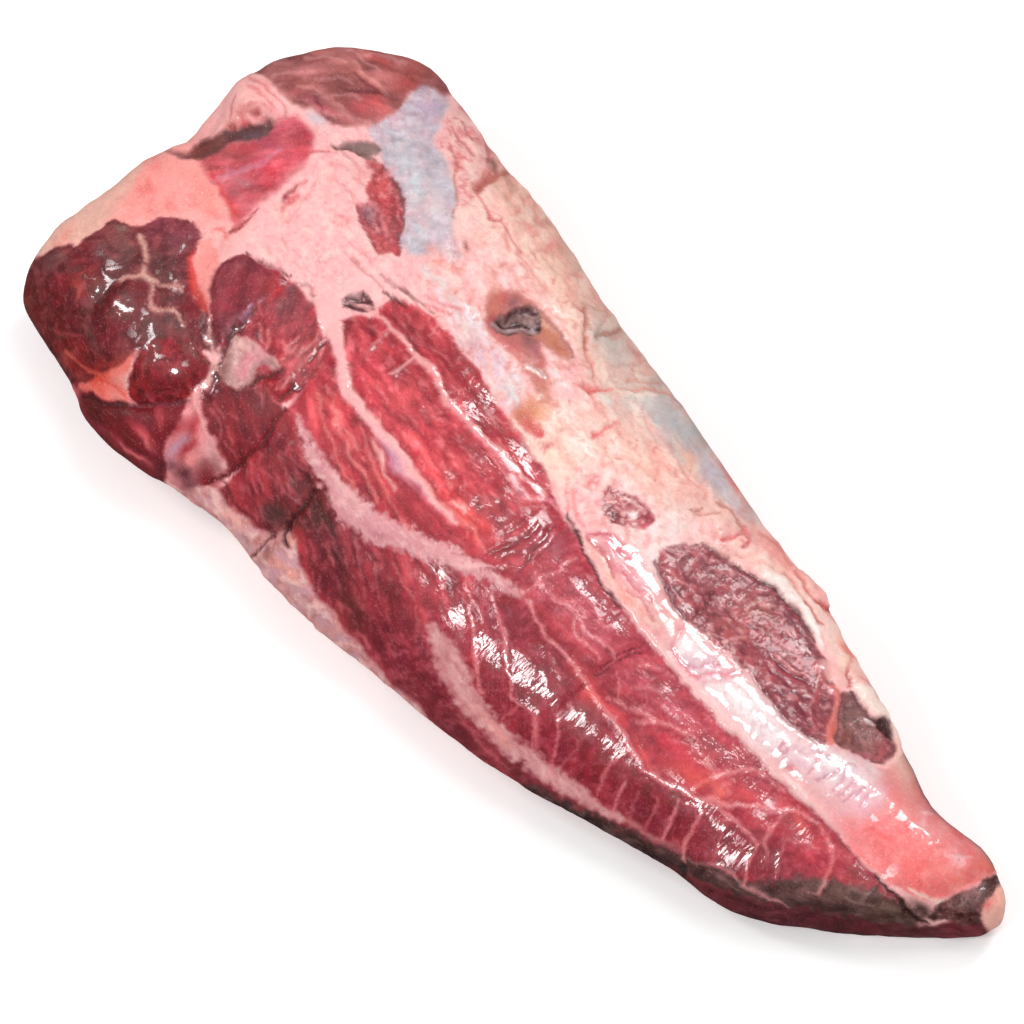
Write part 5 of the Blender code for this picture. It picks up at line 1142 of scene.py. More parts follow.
def lay_dark_edge(d):
    """The olive-brown band along the near side of the tip, dried meat darkened partly as painted shade,
    and the dark muscle below it, also darkened partly as painted shade.
    """
    # dark muscle of the near side wall, its darkness partly painted shade
    below = d.area(((238, -44), (246, -40.6), (254, -39.4), (262, -35.4), (270, -31), (277, -26),
        (284, -21), (291, -15.6), (298, -11), (304, -7.6), (309, -4), (311, 1), (313, 5), (316, 6.6),
        (320, 4), (334, -2), (334, -50), (290, -80), (236, -80)), (120, 52, 58), soft=1.0, fat=0.03,
        wet=0.6)
    d.dabs((((256, -39), (8, 1.6), 14, (140, 46, 54), 0.7), ((272, -33), (7, 1.4), 28, (128, 58, 62), 0.7),
        ((286, -22), (6, 2), 34, (118, 58, 62), 0.7), ((266, -34), (4, 1), 24, (96, 42, 46), 0.7),
        ((280, -29), (6, 1), 34, (100, 44, 48), 0.6), ((296, -14), (5, 2), 36, (122, 40, 46), 0.7),
        ((308, -6), (5, 2.4), 40, (122, 66, 66), 0.7), ((314, -1), (3, 4), 0, (142, 66, 70), 0.8),
        ((300, -13), (5, 2), 36, (104, 52, 52), 0.7), ((304, -10), (4, 1), 40, (84, 40, 42), 0.6)),
        within=below)
    d.mottle(below, (82, 34, 40), 0.5, 2.6, 160, cover=0.34, turn=34, stretch=2.4)
    d.mottle(below, (156, 84, 88), 0.4, 2.4, 161, cover=0.26, turn=34, stretch=2.4)
    # olive-brown band: dried meat, darkest along the silhouette, partly painted shade
    band = d.area(((200, -50.6), (208, -48.8), (216, -46.6), (225, -43.4), (233, -40.6), (240, -38.6),
        (246, -36.6), (250, -33.4), (257, -31.4), (263, -29), (267, -25), (270, -20), (275, -16.4),
        (280, -13.4), (285, -10.4), (290, -7.6), (298, -5.6), (305, -4), (304, -8.6), (298, -12),
        (291, -16.6), (284, -21.4), (277, -26), (270, -30.4), (262, -34.8), (254, -38.2), (247, -40),
        (240, -43.6), (228, -47.6), (214, -51), (200, -55)), (104, 78, 68), soft=1.2, fat=0.05, wet=0.42,
        ragged=1.3, grain=2.0, seed=8, height=0.3, rim=2)
    d.dabs((((276, -20), (5, 3), 30, (134, 112, 96), 0.8), ((283, -16), (4, 2), 34, (118, 100, 84), 0.7),
        ((264, -30), (6, 2), 26, (112, 86, 76), 0.7), ((250, -36), (4, 2), 20, (108, 76, 68), 0.7),
        ((256, -33), (4, 1.4), 16, (126, 98, 90), 0.7), ((234, -42.6), (8, 1.6), 16, (72, 46, 42), 0.85),
        ((216, -48.4), (9, 1.6), 14, (54, 38, 34), 0.9), ((204, -51.4), (5, 1.4), 10, (66, 34, 34), 0.85),
        ((294, -9.6), (4, 1.6), 26, (104, 84, 66), 0.75), ((272, -26), (3, 1.6), 30, (124, 104, 92), 0.6),
        ((299, -8), (4, 1.4), 20, (96, 84, 66), 0.6), ((268, -24), (3, 2), 34, (92, 62, 56), 0.6),
        ((288, -12), (3, 1.6), 34, (142, 120, 108), 0.6), ((240, -42), (5, 1.4), 14, (62, 38, 38), 0.8),
        ((282, -21), (4, 1), 34, (84, 58, 50), 0.7)), within=band)
    d.mottle(band, (146, 124, 112), 0.5, 2.2, 162, cover=0.3, turn=34, stretch=1.8)
    d.mottle(band, (70, 48, 42), 0.55, 2.2, 163, cover=0.34, turn=34, stretch=1.8)
    # pinkish skin of the shoulder where it meets the band
    d.stroke(((222, -42), (230, -40), (238, -38.2), (244, -37)), 1.0, (196, 128, 122), share=0.6, fat=0.4,
        broken=0.2, seed=207)
    d.stroke(((262, -18), (266, -22), (268, -26)), 0.8, (148, 60, 68), share=0.5, seed=208)
    d.stroke(((246, -37.4), (247.6, -39.4), (249, -41.6)), 0.8, (60, 34, 32), share=0.8, height=-0.6,
        seed=200)
    for k, (centre, radii) in enumerate((((247.6, -38.4), (1.0, 0.7)), ((249.6, -39.8), (0.9, 0.6)),
            ((248, -41), (0.8, 0.5)), ((251, -40.6), (0.8, 0.5)))):
        d.dab(centre, radii, 0, (196, 132, 126), 0.6, ragged=0.3, seed=80 + k)
    for k, (points, width, colour,
            share) in enumerate(((((262, -31.4), (266, -29.8), (271, -28.6), (275, -27.6)), 0.3,
            (206, 164, 156), 0.7), (((252, -35), (257, -33.6), (262, -32.8)), 0.3, (186, 142, 132), 0.5),
            (((256, -31.6), (260, -31.2), (263, -31.4)), 0.35, (214, 160, 156), 0.6),
            (((246, -37), (250, -33.8), (256, -32)), 0.3, (196, 130, 124), 0.5),
            (((277, -21.6), (278.6, -19.4), (277.6, -16)), 0.35, (206, 162, 152), 0.6),
            (((222, -41.8), (230, -40.2), (237, -38), (243, -35.8)), 0.5, (222, 146, 138), 0.55),
            (((205, -46.8), (214, -45.2), (222, -43.4)), 0.7, (232, 168, 160), 0.6),
            (((284, -15), (288, -13.4), (292, -12)), 0.25, (170, 146, 134), 0.5))):
        d.stroke(points, width, colour, share=share, fat=0.4, broken=0.15, seed=480 + k)
    # dark brown end of the tip
    end = d.area(((303.4, -1.6), (305.4, 2), (306, 6), (307, 10), (308.6, 13), (310, 16.6), (312.4, 17.6),
        (314.6, 15), (313.6, 11), (314.4, 7.4), (317, 5.6), (314, 2), (309, -1), (304.6, -4)),
        (112, 74, 66), soft=0.6, fat=0.08, wet=0.5, ragged=0.7, grain=2.0, seed=9)
    d.dabs((((311.4, 13.6), (2, 4), 16, (84, 58, 54), 0.85),
        ((308.4, 6.6), (1.8, 4), 10, (156, 124, 116), 0.8), ((312.4, 6), (2, 3), 0, (96, 54, 52), 0.7),
        ((309.6, 11), (1, 2), 10, (132, 104, 98), 0.7), ((306, 0), (2, 2), 0, (84, 46, 44), 0.7)),
        within=end)
    d.mottle(end, (56, 34, 34), 0.6, 1.6, 164, cover=0.3)
    d.mottle(end, (172, 144, 136), 0.5, 1.4, 165, cover=0.24)
    # peach knob
    d.area(((313.6, 8.6), (314.4, 12), (313.4, 15), (315, 16.4), (318, 16), (322, 14), (323, 9),
        (319.6, 4.6), (316.6, 6.4)), (250, 188, 170), soft=0.5, fat=0.85, wet=0.5, height=0.6, rim=2)
    d.dab((314.4, 10.4), (1.2, 1.6), 0, (206, 70, 66), 0.6)
    # the cut under the bright flap
    d.stroke(((286, -5.2), (290, -5), (296, -5.6), (302, -6.6), (306, -5)), 0.4, (58, 22, 24), share=0.9,
        height=-0.72, seed=205)
    d.stroke(((288.6, -6), (290, -9), (289.6, -12)), 0.4, (76, 34, 36), share=0.6, height=-0.36, seed=206)
    d.dab((302, -3.4), (4, 1.6), 10, (52, 30, 28), 0.8)


def lay_membrane(d):
    """The glossy pale membrane above the main seam and the coral flap of the tip."""
    outline = ((165, 9), (166.4, 11.6), (170, 14.4), (175, 15.4), (181, 14.8), (187, 13.2), (194, 11.4),
        (202, 10), (210, 10.4), (216, 11.8), (224, 11.6), (231, 10.7), (241, 10), (250, 10.6), (254, 13),
        (258, 15.4), (263, 16.2), (268, 17), (271, 20), (269, 25), (272, 29), (278, 24), (284, 21.6),
        (292, 21), (300, 22.4), (307, 21.6), (310.4, 18), (308.2, 12.6), (306, 7), (304.6, 2.6),
        (301, -0.6), (296, -2.8), (290, -3.8), (280, -4.2), (268, -3.6), (250, -3.7), (236, -3.4),
        (222, -2.9), (208, -1.6), (196, 0), (184, 2), (176, 4), (170, 6.6))
    skin = d.area(outline, (246, 178, 178), soft=0.6, fat=0.85, wet=0.95)
    d.lay(skin * 0.95 * smooth_step(269, 278, d.wu + 0.25 * d.wv), (252, 132, 132))
    d.dabs((
        # peach fat below it, pink skin above that
        ((182, 4), (18, 2.6), -7, (250, 186, 172), 0.9), ((168, 4.6), (4, 1.4), -14, (246, 154, 134), 0.8),
        ((185, 2.6), (4, 1.2), -6, (246, 158, 138), 0.8),
        ((176, 6.6), (5, 1.2), -10, (252, 200, 184), 0.7),
        ((179, 10.6), (10, 2.6), -6, (238, 150, 164), 0.9), ((186, 11), (3.4, 1), 0, (250, 212, 216), 0.8),
        ((172, 11.4), (3, 1.4), 20, (226, 128, 144), 0.7), ((182, 8), (6, 0.9), -6, (228, 112, 126), 0.6),
        ((192, 7.4), (5, 2.6), 0, (244, 186, 184), 0.8),
        ((196, 6), (3, 2.6), 0, (238, 206, 192), 0.8), ((192, 4), (4, 1.4), 0, (238, 170, 160), 0.7),
        ((201.4, 5.6), (1.3, 5), 0, (246, 168, 168), 0.9), ((198, 9.4), (5, 1), -6, (248, 190, 184), 0.7),
        # the white parts: pale membrane, whitened partly as painted sheen
        ((207, 5.6), (4.6, 3.2), 10, (255, 250, 248), 0.95),
        ((214.6, 5.6), (4, 4), 50, (238, 196, 208), 0.85), ((211, 3), (2.4, 1.6), 0, (240, 214, 222), 0.7),
        ((229, 4.4), (11, 4.6), 0, (255, 252, 250), 0.97), ((220, 2.6), (4, 3), 0, (255, 246, 244), 0.8),
        ((241, 3.6), (8, 4.4), 0, (254, 244, 244), 0.9), ((237, 8.6), (6, 1), -4, (248, 204, 210), 0.7),
        ((256, 8), (9, 5.4), 8, (253, 240, 242), 0.93), ((264, 12.6), (6, 2.6), 14, (252, 228, 232), 0.8),
        ((250, 2.4), (6, 1.6), 0, (246, 206, 214), 0.6), ((250, 1), (2, 1), 0, (232, 124, 132), 0.7),
        ((270, 8), (4.6, 5), 20, (250, 206, 216), 0.85), ((273, 11), (2.4, 2.4), 0, (252, 230, 236), 0.7),
        ((266, 16), (3, 1), 10, (255, 236, 232), 0.7),
        ((224, -1.4), (20, 1.4), -3, (248, 200, 198), 0.85),
        ((254, -2), (14, 1.3), 0, (248, 190, 186), 0.85), ((236, -1), (5, 0.8), 0, (252, 236, 236), 0.6),
        # the coral flap
        ((284, 8), (9, 7), 0, (253, 134, 134), 0.7), ((294, 3), (9, 3.4), 0, (250, 116, 112), 0.75),
        ((286.6, 15), (3.6, 2.8), -20, (253, 186, 188), 0.9),
        ((291.6, 17), (1.6, 3), 10, (252, 176, 172), 0.7),
        ((299, 14), (3.2, 2.6), -30, (252, 178, 182), 0.85), ((300, 8), (6, 3), 0, (252, 132, 124), 0.7),
        ((307, 18), (3, 2.4), -30, (252, 134, 116), 0.8), ((304, 9), (1.6, 6), -14, (250, 128, 116), 0.7),
        ((276, 18), (6, 3), -30, (252, 158, 148), 0.7), ((278, 12), (3, 4), 0, (252, 158, 158), 0.6),
        ((274, 0), (6, 2.4), 0, (252, 140, 142), 0.8)), within=skin)
    white = skin * smooth_step(200, 206, d.wu) * smooth_step(282, 268, d.wu) * smooth_step(-2.0, 1.0, d.wv)
    d.swirls(white, (214, 164, 176), 0.45, 3.4, 141, height=-0.12)
    d.mottle(white, (232, 176, 190), 0.3, 2.4, 142, cover=0.24)
    pink = skin * smooth_step(204, 196, d.wu)
    d.mottle(pink, (232, 128, 134), 0.45, 2.2, 143, cover=0.32, turn=-8, stretch=2.0, height=-0.1)
    d.mottle(pink, (254, 224, 216), 0.45, 2.0, 144, cover=0.3, turn=-8, stretch=2.0, height=0.1)
    flap = skin * smooth_step(272, 282, d.wu)
    d.mottle(flap, (254, 172, 168), 0.4, 2.6, 145, cover=0.28, turn=-20, stretch=1.6)
    d.mottle(flap, (244, 96, 96), 0.3, 3.4, 146, cover=0.3)
    # peach fat along the far rim of the tip, lifted lighter than its own colour as painted light where the
    # rim turns from the lamps
    d.dab((271, 22), (8, 3), -30, (253, 206, 192), 0.85)
    d.dab((300, 21), (9, 1.6), -8, (252, 178, 172), 0.7)
    # folds across it
    for k, (points, width, colour, share,
            height) in enumerate(
            ((((165.6, 9.4), (167.6, 12), (171, 14), (176, 14.2)), 0.4, (206, 84, 100), 0.8, -0.5),
            (((166, 8.6), (172, 8.6), (176, 7.8), (179, 5.8)), 0.35, (196, 88, 94), 0.7, -0.4),
            (((170, 11.6), (174, 12.6), (180, 12)), 0.35, (220, 104, 122), 0.6, -0.3),
            (((180, 8.6), (186, 7.6), (191, 8)), 0.3, (214, 92, 106), 0.6, -0.3),
            (((184, 5.6), (190, 6), (195, 4.6)), 0.25, (206, 90, 92), 0.6, -0.25),
            (((202.6, 9.6), (202.8, 6), (203, 3.4), (206, 1.6), (210, 0.6), (214, 0.6)), 0.5,
            (230, 132, 142), 0.8, -0.35), (((213.4, 1), (215.6, 4), (219, 7.6), (222.4, 10.4)), 0.55,
            (232, 136, 148), 0.8, -0.35), (((210, 1.4), (213, 4.6), (216.4, 8.6)), 0.45, (216, 132, 152),
            0.7, -0.3), (((216, 1.4), (218.6, 4.6), (221, 8)), 0.3, (236, 160, 172), 0.6, -0.2),
            (((253.6, 2.4), (254.2, 5), (253.6, 8)), 0.4, (214, 130, 144), 0.75, -0.3),
            (((257.2, 2.6), (258, 5), (259.2, 8), (259, 10)), 0.4, (206, 140, 158), 0.75, -0.3),
            (((262.4, 4.4), (261.8, 8), (260.6, 11)), 0.35, (206, 140, 158), 0.7, -0.3),
            (((264.6, 4.6), (264.8, 8), (264.4, 11)), 0.35, (206, 140, 158), 0.7, -0.3),
            (((267, 4), (267.4, 8), (267.6, 11.6)), 0.35, (206, 140, 158), 0.7, -0.3),
            (((270.6, 5.6), (269.8, 8.6), (270.4, 11)), 0.3, (222, 140, 160), 0.65, -0.3),
            (((250.6, 8.6), (256, 9.4), (262, 12.6)), 0.25, (216, 150, 160), 0.6, -0.2),
            (((246, 5.6), (252, 7.6), (257, 11)), 0.25, (220, 160, 170), 0.5, -0.2),
            (((276, 2), (279, 4), (283, 5)), 0.3, (246, 98, 98), 0.5, -0.2),
            # the three near-white strokes on the coral flap: painted glints on small raised folds
            (((284, 12), (287, 13.4), (290, 12.6)), 0.3, (254, 206, 206), 0.6, 0.3),
            (((297, 12), (300, 14.6), (302, 17)), 0.3, (255, 206, 206), 0.6, 0.3),
            (((284.6, 16.6), (286.4, 17.6)), 0.3, (254, 214, 214), 0.6, 0.3))):
        d.stroke(points, width, colour, share=share, height=height, seed=410 + k)
    ring = np.abs(np.hypot(d.wu - 244.5, d.wv - 3.2) - 1.5)
    d.lay(smooth_step(0.75, 0.2, ring) * 0.8, (214, 132, 146))
    for k, points in enumerate((((250, -1.6), (254, -2), (258, -1.8)),
            ((252, -2.8), (256, -3), (260, -2.8)))):
        d.stroke(points, 0.25, (254, 230, 226), share=0.7, height=0.35, seed=434 + k)
    d.stroke(((176, 3.6), (184, 2.2), (196, 0.6), (208, -0.8), (222, -2), (236, -2.6), (252, -2.8),
        (268, -2.8)), 1.0, (248, 200, 198), share=0.45, height=0.5, seed=213)
    # rim over the main seam
    d.stroke(((295.6, -1.2), (299, -0.4), (302, 0.9), (304.6, 2)), 0.45, (255, 226, 212), share=0.9,
        height=0.7, seed=214)
    # the main seam
    d.stroke(((79, 20.6), (84, 20.8), (86.6, 21.6)), 0.5, (84, 34, 38), share=0.9, height=-0.84, seed=215)
    d.stroke(((81, 23.6), (85, 24.4), (90, 24.8), (93, 24.6)), 0.28, (116, 62, 64), share=0.75,
        height=-0.4, seed=216)
    d.stroke(((76, 23), (81, 23.4), (84, 24)), 0.3, (150, 90, 88), share=0.5, height=-0.3, seed=217)
    d.stroke(((66, 21), (72, 21.4), (79, 21)), 0.3, (190, 116, 114), share=0.55, height=-0.3, seed=218)
    d.stroke(((129, 17.6), (138, 15.8), (146, 13.2), (150.6, 11)), 0.25, (166, 66, 70), share=0.5,
        height=-0.25, seed=219)
    d.stroke(((158, 9.4), (162, 8), (166, 6), (169.6, 4.4)), 0.4, (46, 16, 18), share=0.9, height=-0.8,
        seed=220)
    d.stroke(((169, 4.6), (174, 3), (180, 1.4), (186, 0.4)), 0.34, (56, 20, 24), share=0.8, height=-0.7,
        seed=221)
    d.stroke(((184, 0.8), (196, -0.8), (210, -2.7), (224, -3.9), (240, -4.3), (256, -4.2), (270, -4.2),
        (284, -5)), 0.28, (176, 78, 90), share=0.5, height=-0.45, seed=222)


def lay_spindle(d):
    """The slim muscle in its pocket on the far side, the small pocket beyond it, and their pale rims."""
    d.dab((182.5, 22), (4.6, 9), 4, (250, 238, 234), 0.9)
    d.dab((187, 16), (5, 3), -10, (250, 224, 220), 0.6)
    d.area(((194, 33.4), (204, 34.6), (214, 36), (224, 35.6), (232, 33.4), (240, 30.4), (246, 27.6),
        (250, 30), (246, 34.6), (238, 37.6), (228, 39.4), (214, 39.6), (202, 38)), (250, 216, 204),
        soft=1.6, share=0.75)
    d.area(((209, 33.6), (216, 34), (224, 33.4), (230, 31.6), (236, 29.4), (232, 33), (224, 36.4),
        (214, 37), (208, 35.6)), (254, 240, 234), soft=0.8, share=0.85, height=0.6, rim=1.5)
    d.area(((246, 28.4), (250, 27.2), (256, 26.6), (260, 27.8), (264, 27), (268, 25), (268, 28), (260, 31),
        (250, 31.6)), (254, 232, 220), soft=0.8, share=0.9, height=0.9, rim=1.6)
    # lumps and folds of fat above it
    for k, (centre, radii, turn, colour, share,
            height) in enumerate((((226, 42), (5, 1.6), -4, (250, 174, 170), 0.9, 1.2),
            ((217, 41.6), (3, 1), -8, (238, 170, 158), 0.7, 0.5),
            ((209, 41), (6, 1.6), -8, (250, 160, 148), 0.7, 0.5),
            ((204, 43), (4, 1.4), -10, (244, 150, 146), 0.6, 0.3),
            ((190, 40.6), (5, 1), 0, (250, 200, 182), 0.6, 0.4),
            ((196.6, 37), (1.5, 2.4), 10, (252, 208, 196), 0.8, 0.7),
            ((187, 37), (4, 2), 30, (252, 206, 190), 0.7, 0.6),
            ((202, 36.4), (2.4, 2), 0, (250, 190, 180), 0.7, 0.5),
            ((240, 35), (3.4, 0.9), -8, (240, 112, 96), 0.8, 0.0),
            ((241.4, 32.4), (1.6, 1.6), 0, (250, 208, 180), 0.8, 0.7),
            ((236, 36.6), (3, 1), -20, (250, 190, 172), 0.7, 0.4),
            ((246, 31.6), (4, 1.4), -16, (246, 176, 166), 0.6, 0.4),
            ((272, 25), (6, 2.2), -30, (246, 180, 162), 0.7, 0.2),
            ((262, 29.6), (6, 1), -12, (244, 184, 168), 0.7, 0.0))):
        d.dab(centre, radii, turn, colour, share, height=height)
    for k, (points, width, colour, share,
            height) in enumerate(
            ((((223.4, 39), (227, 39.4), (230, 40), (232.6, 40.4)), 0.5, (186, 60, 60), 0.85, -0.7),
            (((222, 36.8), (226, 36), (229.6, 34.8)), 0.3, (196, 90, 86), 0.7, -0.5),
            (((214, 40.4), (219, 40), (223, 39.4)), 0.35, (222, 124, 116), 0.6, -0.4),
            (((197, 38.4), (196.4, 36.4), (194.4, 34.4), (193.6, 33)), 0.35, (206, 84, 88), 0.75, -0.5),
            (((199.6, 38.6), (199.8, 36.8), (198.8, 35.2)), 0.42, (176, 60, 66), 0.8, -0.6),
            (((182, 33.6), (183.6, 35.4), (184, 36.4)), 0.3, (176, 96, 90), 0.7, -0.4),
            (((186, 40.4), (190, 41), (195, 40.4), (199, 39)), 0.28, (196, 124, 116), 0.6, -0.4),
            (((200, 42), (206, 42.6), (212, 41.4)), 0.3, (222, 120, 112), 0.5, -0.3),
            (((232, 40), (236, 37.6), (239, 36.6)), 0.3, (226, 118, 106), 0.6, -0.4),
            (((243.6, 31.6), (245.6, 29.4), (246.8, 27.6)), 0.4, (196, 84, 84), 0.75, -0.5),
            (((205, 36), (211, 38), (218, 38.4)), 0.28, (238, 160, 148), 0.5, -0.3),
            (((247, 32), (254, 31.6), (260, 30.4)), 0.28, (226, 140, 128), 0.5, -0.3))):
        d.stroke(points, width, colour, share=share, height=height, seed=440 + k)
    spindle = d.area(((182.6, 18.4), (184, 22), (187, 26), (190.6, 28.2), (195, 30), (201.6, 30.8),
        (205, 32.4), (211, 33.4), (217, 33.4), (222, 32.6), (227, 32.4), (231, 30.2), (237, 28.6),
        (239.6, 26.4), (244, 25.4), (246.6, 23.4), (249.6, 19.6), (253.6, 13.8), (251, 10.8), (241, 10.1),
        (232, 10.6), (225, 11.8), (216, 12), (210, 10.8), (202, 10.6), (195, 12), (188, 14.6)),
        (184, 104, 108), soft=0.5, fat=0.15, wet=0.98, height=0.7, rim=4, ragged=0.3, seed=11)
    d.dabs((((190, 23), (5, 4), 20, (186, 124, 124), 0.8), ((194, 26), (5, 2.4), 14, (158, 84, 92), 0.85),
        ((195, 15.6), (7, 2.4), -14, (148, 62, 70), 0.9), ((200.6, 16), (2.4, 4), 10, (160, 72, 78), 0.8),
        ((201, 26), (4, 4), 0, (164, 98, 100), 0.7), ((206, 23), (3, 6), 0, (184, 116, 118), 0.7),
        ((211, 21), (4, 4), 0, (222, 122, 122), 0.85), ((214, 25.6), (4.4, 2), 20, (206, 112, 96), 0.85),
        ((212, 26.4), (3, 1), 10, (170, 92, 74), 0.7), ((218.6, 22), (2.6, 3), 0, (206, 82, 88), 0.8),
        ((210, 13.6), (5, 2), 0, (214, 112, 104), 0.85), ((215, 16), (5, 3), 0, (206, 108, 106), 0.8),
        ((208, 30.6), (7, 1.6), 8, (132, 66, 76), 0.9), ((222, 30.8), (7, 2), -6, (134, 66, 78), 0.9),
        ((232, 28.4), (4, 1.6), -20, (150, 76, 84), 0.8), ((217, 29.6), (2, 1.6), 0, (168, 104, 92), 0.7),
        ((230, 24), (7, 3.4), -14, (186, 104, 110), 0.8), ((224, 26.4), (3, 2), 0, (206, 108, 112), 0.7),
        ((228, 21.6), (7, 1.2), 4, (214, 140, 142), 0.7), ((226, 16), (7, 2.6), 6, (176, 66, 78), 0.85),
        ((232, 17.6), (3.4, 1.6), 10, (206, 72, 90), 0.8), ((240, 13), (10, 2.6), 0, (138, 52, 64), 0.92),
        ((238, 15.6), (5, 1.6), 20, (112, 40, 52), 0.7), ((240, 21.4), (4, 2), 10, (178, 80, 78), 0.9),
        ((244, 18), (3, 3), 0, (156, 72, 80), 0.8), ((236, 19.4), (3, 1), 10, (222, 110, 114), 0.7),
        ((222, 13.4), (6, 1), 0, (186, 86, 90), 0.7), ((237.6, 26.6), (2, 1.6), -20, (226, 120, 124), 0.8),
        ((203, 21), (1.2, 3), 0, (128, 60, 68), 0.7)), within=spindle)
    d.lay(spindle * 0.35, (112, 44, 54))
    d.mottle(spindle, (232, 170, 170), 0.66, 1.5, 150, cover=0.26, turn=16, stretch=2.0, height=0.18)
    d.mottle(spindle, (112, 44, 54), 0.6, 1.8, 151, cover=0.34, turn=16, stretch=1.6, height=-0.2)
    d.mottle(spindle, (214, 92, 98), 0.4, 3.2, 152, cover=0.34)
    rim = d.area(((242, 24.6), (245, 26), (249, 22), (252.6, 16.6), (254.6, 13.6), (252.8, 12),
        (250.4, 13.4), (248.6, 18), (246, 21.6), (243.4, 23)), (236, 132, 126), soft=0.5, share=0.92,
        fat=0.6, height=0.4, rim=1.2, ragged=0.4, seed=12)
    d.dab((251.6, 14.6), (1.2, 2.4), 30, (244, 116, 100), 0.8, within=rim)
    d.area(((236, 24.4), (240, 25), (244, 25.4), (246.6, 28), (243, 30.6), (238, 29.6), (235, 28)),
        (248, 186, 180), soft=0.8, share=0.8, fat=0.85, height=0.4, rim=2)
    d.stroke(((190, 28.6), (194, 29.8), (198, 30.8), (202, 30.8)), 0.3, (104, 56, 60), share=0.7,
        height=-0.5, seed=229)
    d.stroke(((202, 30.8), (205, 32.4), (211, 33.3), (216, 33.6), (220, 32.8), (227, 32.4), (231, 30.2)),
        0.36, (66, 28, 34), share=0.85, height=-0.78, seed=231)
    d.stroke(((184, 16.4), (189, 14), (196, 11.6), (202, 10.5)), 0.35, (96, 36, 44), share=0.75,
        height=-0.54, seed=232)
    d.stroke(((224, 11.8), (232, 10.6), (242, 10), (251, 10.6)), 0.35, (104, 32, 44), share=0.75,
        height=-0.54, seed=233)
    for k, (points, width, colour, share,
            height) in enumerate(((((187, 16.6), (192, 17), (198, 17.4), (201.6, 16.6)), 0.35,
            (226, 150, 150), 0.7, 0.3), (((224, 18.4), (229, 19), (234, 19.6), (239, 20.8)), 0.35,
            (112, 36, 48), 0.8, -0.5), (((225, 19.6), (230, 20.6), (236, 21.4)), 0.3, (236, 160, 160), 0.7,
            0.35), (((229, 12.6), (233, 14.4), (237, 16.4), (240, 18.6)), 0.3, (214, 150, 154), 0.75, 0.4),
            (((241, 18.6), (244, 14.6), (248, 12)), 0.3, (206, 132, 138), 0.6, 0.3),
            (((211.4, 26), (214, 28), (217, 29.8)), 0.4, (226, 164, 160), 0.8, 0.4),
            (((212, 24), (215.4, 26), (219.4, 28.4)), 0.3, (150, 76, 66), 0.7, -0.35),
            (((213, 13), (215.6, 15.4), (216.6, 18)), 0.4, (236, 170, 164), 0.7, 0.35),
            (((202.4, 12), (203, 17), (202.6, 21)), 0.3, (110, 48, 56), 0.7, -0.5),
            (((219.4, 14), (220, 18), (219.6, 22)), 0.3, (150, 64, 72), 0.6, -0.3),
            (((236, 24.6), (239, 23.4), (243, 24)), 0.35, (236, 140, 138), 0.7, 0.3),
            (((205, 25.6), (207, 23), (210, 24.6)), 0.4, (226, 180, 182), 0.7, 0.4),
            (((192, 24.6), (193, 22), (192.6, 20)), 0.35, (222, 170, 170), 0.6, 0.3),
            (((199, 27), (201.6, 28.6), (203.6, 27)), 0.35, (222, 170, 172), 0.6, 0.3))):
        d.stroke(points, width, colour, share=share, height=height, broken=0.15, seed=460 + k)
    # small pocket
    pocket = d.area(((245.6, 25.4), (249, 26.8), (254, 25.6), (258, 26), (261, 27.4), (264.6, 26),
        (267.6, 23.4), (268.6, 20), (266.4, 17.4), (261.6, 15.8), (257, 15.2), (254, 14.2), (252.4, 17.6),
        (249.6, 21.6)), (150, 96, 94), soft=0.5, fat=0.15, wet=0.9, height=-0.54, rim=3, ragged=0.3,
        seed=13)
    d.dabs((((250, 24.6), (3.4, 1.8), -20, (118, 78, 76), 0.85),
        ((252, 21), (2.4, 3), -30, (138, 100, 94), 0.8), ((264.6, 21.6), (3, 3.4), 0, (172, 78, 84), 0.85),
        ((258, 21), (4, 3), 20, (142, 92, 90), 0.7), ((255, 17), (1.6, 1.6), 0, (158, 84, 78), 0.7),
        ((263, 17), (3, 1), 16, (214, 116, 128), 0.8), ((266.4, 19), (1.4, 2), 0, (206, 100, 108), 0.7),
        ((247.6, 25), (1.6, 1), 0, (150, 84, 84), 0.7)), within=pocket)
    d.mottle(pocket, (196, 140, 140), 0.45, 1.6, 154, cover=0.26, height=0.15)
    d.mottle(pocket, (96, 58, 58), 0.5, 1.9, 155, cover=0.28, height=-0.15)
    d.area(((258.6, 26), (259.6, 27.8), (261.6, 27.8), (264, 26.8), (266, 25.4), (262.6, 25.2),
        (260.4, 25.4)), (58, 32, 32), soft=0.4, share=0.9, height=-0.6, rim=1)
    d.stroke(((248, 26.8), (252, 26.2), (256, 25.6), (259, 26.2)), 0.32, (74, 38, 40), share=0.8,
        height=-0.6, broken=0.15, seed=235)
    # white triangle at the pocket's lip: painted glint over a raised lip
    d.area(((254.8, 23.2), (255.6, 25.4), (257.6, 25), (260, 25.6), (258, 24.4)), (226, 210, 210),
        soft=0.3, share=0.85, fat=0.4, height=0.4, rim=1)
    d.stroke(((246.6, 24.6), (249, 21.4), (251.8, 17.6), (253.6, 14.6)), 0.3, (106, 58, 58), share=0.7,
        height=-0.4, seed=237)


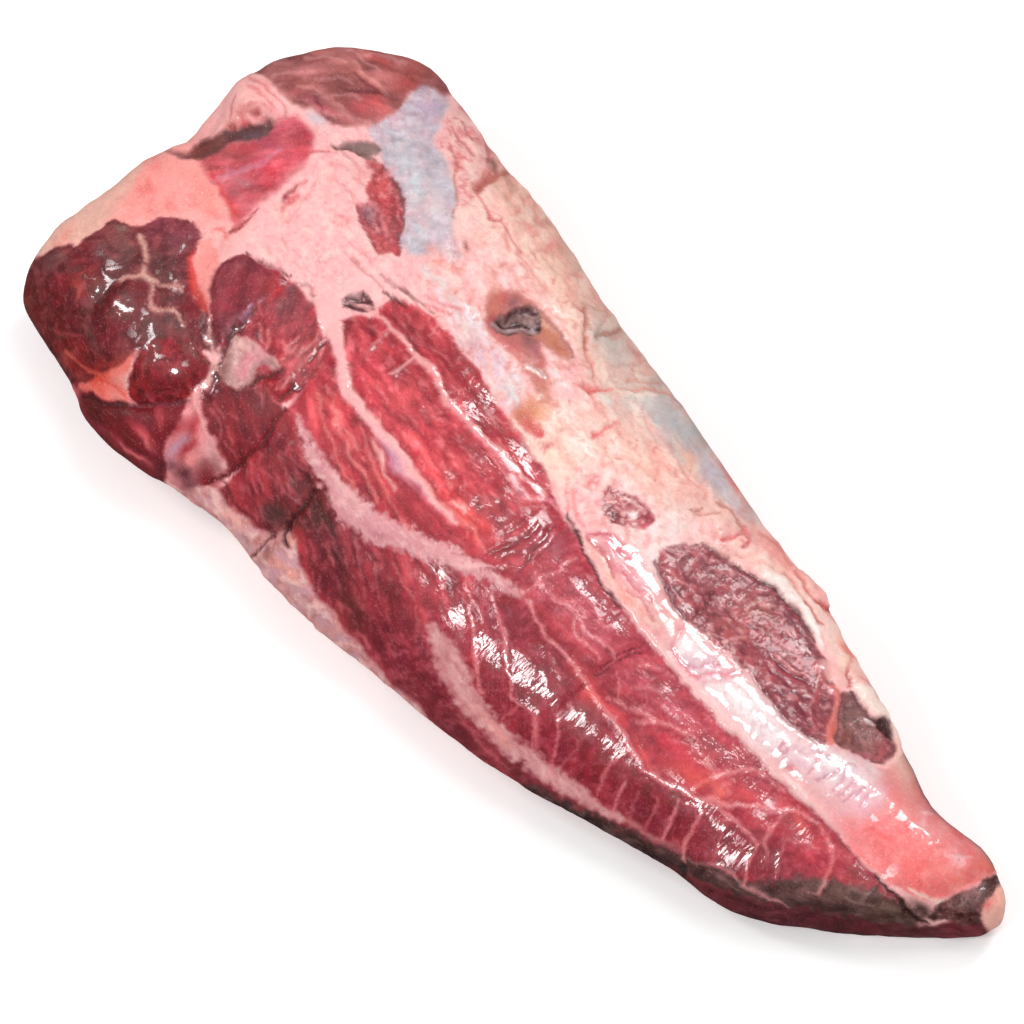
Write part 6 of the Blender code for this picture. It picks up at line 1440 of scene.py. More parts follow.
def lay_far_details(d):
    """Folds, holes and small bits of muscle in the far fat."""
    # vessel hole with its red and brown surround
    red = d.area(((100.6, 40), (101.6, 43.4), (105, 44.8), (110, 45.8), (116, 45.6), (122, 44.8),
        (127.4, 43.4), (129.4, 41.4), (126, 39.8), (121, 39.4), (118.6, 38.8), (122, 37.4), (126, 35.4),
        (130, 32.8), (133, 29.6), (132, 27), (127, 29.4), (122, 30.6), (114, 31.6), (108, 31.8),
        (104.6, 33), (102.6, 36)), (204, 124, 114), soft=1.0, fat=0.3, wet=0.75, height=-0.3, rim=4,
        ragged=0.5, seed=5)
    d.dabs((((101.6, 42), (1.4, 1.6), 0, (226, 150, 120), 0.8),
        ((104, 41.6), (2, 2.4), 0, (206, 98, 96), 0.85),
        ((107.4, 42.4), (2.4, 2), 20, (146, 78, 88), 0.85),
        ((104.6, 37.6), (2, 2.6), 0, (216, 124, 104), 0.8), ((106.6, 35), (2, 1.6), 0, (198, 90, 92), 0.8),
        ((122, 42.6), (5, 1.7), -2, (206, 132, 104), 0.95), ((124.6, 42), (2, 1), 0, (190, 110, 84), 0.8),
        ((118, 44.4), (4, 0.7), 0, (246, 200, 170), 0.7),
        ((117.4, 37.4), (3, 1.8), -20, (148, 102, 102), 0.9),
        ((121.6, 36), (3.4, 1.4), -22, (176, 92, 100), 0.85),
        ((124.6, 34.6), (2, 1.2), -24, (204, 112, 108), 0.7),
        ((114.6, 34), (4, 1.4), -6, (204, 108, 108), 0.8), ((118, 32), (5, 1), -8, (226, 132, 126), 0.7),
        ((110, 32.6), (4, 0.9), -4, (222, 120, 124), 0.8),
        ((129.6, 31.6), (2.4, 1.2), -30, (214, 140, 116), 0.8),
        ((131.4, 28.8), (1.6, 1.8), 0, (222, 158, 138), 0.8)), within=red)
    hole = d.area(((106.8, 34.2), (107.4, 37), (108.4, 40.4), (110.4, 43.4), (112.8, 45.4), (115.4, 45),
        (117.6, 43.4), (117.8, 41), (116.4, 39), (113.4, 36.4), (110.4, 34), (108, 33)), (132, 98, 94),
        soft=0.6, wet=0.95, fat=0.05, height=-1.0, rim=2)
    d.mottle(hole, (86, 50, 54), 0.8, 1.6, 110, cover=0.42, turn=45, stretch=1.8, height=-0.15)
    d.mottle(hole, (198, 166, 166), 0.6, 1.3, 111, cover=0.24, turn=45, stretch=1.6, height=0.2)
    d.stroke(((108.8, 35.6), (111, 38), (113.4, 40.6), (116.4, 43)), 0.62, (38, 16, 20), share=0.95,
        height=-0.9, seed=240)
    d.stroke(((109, 38), (110, 40.6), (112, 43.2), (114.4, 44.6)), 0.4, (80, 40, 48), share=0.85,
        height=-0.4, broken=0.2, seed=239)
    # the pale bands along the slit's lip: painted glints over raised ridges
    d.stroke(((107.2, 34), (109.6, 34.8), (112, 37), (114.4, 39), (117, 40.8)), 0.5, (206, 176, 178),
        share=0.8, height=0.6, broken=0.2, seed=241)
    d.stroke(((109.4, 36.8), (111.8, 39.4), (114, 41.8)), 0.3, (186, 150, 146), share=0.7, height=0.3,
        broken=0.2, seed=238)
    d.dab((115.4, 41.6), (0.9, 1.2), 30, (232, 220, 222), 0.85)
    d.stroke(((113, 45.6), (117, 45.8), (122, 45), (127, 43.8), (129, 42.4)), 0.3, (150, 90, 78),
        share=0.6, height=-0.3, seed=242)
    d.stroke(((117, 40.4), (121, 40.2), (126, 40.6), (128.6, 41.6)), 0.3, (214, 140, 110), share=0.6,
        height=-0.2, seed=237)
    # cream-white wedge: partly pale fat, partly painted glint
    d.area(((120.8, 31.6), (123.6, 33), (126.6, 34.2), (128.4, 34), (127.6, 32.4), (125, 31.8)),
        (250, 232, 226), soft=0.4, share=0.9, fat=0.85, height=0.5, rim=1.5)
    d.stroke(((122.4, 32.4), (125, 33.2), (127.6, 33.6)), 0.25, (176, 110, 110), share=0.6, height=-0.3,
        broken=0.4, seed=243)
    # rust-coloured hollow
    d.dab((131.4, 24.4), (2.8, 3.6), 0, (218, 140, 104), 0.85, height=-0.3)
    d.dab((133.4, 20.4), (4.2, 2.2), 0, (206, 88, 82), 0.85, height=-0.36)
    d.dab((137, 20.6), (1.4, 1.6), 0, (214, 78, 88), 0.8)
    d.dab((130, 20.6), (1.8, 2.4), 0, (196, 116, 88), 0.8)
    d.dab((134.6, 25), (2, 2.4), 0, (238, 176, 140), 0.6)
    d.stroke(((129.6, 18.6), (133, 17.6), (137, 17.6), (138.8, 19.6), (138.4, 22.2), (136.4, 23.6)), 0.5,
        (254, 222, 208), share=0.85, height=0.5, seed=244)
    d.dab((141, 19.6), (0.7, 1.8), -12, (198, 78, 84), 0.85, height=-0.4)
    d.stroke(((142.4, 21.6), (141.4, 19), (142, 17.4)), 0.25, (226, 130, 128), share=0.6, seed=236)
    d.dab((130.6, 28.4), (1.1, 0.8), 30, (250, 222, 214), 0.8)
    # red and brown folds
    for k, (points, width, colour, share,
            height) in enumerate(((((81, 68.6), (79.4, 66), (78.4, 63), (78.8, 60), (79.6, 57.4)), 0.8,
            (188, 100, 88), 0.75, -1.2), (((74, 66.6), (76, 67.2), (78.6, 66.4)), 0.6, (130, 82, 74), 0.7,
            -0.7), (((79.4, 57.6), (82, 56.6), (85, 55.8), (88, 57), (92, 56.4), (96, 54.6), (99, 54.4)),
            0.35, (216, 112, 112), 0.65, -0.5),
            (((84, 56.4), (86.4, 55), (88.4, 57.2)), 0.3, (186, 74, 84), 0.6, -0.4),
            (((92, 55.6), (94, 53.4), (96.6, 52)), 0.5, (232, 130, 122), 0.6, -0.3),
            (((99, 53.6), (104, 52.2), (109, 51.6), (113, 52.2)), 0.3, (236, 156, 142), 0.45, -0.3),
            (((122, 54.6), (124.6, 53), (127, 50.8), (128.8, 48.4)), 0.42, (186, 116, 100), 0.7, -0.8),
            (((119.6, 54), (123, 53.4), (126, 52.6), (128.6, 51.6)), 0.3, (196, 138, 120), 0.5, -0.4),
            (((128.6, 49.6), (129.8, 47.6), (130.8, 46.4)), 0.6, (194, 96, 82), 0.75, -0.7),
            (((130.6, 46.2), (134, 44.4), (137.4, 42.8), (138.8, 41.2)), 0.3, (222, 130, 114), 0.55, -0.5),
            (((134.4, 60.6), (133.6, 57.4), (132, 54), (130.8, 50.8)), 0.7, (176, 116, 100), 0.75, -1.0),
            (((129.4, 55.6), (130.4, 53), (131.2, 50.4)), 0.4, (176, 150, 142), 0.6, -0.4),
            (((136.4, 58.6), (134.6, 56), (133.4, 53)), 0.3, (206, 140, 124), 0.6, -0.3),
            (((128, 58.6), (124.6, 56.4), (121, 54.8)), 0.35, (196, 146, 128), 0.5, -0.4),
            (((145, 45), (149, 48.4), (153, 51.4), (156.6, 53)), 0.5, (226, 140, 122), 0.65, -0.35),
            (((144.4, 47.4), (148, 50.4), (152, 53)), 0.4, (216, 138, 122), 0.5, -0.3),
            # peach-white crest: painted highlight along a raised fold
            (((146.4, 44.6), (150.6, 47.8), (154, 50)), 0.35, (252, 222, 204), 0.7, 0.5),
            (((143, 50), (146, 53), (150, 55)), 0.35, (232, 166, 146), 0.5, -0.3),
            (((139, 48), (142, 51), (144.6, 54)), 0.35, (190, 150, 140), 0.45, -0.3),
            (((136.6, 37.4), (138.6, 39.6), (140.2, 41.4), (143, 43.6)), 0.5, (228, 104, 100), 0.7, -0.5),
            (((138.8, 38.4), (140, 40.4)), 0.5, (214, 84, 82), 0.6, -0.3),
            (((134.6, 36.4), (136.4, 38), (137.6, 39.4)), 0.3, (232, 146, 138), 0.5, -0.2),
            (((148.6, 29.6), (148.8, 32.4), (150, 35.4), (151.2, 38)), 0.45, (232, 116, 112), 0.65, -0.4),
            (((148.4, 30.4), (148.9, 33)), 0.7, (224, 92, 92), 0.6, -0.2),
            (((184, 34), (186, 36), (188.4, 38.6)), 0.4, (196, 112, 108), 0.55, -0.5),
            (((193.6, 33.6), (195.6, 36.4), (197.6, 39), (197, 40.4)), 0.5, (226, 118, 118), 0.65, -0.6),
            (((198, 36.6), (199.6, 37.4), (199.4, 39.8), (196.4, 40)), 0.45, (226, 110, 110), 0.6, 0.4),
            (((186, 41), (191, 41), (197, 39.4)), 0.35, (214, 138, 132), 0.5, -0.4),
            (((156, 44), (160, 42), (165, 40.6)), 0.35, (236, 180, 164), 0.5, -0.3),
            (((104, 57.6), (112, 56.6), (120, 54.8)), 0.3, (222, 160, 142), 0.4, -0.3),
            (((104, 47), (110, 46.8), (117, 47), (123, 50), (127, 50.4)), 0.3, (236, 166, 152), 0.45,
            -0.3), (((86, 41), (90, 39.6), (95, 36.4), (99, 34.4)), 0.3, (240, 168, 162), 0.4, -0.3),
            (((83, 35.4), (84.6, 37), (84, 38.8)), 0.35, (226, 130, 124), 0.6, -0.3),
            (((88, 27), (91.6, 28.6), (95, 30.2), (98, 30.4)), 0.4, (228, 120, 124), 0.6, -0.3),
            (((90, 25.4), (93.6, 27.4), (97, 28.4)), 0.35, (220, 96, 104), 0.6, -0.3),
            (((170, 41), (175, 39.6), (181, 39.6)), 0.3, (232, 150, 138), 0.5, -0.3),
            (((160, 33), (166, 34.4), (172, 33.6)), 0.3, (240, 170, 150), 0.45, -0.25),
            (((214, 41), (220, 39.6), (226, 39.2), (232, 38)), 0.35, (226, 126, 116), 0.5, -0.5),
            (((212, 38.4), (218, 38), (224, 36.6)), 0.35, (222, 138, 122), 0.45, -0.4),
            (((238, 36.8), (241, 34.6), (244.6, 31)), 0.4, (226, 132, 124), 0.5, -0.4))):
        d.stroke(points, width, colour, share=share, height=height, seed=250 + k)
    # small bits of muscle in the fat before the membrane
    around = d.area(((152, 12), (153, 22), (158, 26), (166, 28), (176, 27.6), (184, 24), (182, 18),
        (170, 15), (160, 10)), (248, 206, 200), soft=2.0, share=0.6)
    d.mottle(around, (232, 136, 138), 0.6, 2.4, 112, cover=0.38, height=-0.15)
    d.mottle(around, (255, 236, 230), 0.6, 2.2, 113, cover=0.32, height=0.2)
    bits = d.area(((160.4, 20.4), (160.8, 22.8), (164, 24.6), (166, 25.4), (171, 25.6), (176.4, 25.2),
        (176.6, 21.8), (174.6, 20.2), (172.6, 18.6), (169.6, 16.4), (164, 17.2), (162.6, 18.8)),
        (198, 104, 106), soft=0.5, fat=0.3, wet=0.9, height=-0.3, rim=2, ragged=0.5, seed=6)
    d.mottle(bits, (132, 48, 56), 0.8, 1.8, 114, cover=0.42, height=-0.2)
    d.mottle(bits, (246, 204, 200), 0.7, 1.4, 115, cover=0.26, height=0.2)
    d.dabs((((166.4, 18.4), (2.4, 1), -10, (112, 62, 66), 0.85),
        ((170.6, 25), (3.6, 0.5), -4, (150, 40, 54), 0.8),
        ((174.4, 23.8), (1.8, 0.6), -10, (146, 40, 54), 0.85),
        ((175.6, 22), (0.9, 1.6), 0, (206, 74, 84), 0.8),
        ((171.4, 21.4), (1.5, 1.3), 0, (252, 232, 228), 0.95),
        ((162.4, 21.6), (1.6, 1.2), 0, (206, 92, 92), 0.8)), within=bits)
    d.stroke(((164.6, 23.8), (168, 24.2), (173, 24.4)), 0.3, (252, 214, 208), share=0.8, height=0.3,
        seed=235)
    d.dab((157, 20.8), (1.8, 2.4), -20, (226, 104, 104), 0.85, ragged=0.35, seed=60, height=-0.3)
    d.dab((159.6, 18), (1.6, 1.6), 0, (252, 216, 214), 0.8)
    d.dab((178, 22.6), (1.5, 2), 0, (254, 240, 238), 0.8)
    d.dab((158.6, 15.4), (2, 1.2), 0, (236, 150, 150), 0.5)
    d.stroke(((155, 14.6), (158, 12), (161, 10.4), (164, 10)), 0.5, (236, 120, 124), share=0.6, seed=280)
    d.stroke(((150.6, 17), (153.6, 14), (157, 10.8)), 0.35, (226, 132, 130), share=0.5, height=-0.4,
        seed=281)
    d.dab((163.6, 14.4), (3, 1.4), -10, (240, 150, 146), 0.65, ragged=0.4, seed=61)
    d.dab((149.6, 12.4), (2.4, 1.4), -20, (232, 140, 140), 0.5)
    # the dark glossy hole at the head of the main muscle
    d.area(((71.6, 11), (73.6, 13.6), (76.4, 15.8), (79.6, 16), (81, 14.6), (79, 12), (76, 10), (73, 9.4)),
        (126, 72, 74), soft=0.45, fat=0.2, wet=0.95, height=-0.6, rim=1.5)
    for k, points in enumerate((((72.6, 11.6), (75, 12.4), (77.4, 14.4)),
            ((73.6, 10), (76.4, 11.6), (79, 13.6)), ((75, 15.2), (78, 15.6)))):
        d.stroke(points, 0.32, (58, 24, 28), share=0.85, height=-0.48, seed=285 + k)
    d.stroke(((74, 11.2), (77.4, 13.4), (80, 15.2)), 0.3, (216, 160, 158), share=0.7, height=0.5, seed=289)
    d.stroke(((72.6, 10.6), (73.4, 12.6), (75, 14)), 0.3, (226, 190, 190), share=0.7, height=0.4, seed=290)


def lay_gloss(d):
    """Where the juice stands on the surface and shines, and where it has dried."""
    meat = 1.0 - d.fat
    d.wet *= 1.0 - 0.5 * meat * smooth_step(285.0, 275.0, d.u)
    rows = (
        # lobes of the near corner
        ((21.6, -34), (2.2, 9), 12), ((37, -30), (3, 2.6), 0), ((43, -26.5), (2.4, 4), -30),
        ((44, -36), (2.4, 5), 24), ((52.8, -34.6), (1.4, 2.4), 0), ((28, -10.6), (3.4, 3), 0),
        ((35, -17.6), (3, 2), 20), ((30, -32), (3, 5), 0), ((14, -34), (2, 2), 0),
        ((50, -28), (4, 1.6), 0), ((56, -10.4), (1.4, 3), 0), ((56, -16.4), (1.2, 3), 0),
        ((60.6, 2.6), (4, 2), 0), ((65, 4), (2.6, 2), 0), ((74.6, -6), (4, 6), 0),
        ((78.2, -13.6), (1.4, 4), 0), ((72, -2), (1.6, 2), 0), ((62, -29), (3, 4), 0),
        # upper part of the main muscle
        ((97.2, 8.8), (1.0, 5), 8), ((87.4, 6), (0.9, 7), 0), ((118, 18), (5.4, 2.2), 0),
        ((136.6, 13), (4.6, 2.4), -4), ((144.4, 11.2), (5, 1.8), -6), ((121.6, 10.4), (3.4, 1.5), 20),
        ((123, 4.8), (5.6, 1.6), 0), ((131.6, 4.4), (5, 2), 0), ((111, 4), (3, 1.6), 0),
        ((141, -2), (2.6, 6.4), 0), ((147, -3.6), (3, 3.4), 40), ((137, -5), (3, 3), 0),
        ((128.6, -5), (3.4, 1.2), 0), ((153.6, 0), (3.4, 6), 0), ((157.6, -4), (1.6, 7), 0),
        ((154, -10.6), (4.4, 5), 0), ((90, -7.4), (4, 2), 0), ((99, -9), (3, 1.4), 0),
        ((92, 17), (4, 2), 0),
        ((118, 13.4), (4, 1.4), 0), ((166, -6), (3, 4), 0), ((173, -4.4), (3, 2.4), 0),
        ((182, -1.6), (5, 2), 0), ((176, -1), (4, 2), 0), ((189, -2.6), (3, 1.6), 0),
        ((210.6, -6), (2, 2.4), 0), ((218, -9.6), (6, 1.6), 0), ((230, -9.4), (6, 1.6), 0),
        ((228, -13.6), (3.4, 2), 0),
        ((238, -6), (4, 2), 0), ((247, -10.8), (6, 1.1), 4), ((246, -5), (6, 1.6), 0),
        ((262, -10), (4, 3), 0), ((253, -15), (2, 2), 0),
        # along the near shoulder
        ((143.6, -27.4), (3.4, 3), 40), ((154.4, -31.4), (3, 3), 0), ((163, -31), (3, 2), 0),
        ((168, -32), (4.6, 2), 14), ((173, -29), (3, 2.4), 40), ((177, -24), (2.4, 3), -20),
        ((178, -31), (2, 3), 0), ((181.6, -30), (1.8, 5.4), 0), ((185.4, -31), (2.2, 4.4), 0),
        ((189.4, -27.6), (1.8, 6), 0), ((173, -34), (3, 2), 0), ((197, -31), (2.6, 7), -6),
        ((201, -25.6), (3, 2), 0), ((203.4, -31.6), (3.4, 2.4), 10), ((208.6, -28), (2.6, 3.4), -40),
        ((211.6, -34.6), (2.4, 3), 0), ((212.6, -28), (1.2, 4.4), 0), ((217.6, -30), (3.4, 2.4), 0),
        ((223.6, -30), (4.4, 3.6), 0), ((229, -28.4), (2.4, 5), 0), ((233, -26.4), (3, 4), 30),
        ((238, -26), (2.6, 3), 0), ((241.4, -25), (1.8, 4), 0), ((247.4, -24.6), (3.4, 2.6), 0),
        ((256, -24.6), (2.4, 4.6), -34), ((251.6, -31), (2.4, 3), -30), ((262, -21), (3, 2.4), 0),
        # the tip
        ((288, -8.6), (3, 2.4), 0), ((283, -6.6), (5, 2), 0), ((248, -38.6), (2.4, 2.4), 0),
        ((310, 6), (4, 7), 0), ((300, -7), (5, 2), 0))
    for centre, radii, turn in rows:
        d.dab(centre, radii, turn, wet=1.0, share=0.95)
    for centre, radii, turn in (((272, 0), (10, 4), 0), ((281, 3), (10, 8), 0), ((292, 4), (9, 8), 0),
            ((303, 4), (5, 8), 0), ((186, 4), (14, 3), -8), ((224, -1.6), (24, 1.8), -3),
            ((258, -1.6), (14, 1.8), 0)):
        d.dab(centre, radii, turn, wet=0.3, share=0.95)
    for centre, radii, turn in (((273.6, 9), (4, 4), 0), ((287, 14.6), (5, 2.6), 0),
            ((299, 15), (4, 2), 0)):
        d.dab(centre, radii, turn, wet=0.95, share=0.9)


def dress(u, v):
    """Everything, in order: the large tissues, their texture, then the details that lie over them."""
    d = Dressing(u, v)
    fine = Streaks(0.5, 0.5, 9.0, 41)
    broad = Streaks(0.8, 1.6, 22.0, 43)
    fine_at, broad_at = fine.at(u, v), broad.at(u, v)
    lay_far_side(d)
    lay_main_muscle(d)
    lay_left_lobes(d)
    lay_thick_end(d)
    lay_dark_edge(d)
    # the texture of the muscle: dark and pale bundles along the fibres, and blotches of tone
    meat = 1.0 - d.fat
    smooth = smooth_step(140.0, 165.0, u) + smooth_step(60.0, 40.0, u) * smooth_step(10.0, 0.0, v)
    thready = meat * (1.0 - 0.6 * np.clip(smooth, 0, 1))
    shade = 1.0 + thready * (0.06 * fine_at + 0.04 * broad_at) + meat * (0.09 * cloud(u, v, 14.0, 900)
        + 0.08 * cloud(u, v, 4.0, 905))
    d.colour *= np.clip(shade, 0.6, 1.5)[..., None]
    d.colour *= 1.0 - meat[..., None] * np.array((0.0, 0.09, 0.04))
    shoulder = meat * smooth_step(146.0, 170.0, u) * smooth_step(-13.0, -20.0, v)
    d.colour *= 1.0 - shoulder[..., None] * np.array((0.13, 0.2, 0.16))
    d.colour *= 1.0 - (meat * smooth_step(90.0, 70.0, u)
        * smooth_step(-14.0, -20.0, v))[..., None] * np.array((0.08, 0.12, 0.10))
    d.lay(thready * 0.24 * smooth_step(1.2, 2.4, fine_at + 0.3 * broad_at), (226, 140, 138))
    d.lay(thready * 0.24 * smooth_step(-1.2, -2.6, fine_at + 0.3 * broad_at), (84, 22, 30))
    d.height += thready * (0.04 * fine_at + 0.05 * broad_at)
    # the texture of the fat: soft lobules and faint blood vessels
    d.colour *= (1.0 + d.fat * (0.035 * cloud(u, v, 9.0, 920) + 0.03 * cloud(u, v, 2.4, 925)))[..., None]
    d.lay(d.fat * 0.2 * smooth_step(0.7, 1.0, ridges(d.wu, d.wv, 9.0, 930))
        * smooth_step(-0.2, 0.5, cloud(u, v, 18.0, 935)), (226, 110, 112))
    lay_far_silver(d)
    lay_membrane(d)
    lay_spindle(d)
    lay_far_details(d)
    lay_main_lines(d)
    lay_gloss(d)
    meat = 1.0 - d.fat
    lobes = smooth_step(62.0, 56.0, u) * smooth_step(-4.0, -8.0, v)
    d.wrinkle(meat, (0.1, 0.8, 0.4))
    d.wrinkle(meat * smooth_step(152.0, 160.0, u), (0.5, 0.4, 0.6))
    d.wrinkle(smooth_step(158.0, 168.0, u) * smooth_step(-17.0, -21.0, v + 0.12 * (u - 200.0) * (u < 200)),
        (1.0, 0.0, 0.25))
    d.wrinkle(smooth_step(68.0, 72.0, u) * smooth_step(82.0, 78.0, u) * smooth_step(0.0, -4.0, v)
        * smooth_step(-24.0, -20.0, v), (0.6, 0.2, 0.5))
    d.wrinkle(meat * lobes, (0.05, 0.10, 0.16))
    d.wrinkle(smooth_step(160.0, 170.0, u) * d.fat
        * smooth_step(-3.0, -1.0, v + 0.06 * (u - 200.0) * (u > 200)) * smooth_step(19.0, 15.0, v),
        (0.25, 0.1, 0.28))
    d.wrinkle(smooth_step(180.0, 184.0, u) * smooth_step(256.0, 250.0, u) * smooth_step(10.0, 12.0, v)
        * meat, (0.3, 0.4, 0.75))
    near_cell, next_cell = cells(d.wu, d.wv * 1.25, 6.0, 910)
    lobule = smooth_step(0.0, 0.4, next_cell - near_cell) * smooth_step(-0.5, 0.5, cloud(u, v, 15.0, 940))
    plain = smooth_step(0.75, 1.0, d.fat) * smooth_step(0.8, 0.6, d.wet)
    d.height += plain * (0.22 * lobule + 0.3 * cloud(u, v, 8.0, 945))
    return d


# ======================================================================================
# The mesh
# ======================================================================================
FINE = 0.80  # mm, the size of the faces where the piece is seen most
FINEST_COUNT = 197000  # triangles in the finished piece
SMOOTHING_ROUNDS = 26  # enough to take the CAD solid's facets off


def link(name, data):
    piece = bpy.data.objects.new(name, data)
    scene.collection.objects.link(piece)
    return piece


def apply_modifiers(piece):
    flat = piece.evaluated_get(bpy.context.evaluated_depsgraph_get())
    mesh = bpy.data.meshes.new_from_object(flat)
    piece.modifiers.clear()
    piece.data = mesh


def points_of(mesh):
    points = np.empty(len(mesh.vertices) * 3)
    mesh.vertices.foreach_get("co", points)
    return points.reshape(-1, 3)


def put_points(mesh, points):
    mesh.vertices.foreach_set("co", points.reshape(-1).astype(np.float32))
    mesh.update()


def normals_of(mesh):
    normals = np.empty(len(mesh.vertices) * 3, np.float32)
    mesh.vertex_normals.foreach_get("vector", normals)
    return normals.reshape(-1, 3).astype(float)


def edges_of(mesh):
    edges = np.empty(len(mesh.edges) * 2, np.int32)
    mesh.edges.foreach_get("vertices", edges)
    return edges.reshape(-1, 2)


def averaged(values, edges, rounds, amount=0.6):
    """The values at the points of a mesh, evened out between neighbours."""
    values = values.copy()
    count = len(values)
    a, b = edges[:, 0], edges[:, 1]
    neighbours = np.maximum(np.bincount(a, minlength=count) + np.bincount(b, minlength=count), 1)
    columns = values.reshape(count, -1)
    for _ in range(rounds):
        for k in range(columns.shape[1]):
            column = columns[:, k]
            total = np.bincount(a, column[b], count) + np.bincount(b, column[a], count)
            columns[:, k] = column + amount * (total / neighbours - column)
    return values


def smoothed(points, edges, rounds):
    """Takes the facets off a form without shrinking it."""
    soft = averaged(points, edges, rounds)
    return soft - averaged(soft - points, edges, rounds)


def fine_mesh(node):
    """A closed copy of the CAD solid in small faces, finest where the sheet faces it."""
    piece = link("meat", node.data.copy())
    form = bmesh.new()
    form.from_mesh(piece.data)
    bmesh.ops.remove_doubles(form, verts=form.verts, dist=1e-6)
    form.to_mesh(piece.data)
    form.free()
    remesh = piece.modifiers.new("remesh", "REMESH")
    remesh.mode = "VOXEL"
    remesh.voxel_size = FINE * MM
    apply_modifiers(piece)
    points, edges = points_of(piece.data), edges_of(piece.data)
    points = smoothed(points, edges, SMOOTHING_ROUNDS)
    points[:, 2] = np.maximum(points[:, 2], 0.0)
    put_points(piece.data, points)
    facing = normals_of(piece.data) @ SHEET_FACE
    hidden = smooth_step(0.08, -0.12, facing) + 0.6 * (points[:, 2] < 0.4 * MM)
    group = piece.vertex_groups.new(name="hidden")
    weights = np.clip(np.round(hidden, 1), 0.0, 1.0)
    for weight in np.unique(weights):
        if weight > 0:
            group.add(np.nonzero(weights == weight)[0].tolist(), float(weight), "REPLACE")
    triangles = sum(len(face.vertices) - 2 for face in piece.data.polygons)
    if triangles > FINEST_COUNT:
        fewer = piece.modifiers.new("fewer", "DECIMATE")
        fewer.ratio = FINEST_COUNT / triangles
        fewer.vertex_group = "hidden"
        fewer.vertex_group_factor = 1.0
        apply_modifiers(piece)
    piece.vertex_groups.clear()
    return piece


# ======================================================================================
# The sides and the underside, which the sheet doesn't reach
# ======================================================================================
def dress_hidden(x, y, z):
    """Colour, wetness, height and share of bare muscle of the hidden sides, in millimetres."""
    round_it = np.arctan2(z - 22.0, y) / math.pi  # 0 on the far side, -0.5 below, -1 or 1 on the near side
    across = round_it * 150.0
    along, wander = x + 6.0 * noise(x, across, 22.0, 950), across + 6.0 * noise(x, across, 22.0, 951)
    colour = np.empty(x.shape + (3,))
    colour[:] = (236, 172, 164)

    def mix(mask, tone):
        colour[:] += (np.array(tone, float) - colour) * np.clip(mask, 0, 1)[..., None]

    mix(smooth_step(-0.1, 0.6, cloud(along, wander, 24.0, 973)), (216, 166, 152))
    mix(0.8 * smooth_step(0.1, 0.7, cloud(along, wander, 15.0, 976)), (248, 170, 164))
    mix(0.6 * smooth_step(0.2, 0.7, cloud(along, wander, 20.0, 979)), (222, 128, 130))
    first, second = cells(along, wander * 1.3, 9.0, 985)
    height = 0.7 * smooth_step(0.0, 0.5, second - first) + 0.6 * cloud(along, wander, 16.0, 988)
    wet = 0.5 + 0.15 * cloud(along, wander, 12.0, 991)
    bare = 0.62 - 0.30 * smooth_step(-10.0, 30.0, y) + 0.30 * smooth_step(-10.0, -45.0,
        y) + 0.1 * smooth_step(70.0, 110.0, x) - 0.14 * smooth_step(-130.0, -145.0, x)
    return colour, bare, wet, height


# ======================================================================================
# Putting the dressing on the mesh
# ======================================================================================
BRIGHTNESS = 1.14  # how bright the light makes a white surface
GLOSS_VEIL = 0.012  # what the gloss adds to every colour


def linear(colour):
    share = np.clip(colour / 255.0, 0.0, 1.0)
    return np.where(share <= 0.04045, share / 12.92, ((share + 0.055) / 1.055) ** 2.4)


def add_values(mesh, name, values):
    layer = mesh.attributes.new(name, "FLOAT", "POINT")
    layer.data.foreach_set("value", values.astype(np.float32))


def dressed(piece):
    mesh = piece.data
    points, normals, edges = points_of(mesh), normals_of(mesh), edges_of(mesh)
    broad = averaged(normals, edges, 12)
    broad /= np.linalg.norm(broad, axis=1)[:, None]
    u = points @ SHEET_U / MM + SHEET_ORIGIN[0]
    v = points @ SHEET_V / MM + SHEET_ORIGIN[1]
    facing = broad @ SHEET_FACE
    shown = smooth_step(-0.18, 0.0, facing + 0.06 * noise(u, v, 8.0, 31))
    d = dress(u, v)
    colour, bare, wet, height = dress_hidden(*(points.T / MM))
    bare *= 1.0 - shown
    fat = np.ones(len(points))
    colour += (d.colour - colour) * shown[:, None]
    fat += (d.fat - fat) * shown
    wet += (d.wet - wet) * shown
    height += (d.height - height) * shown
    # small unevenness of a moist surface, stronger on muscle
    x, y, z = points.T / MM
    skin_u, skin_v = x - 0.35 * z, y + 0.5 * z
    grain = cloud(u * 1.25, v * 0.5, 3.0, 40, 2)
    height += wet * 0.16 * grain + 0.35 * cloud(skin_u, skin_v, 13.0, 43, 2)
    free = smooth_step(0.0, 2.5, points[:, 2] / MM)
    steep = np.clip(height, -3.5, 3.0) * free
    moved = points + broad * (steep * MM)[:, None]
    moved[:, 2] = np.maximum(moved[:, 2], 0.0)
    put_points(mesh, moved)
    tint = mesh.color_attributes.new("tint", "FLOAT_COLOR", "POINT")
    rgba = np.ones((len(points), 4), np.float32)
    veil = GLOSS_VEIL * (0.8 + 1.4 * smooth_step(0.35, 0.95, wet))
    rgba[:, :3] = np.maximum((linear(colour) - veil[:, None]) / BRIGHTNESS, 0.003)
    tint.data.foreach_set("color", rgba.reshape(-1))
    add_values(mesh, "wet", np.clip(wet, 0, 1))
    add_values(mesh, "fat", np.clip(fat, 0, 1))
    add_values(mesh, "bare", np.clip(bare, 0, 1))
    ripple = mesh.attributes.new("ripple", "FLOAT_VECTOR", "POINT")
    ripple.data.foreach_set("vector", (d.ripple * shown[:, None]).astype(np.float32).reshape(-1))
    twice = 2.0 * fibre_turn(u, v) * shown
    fibre = mesh.attributes.new("fibre", "FLOAT_VECTOR", "POINT")
    fibre.data.foreach_set("vector",
        np.column_stack((np.cos(twice), np.sin(twice), 0.0 * twice)).astype(np.float32).reshape(-1))
    mesh.shade_smooth()
    return piece


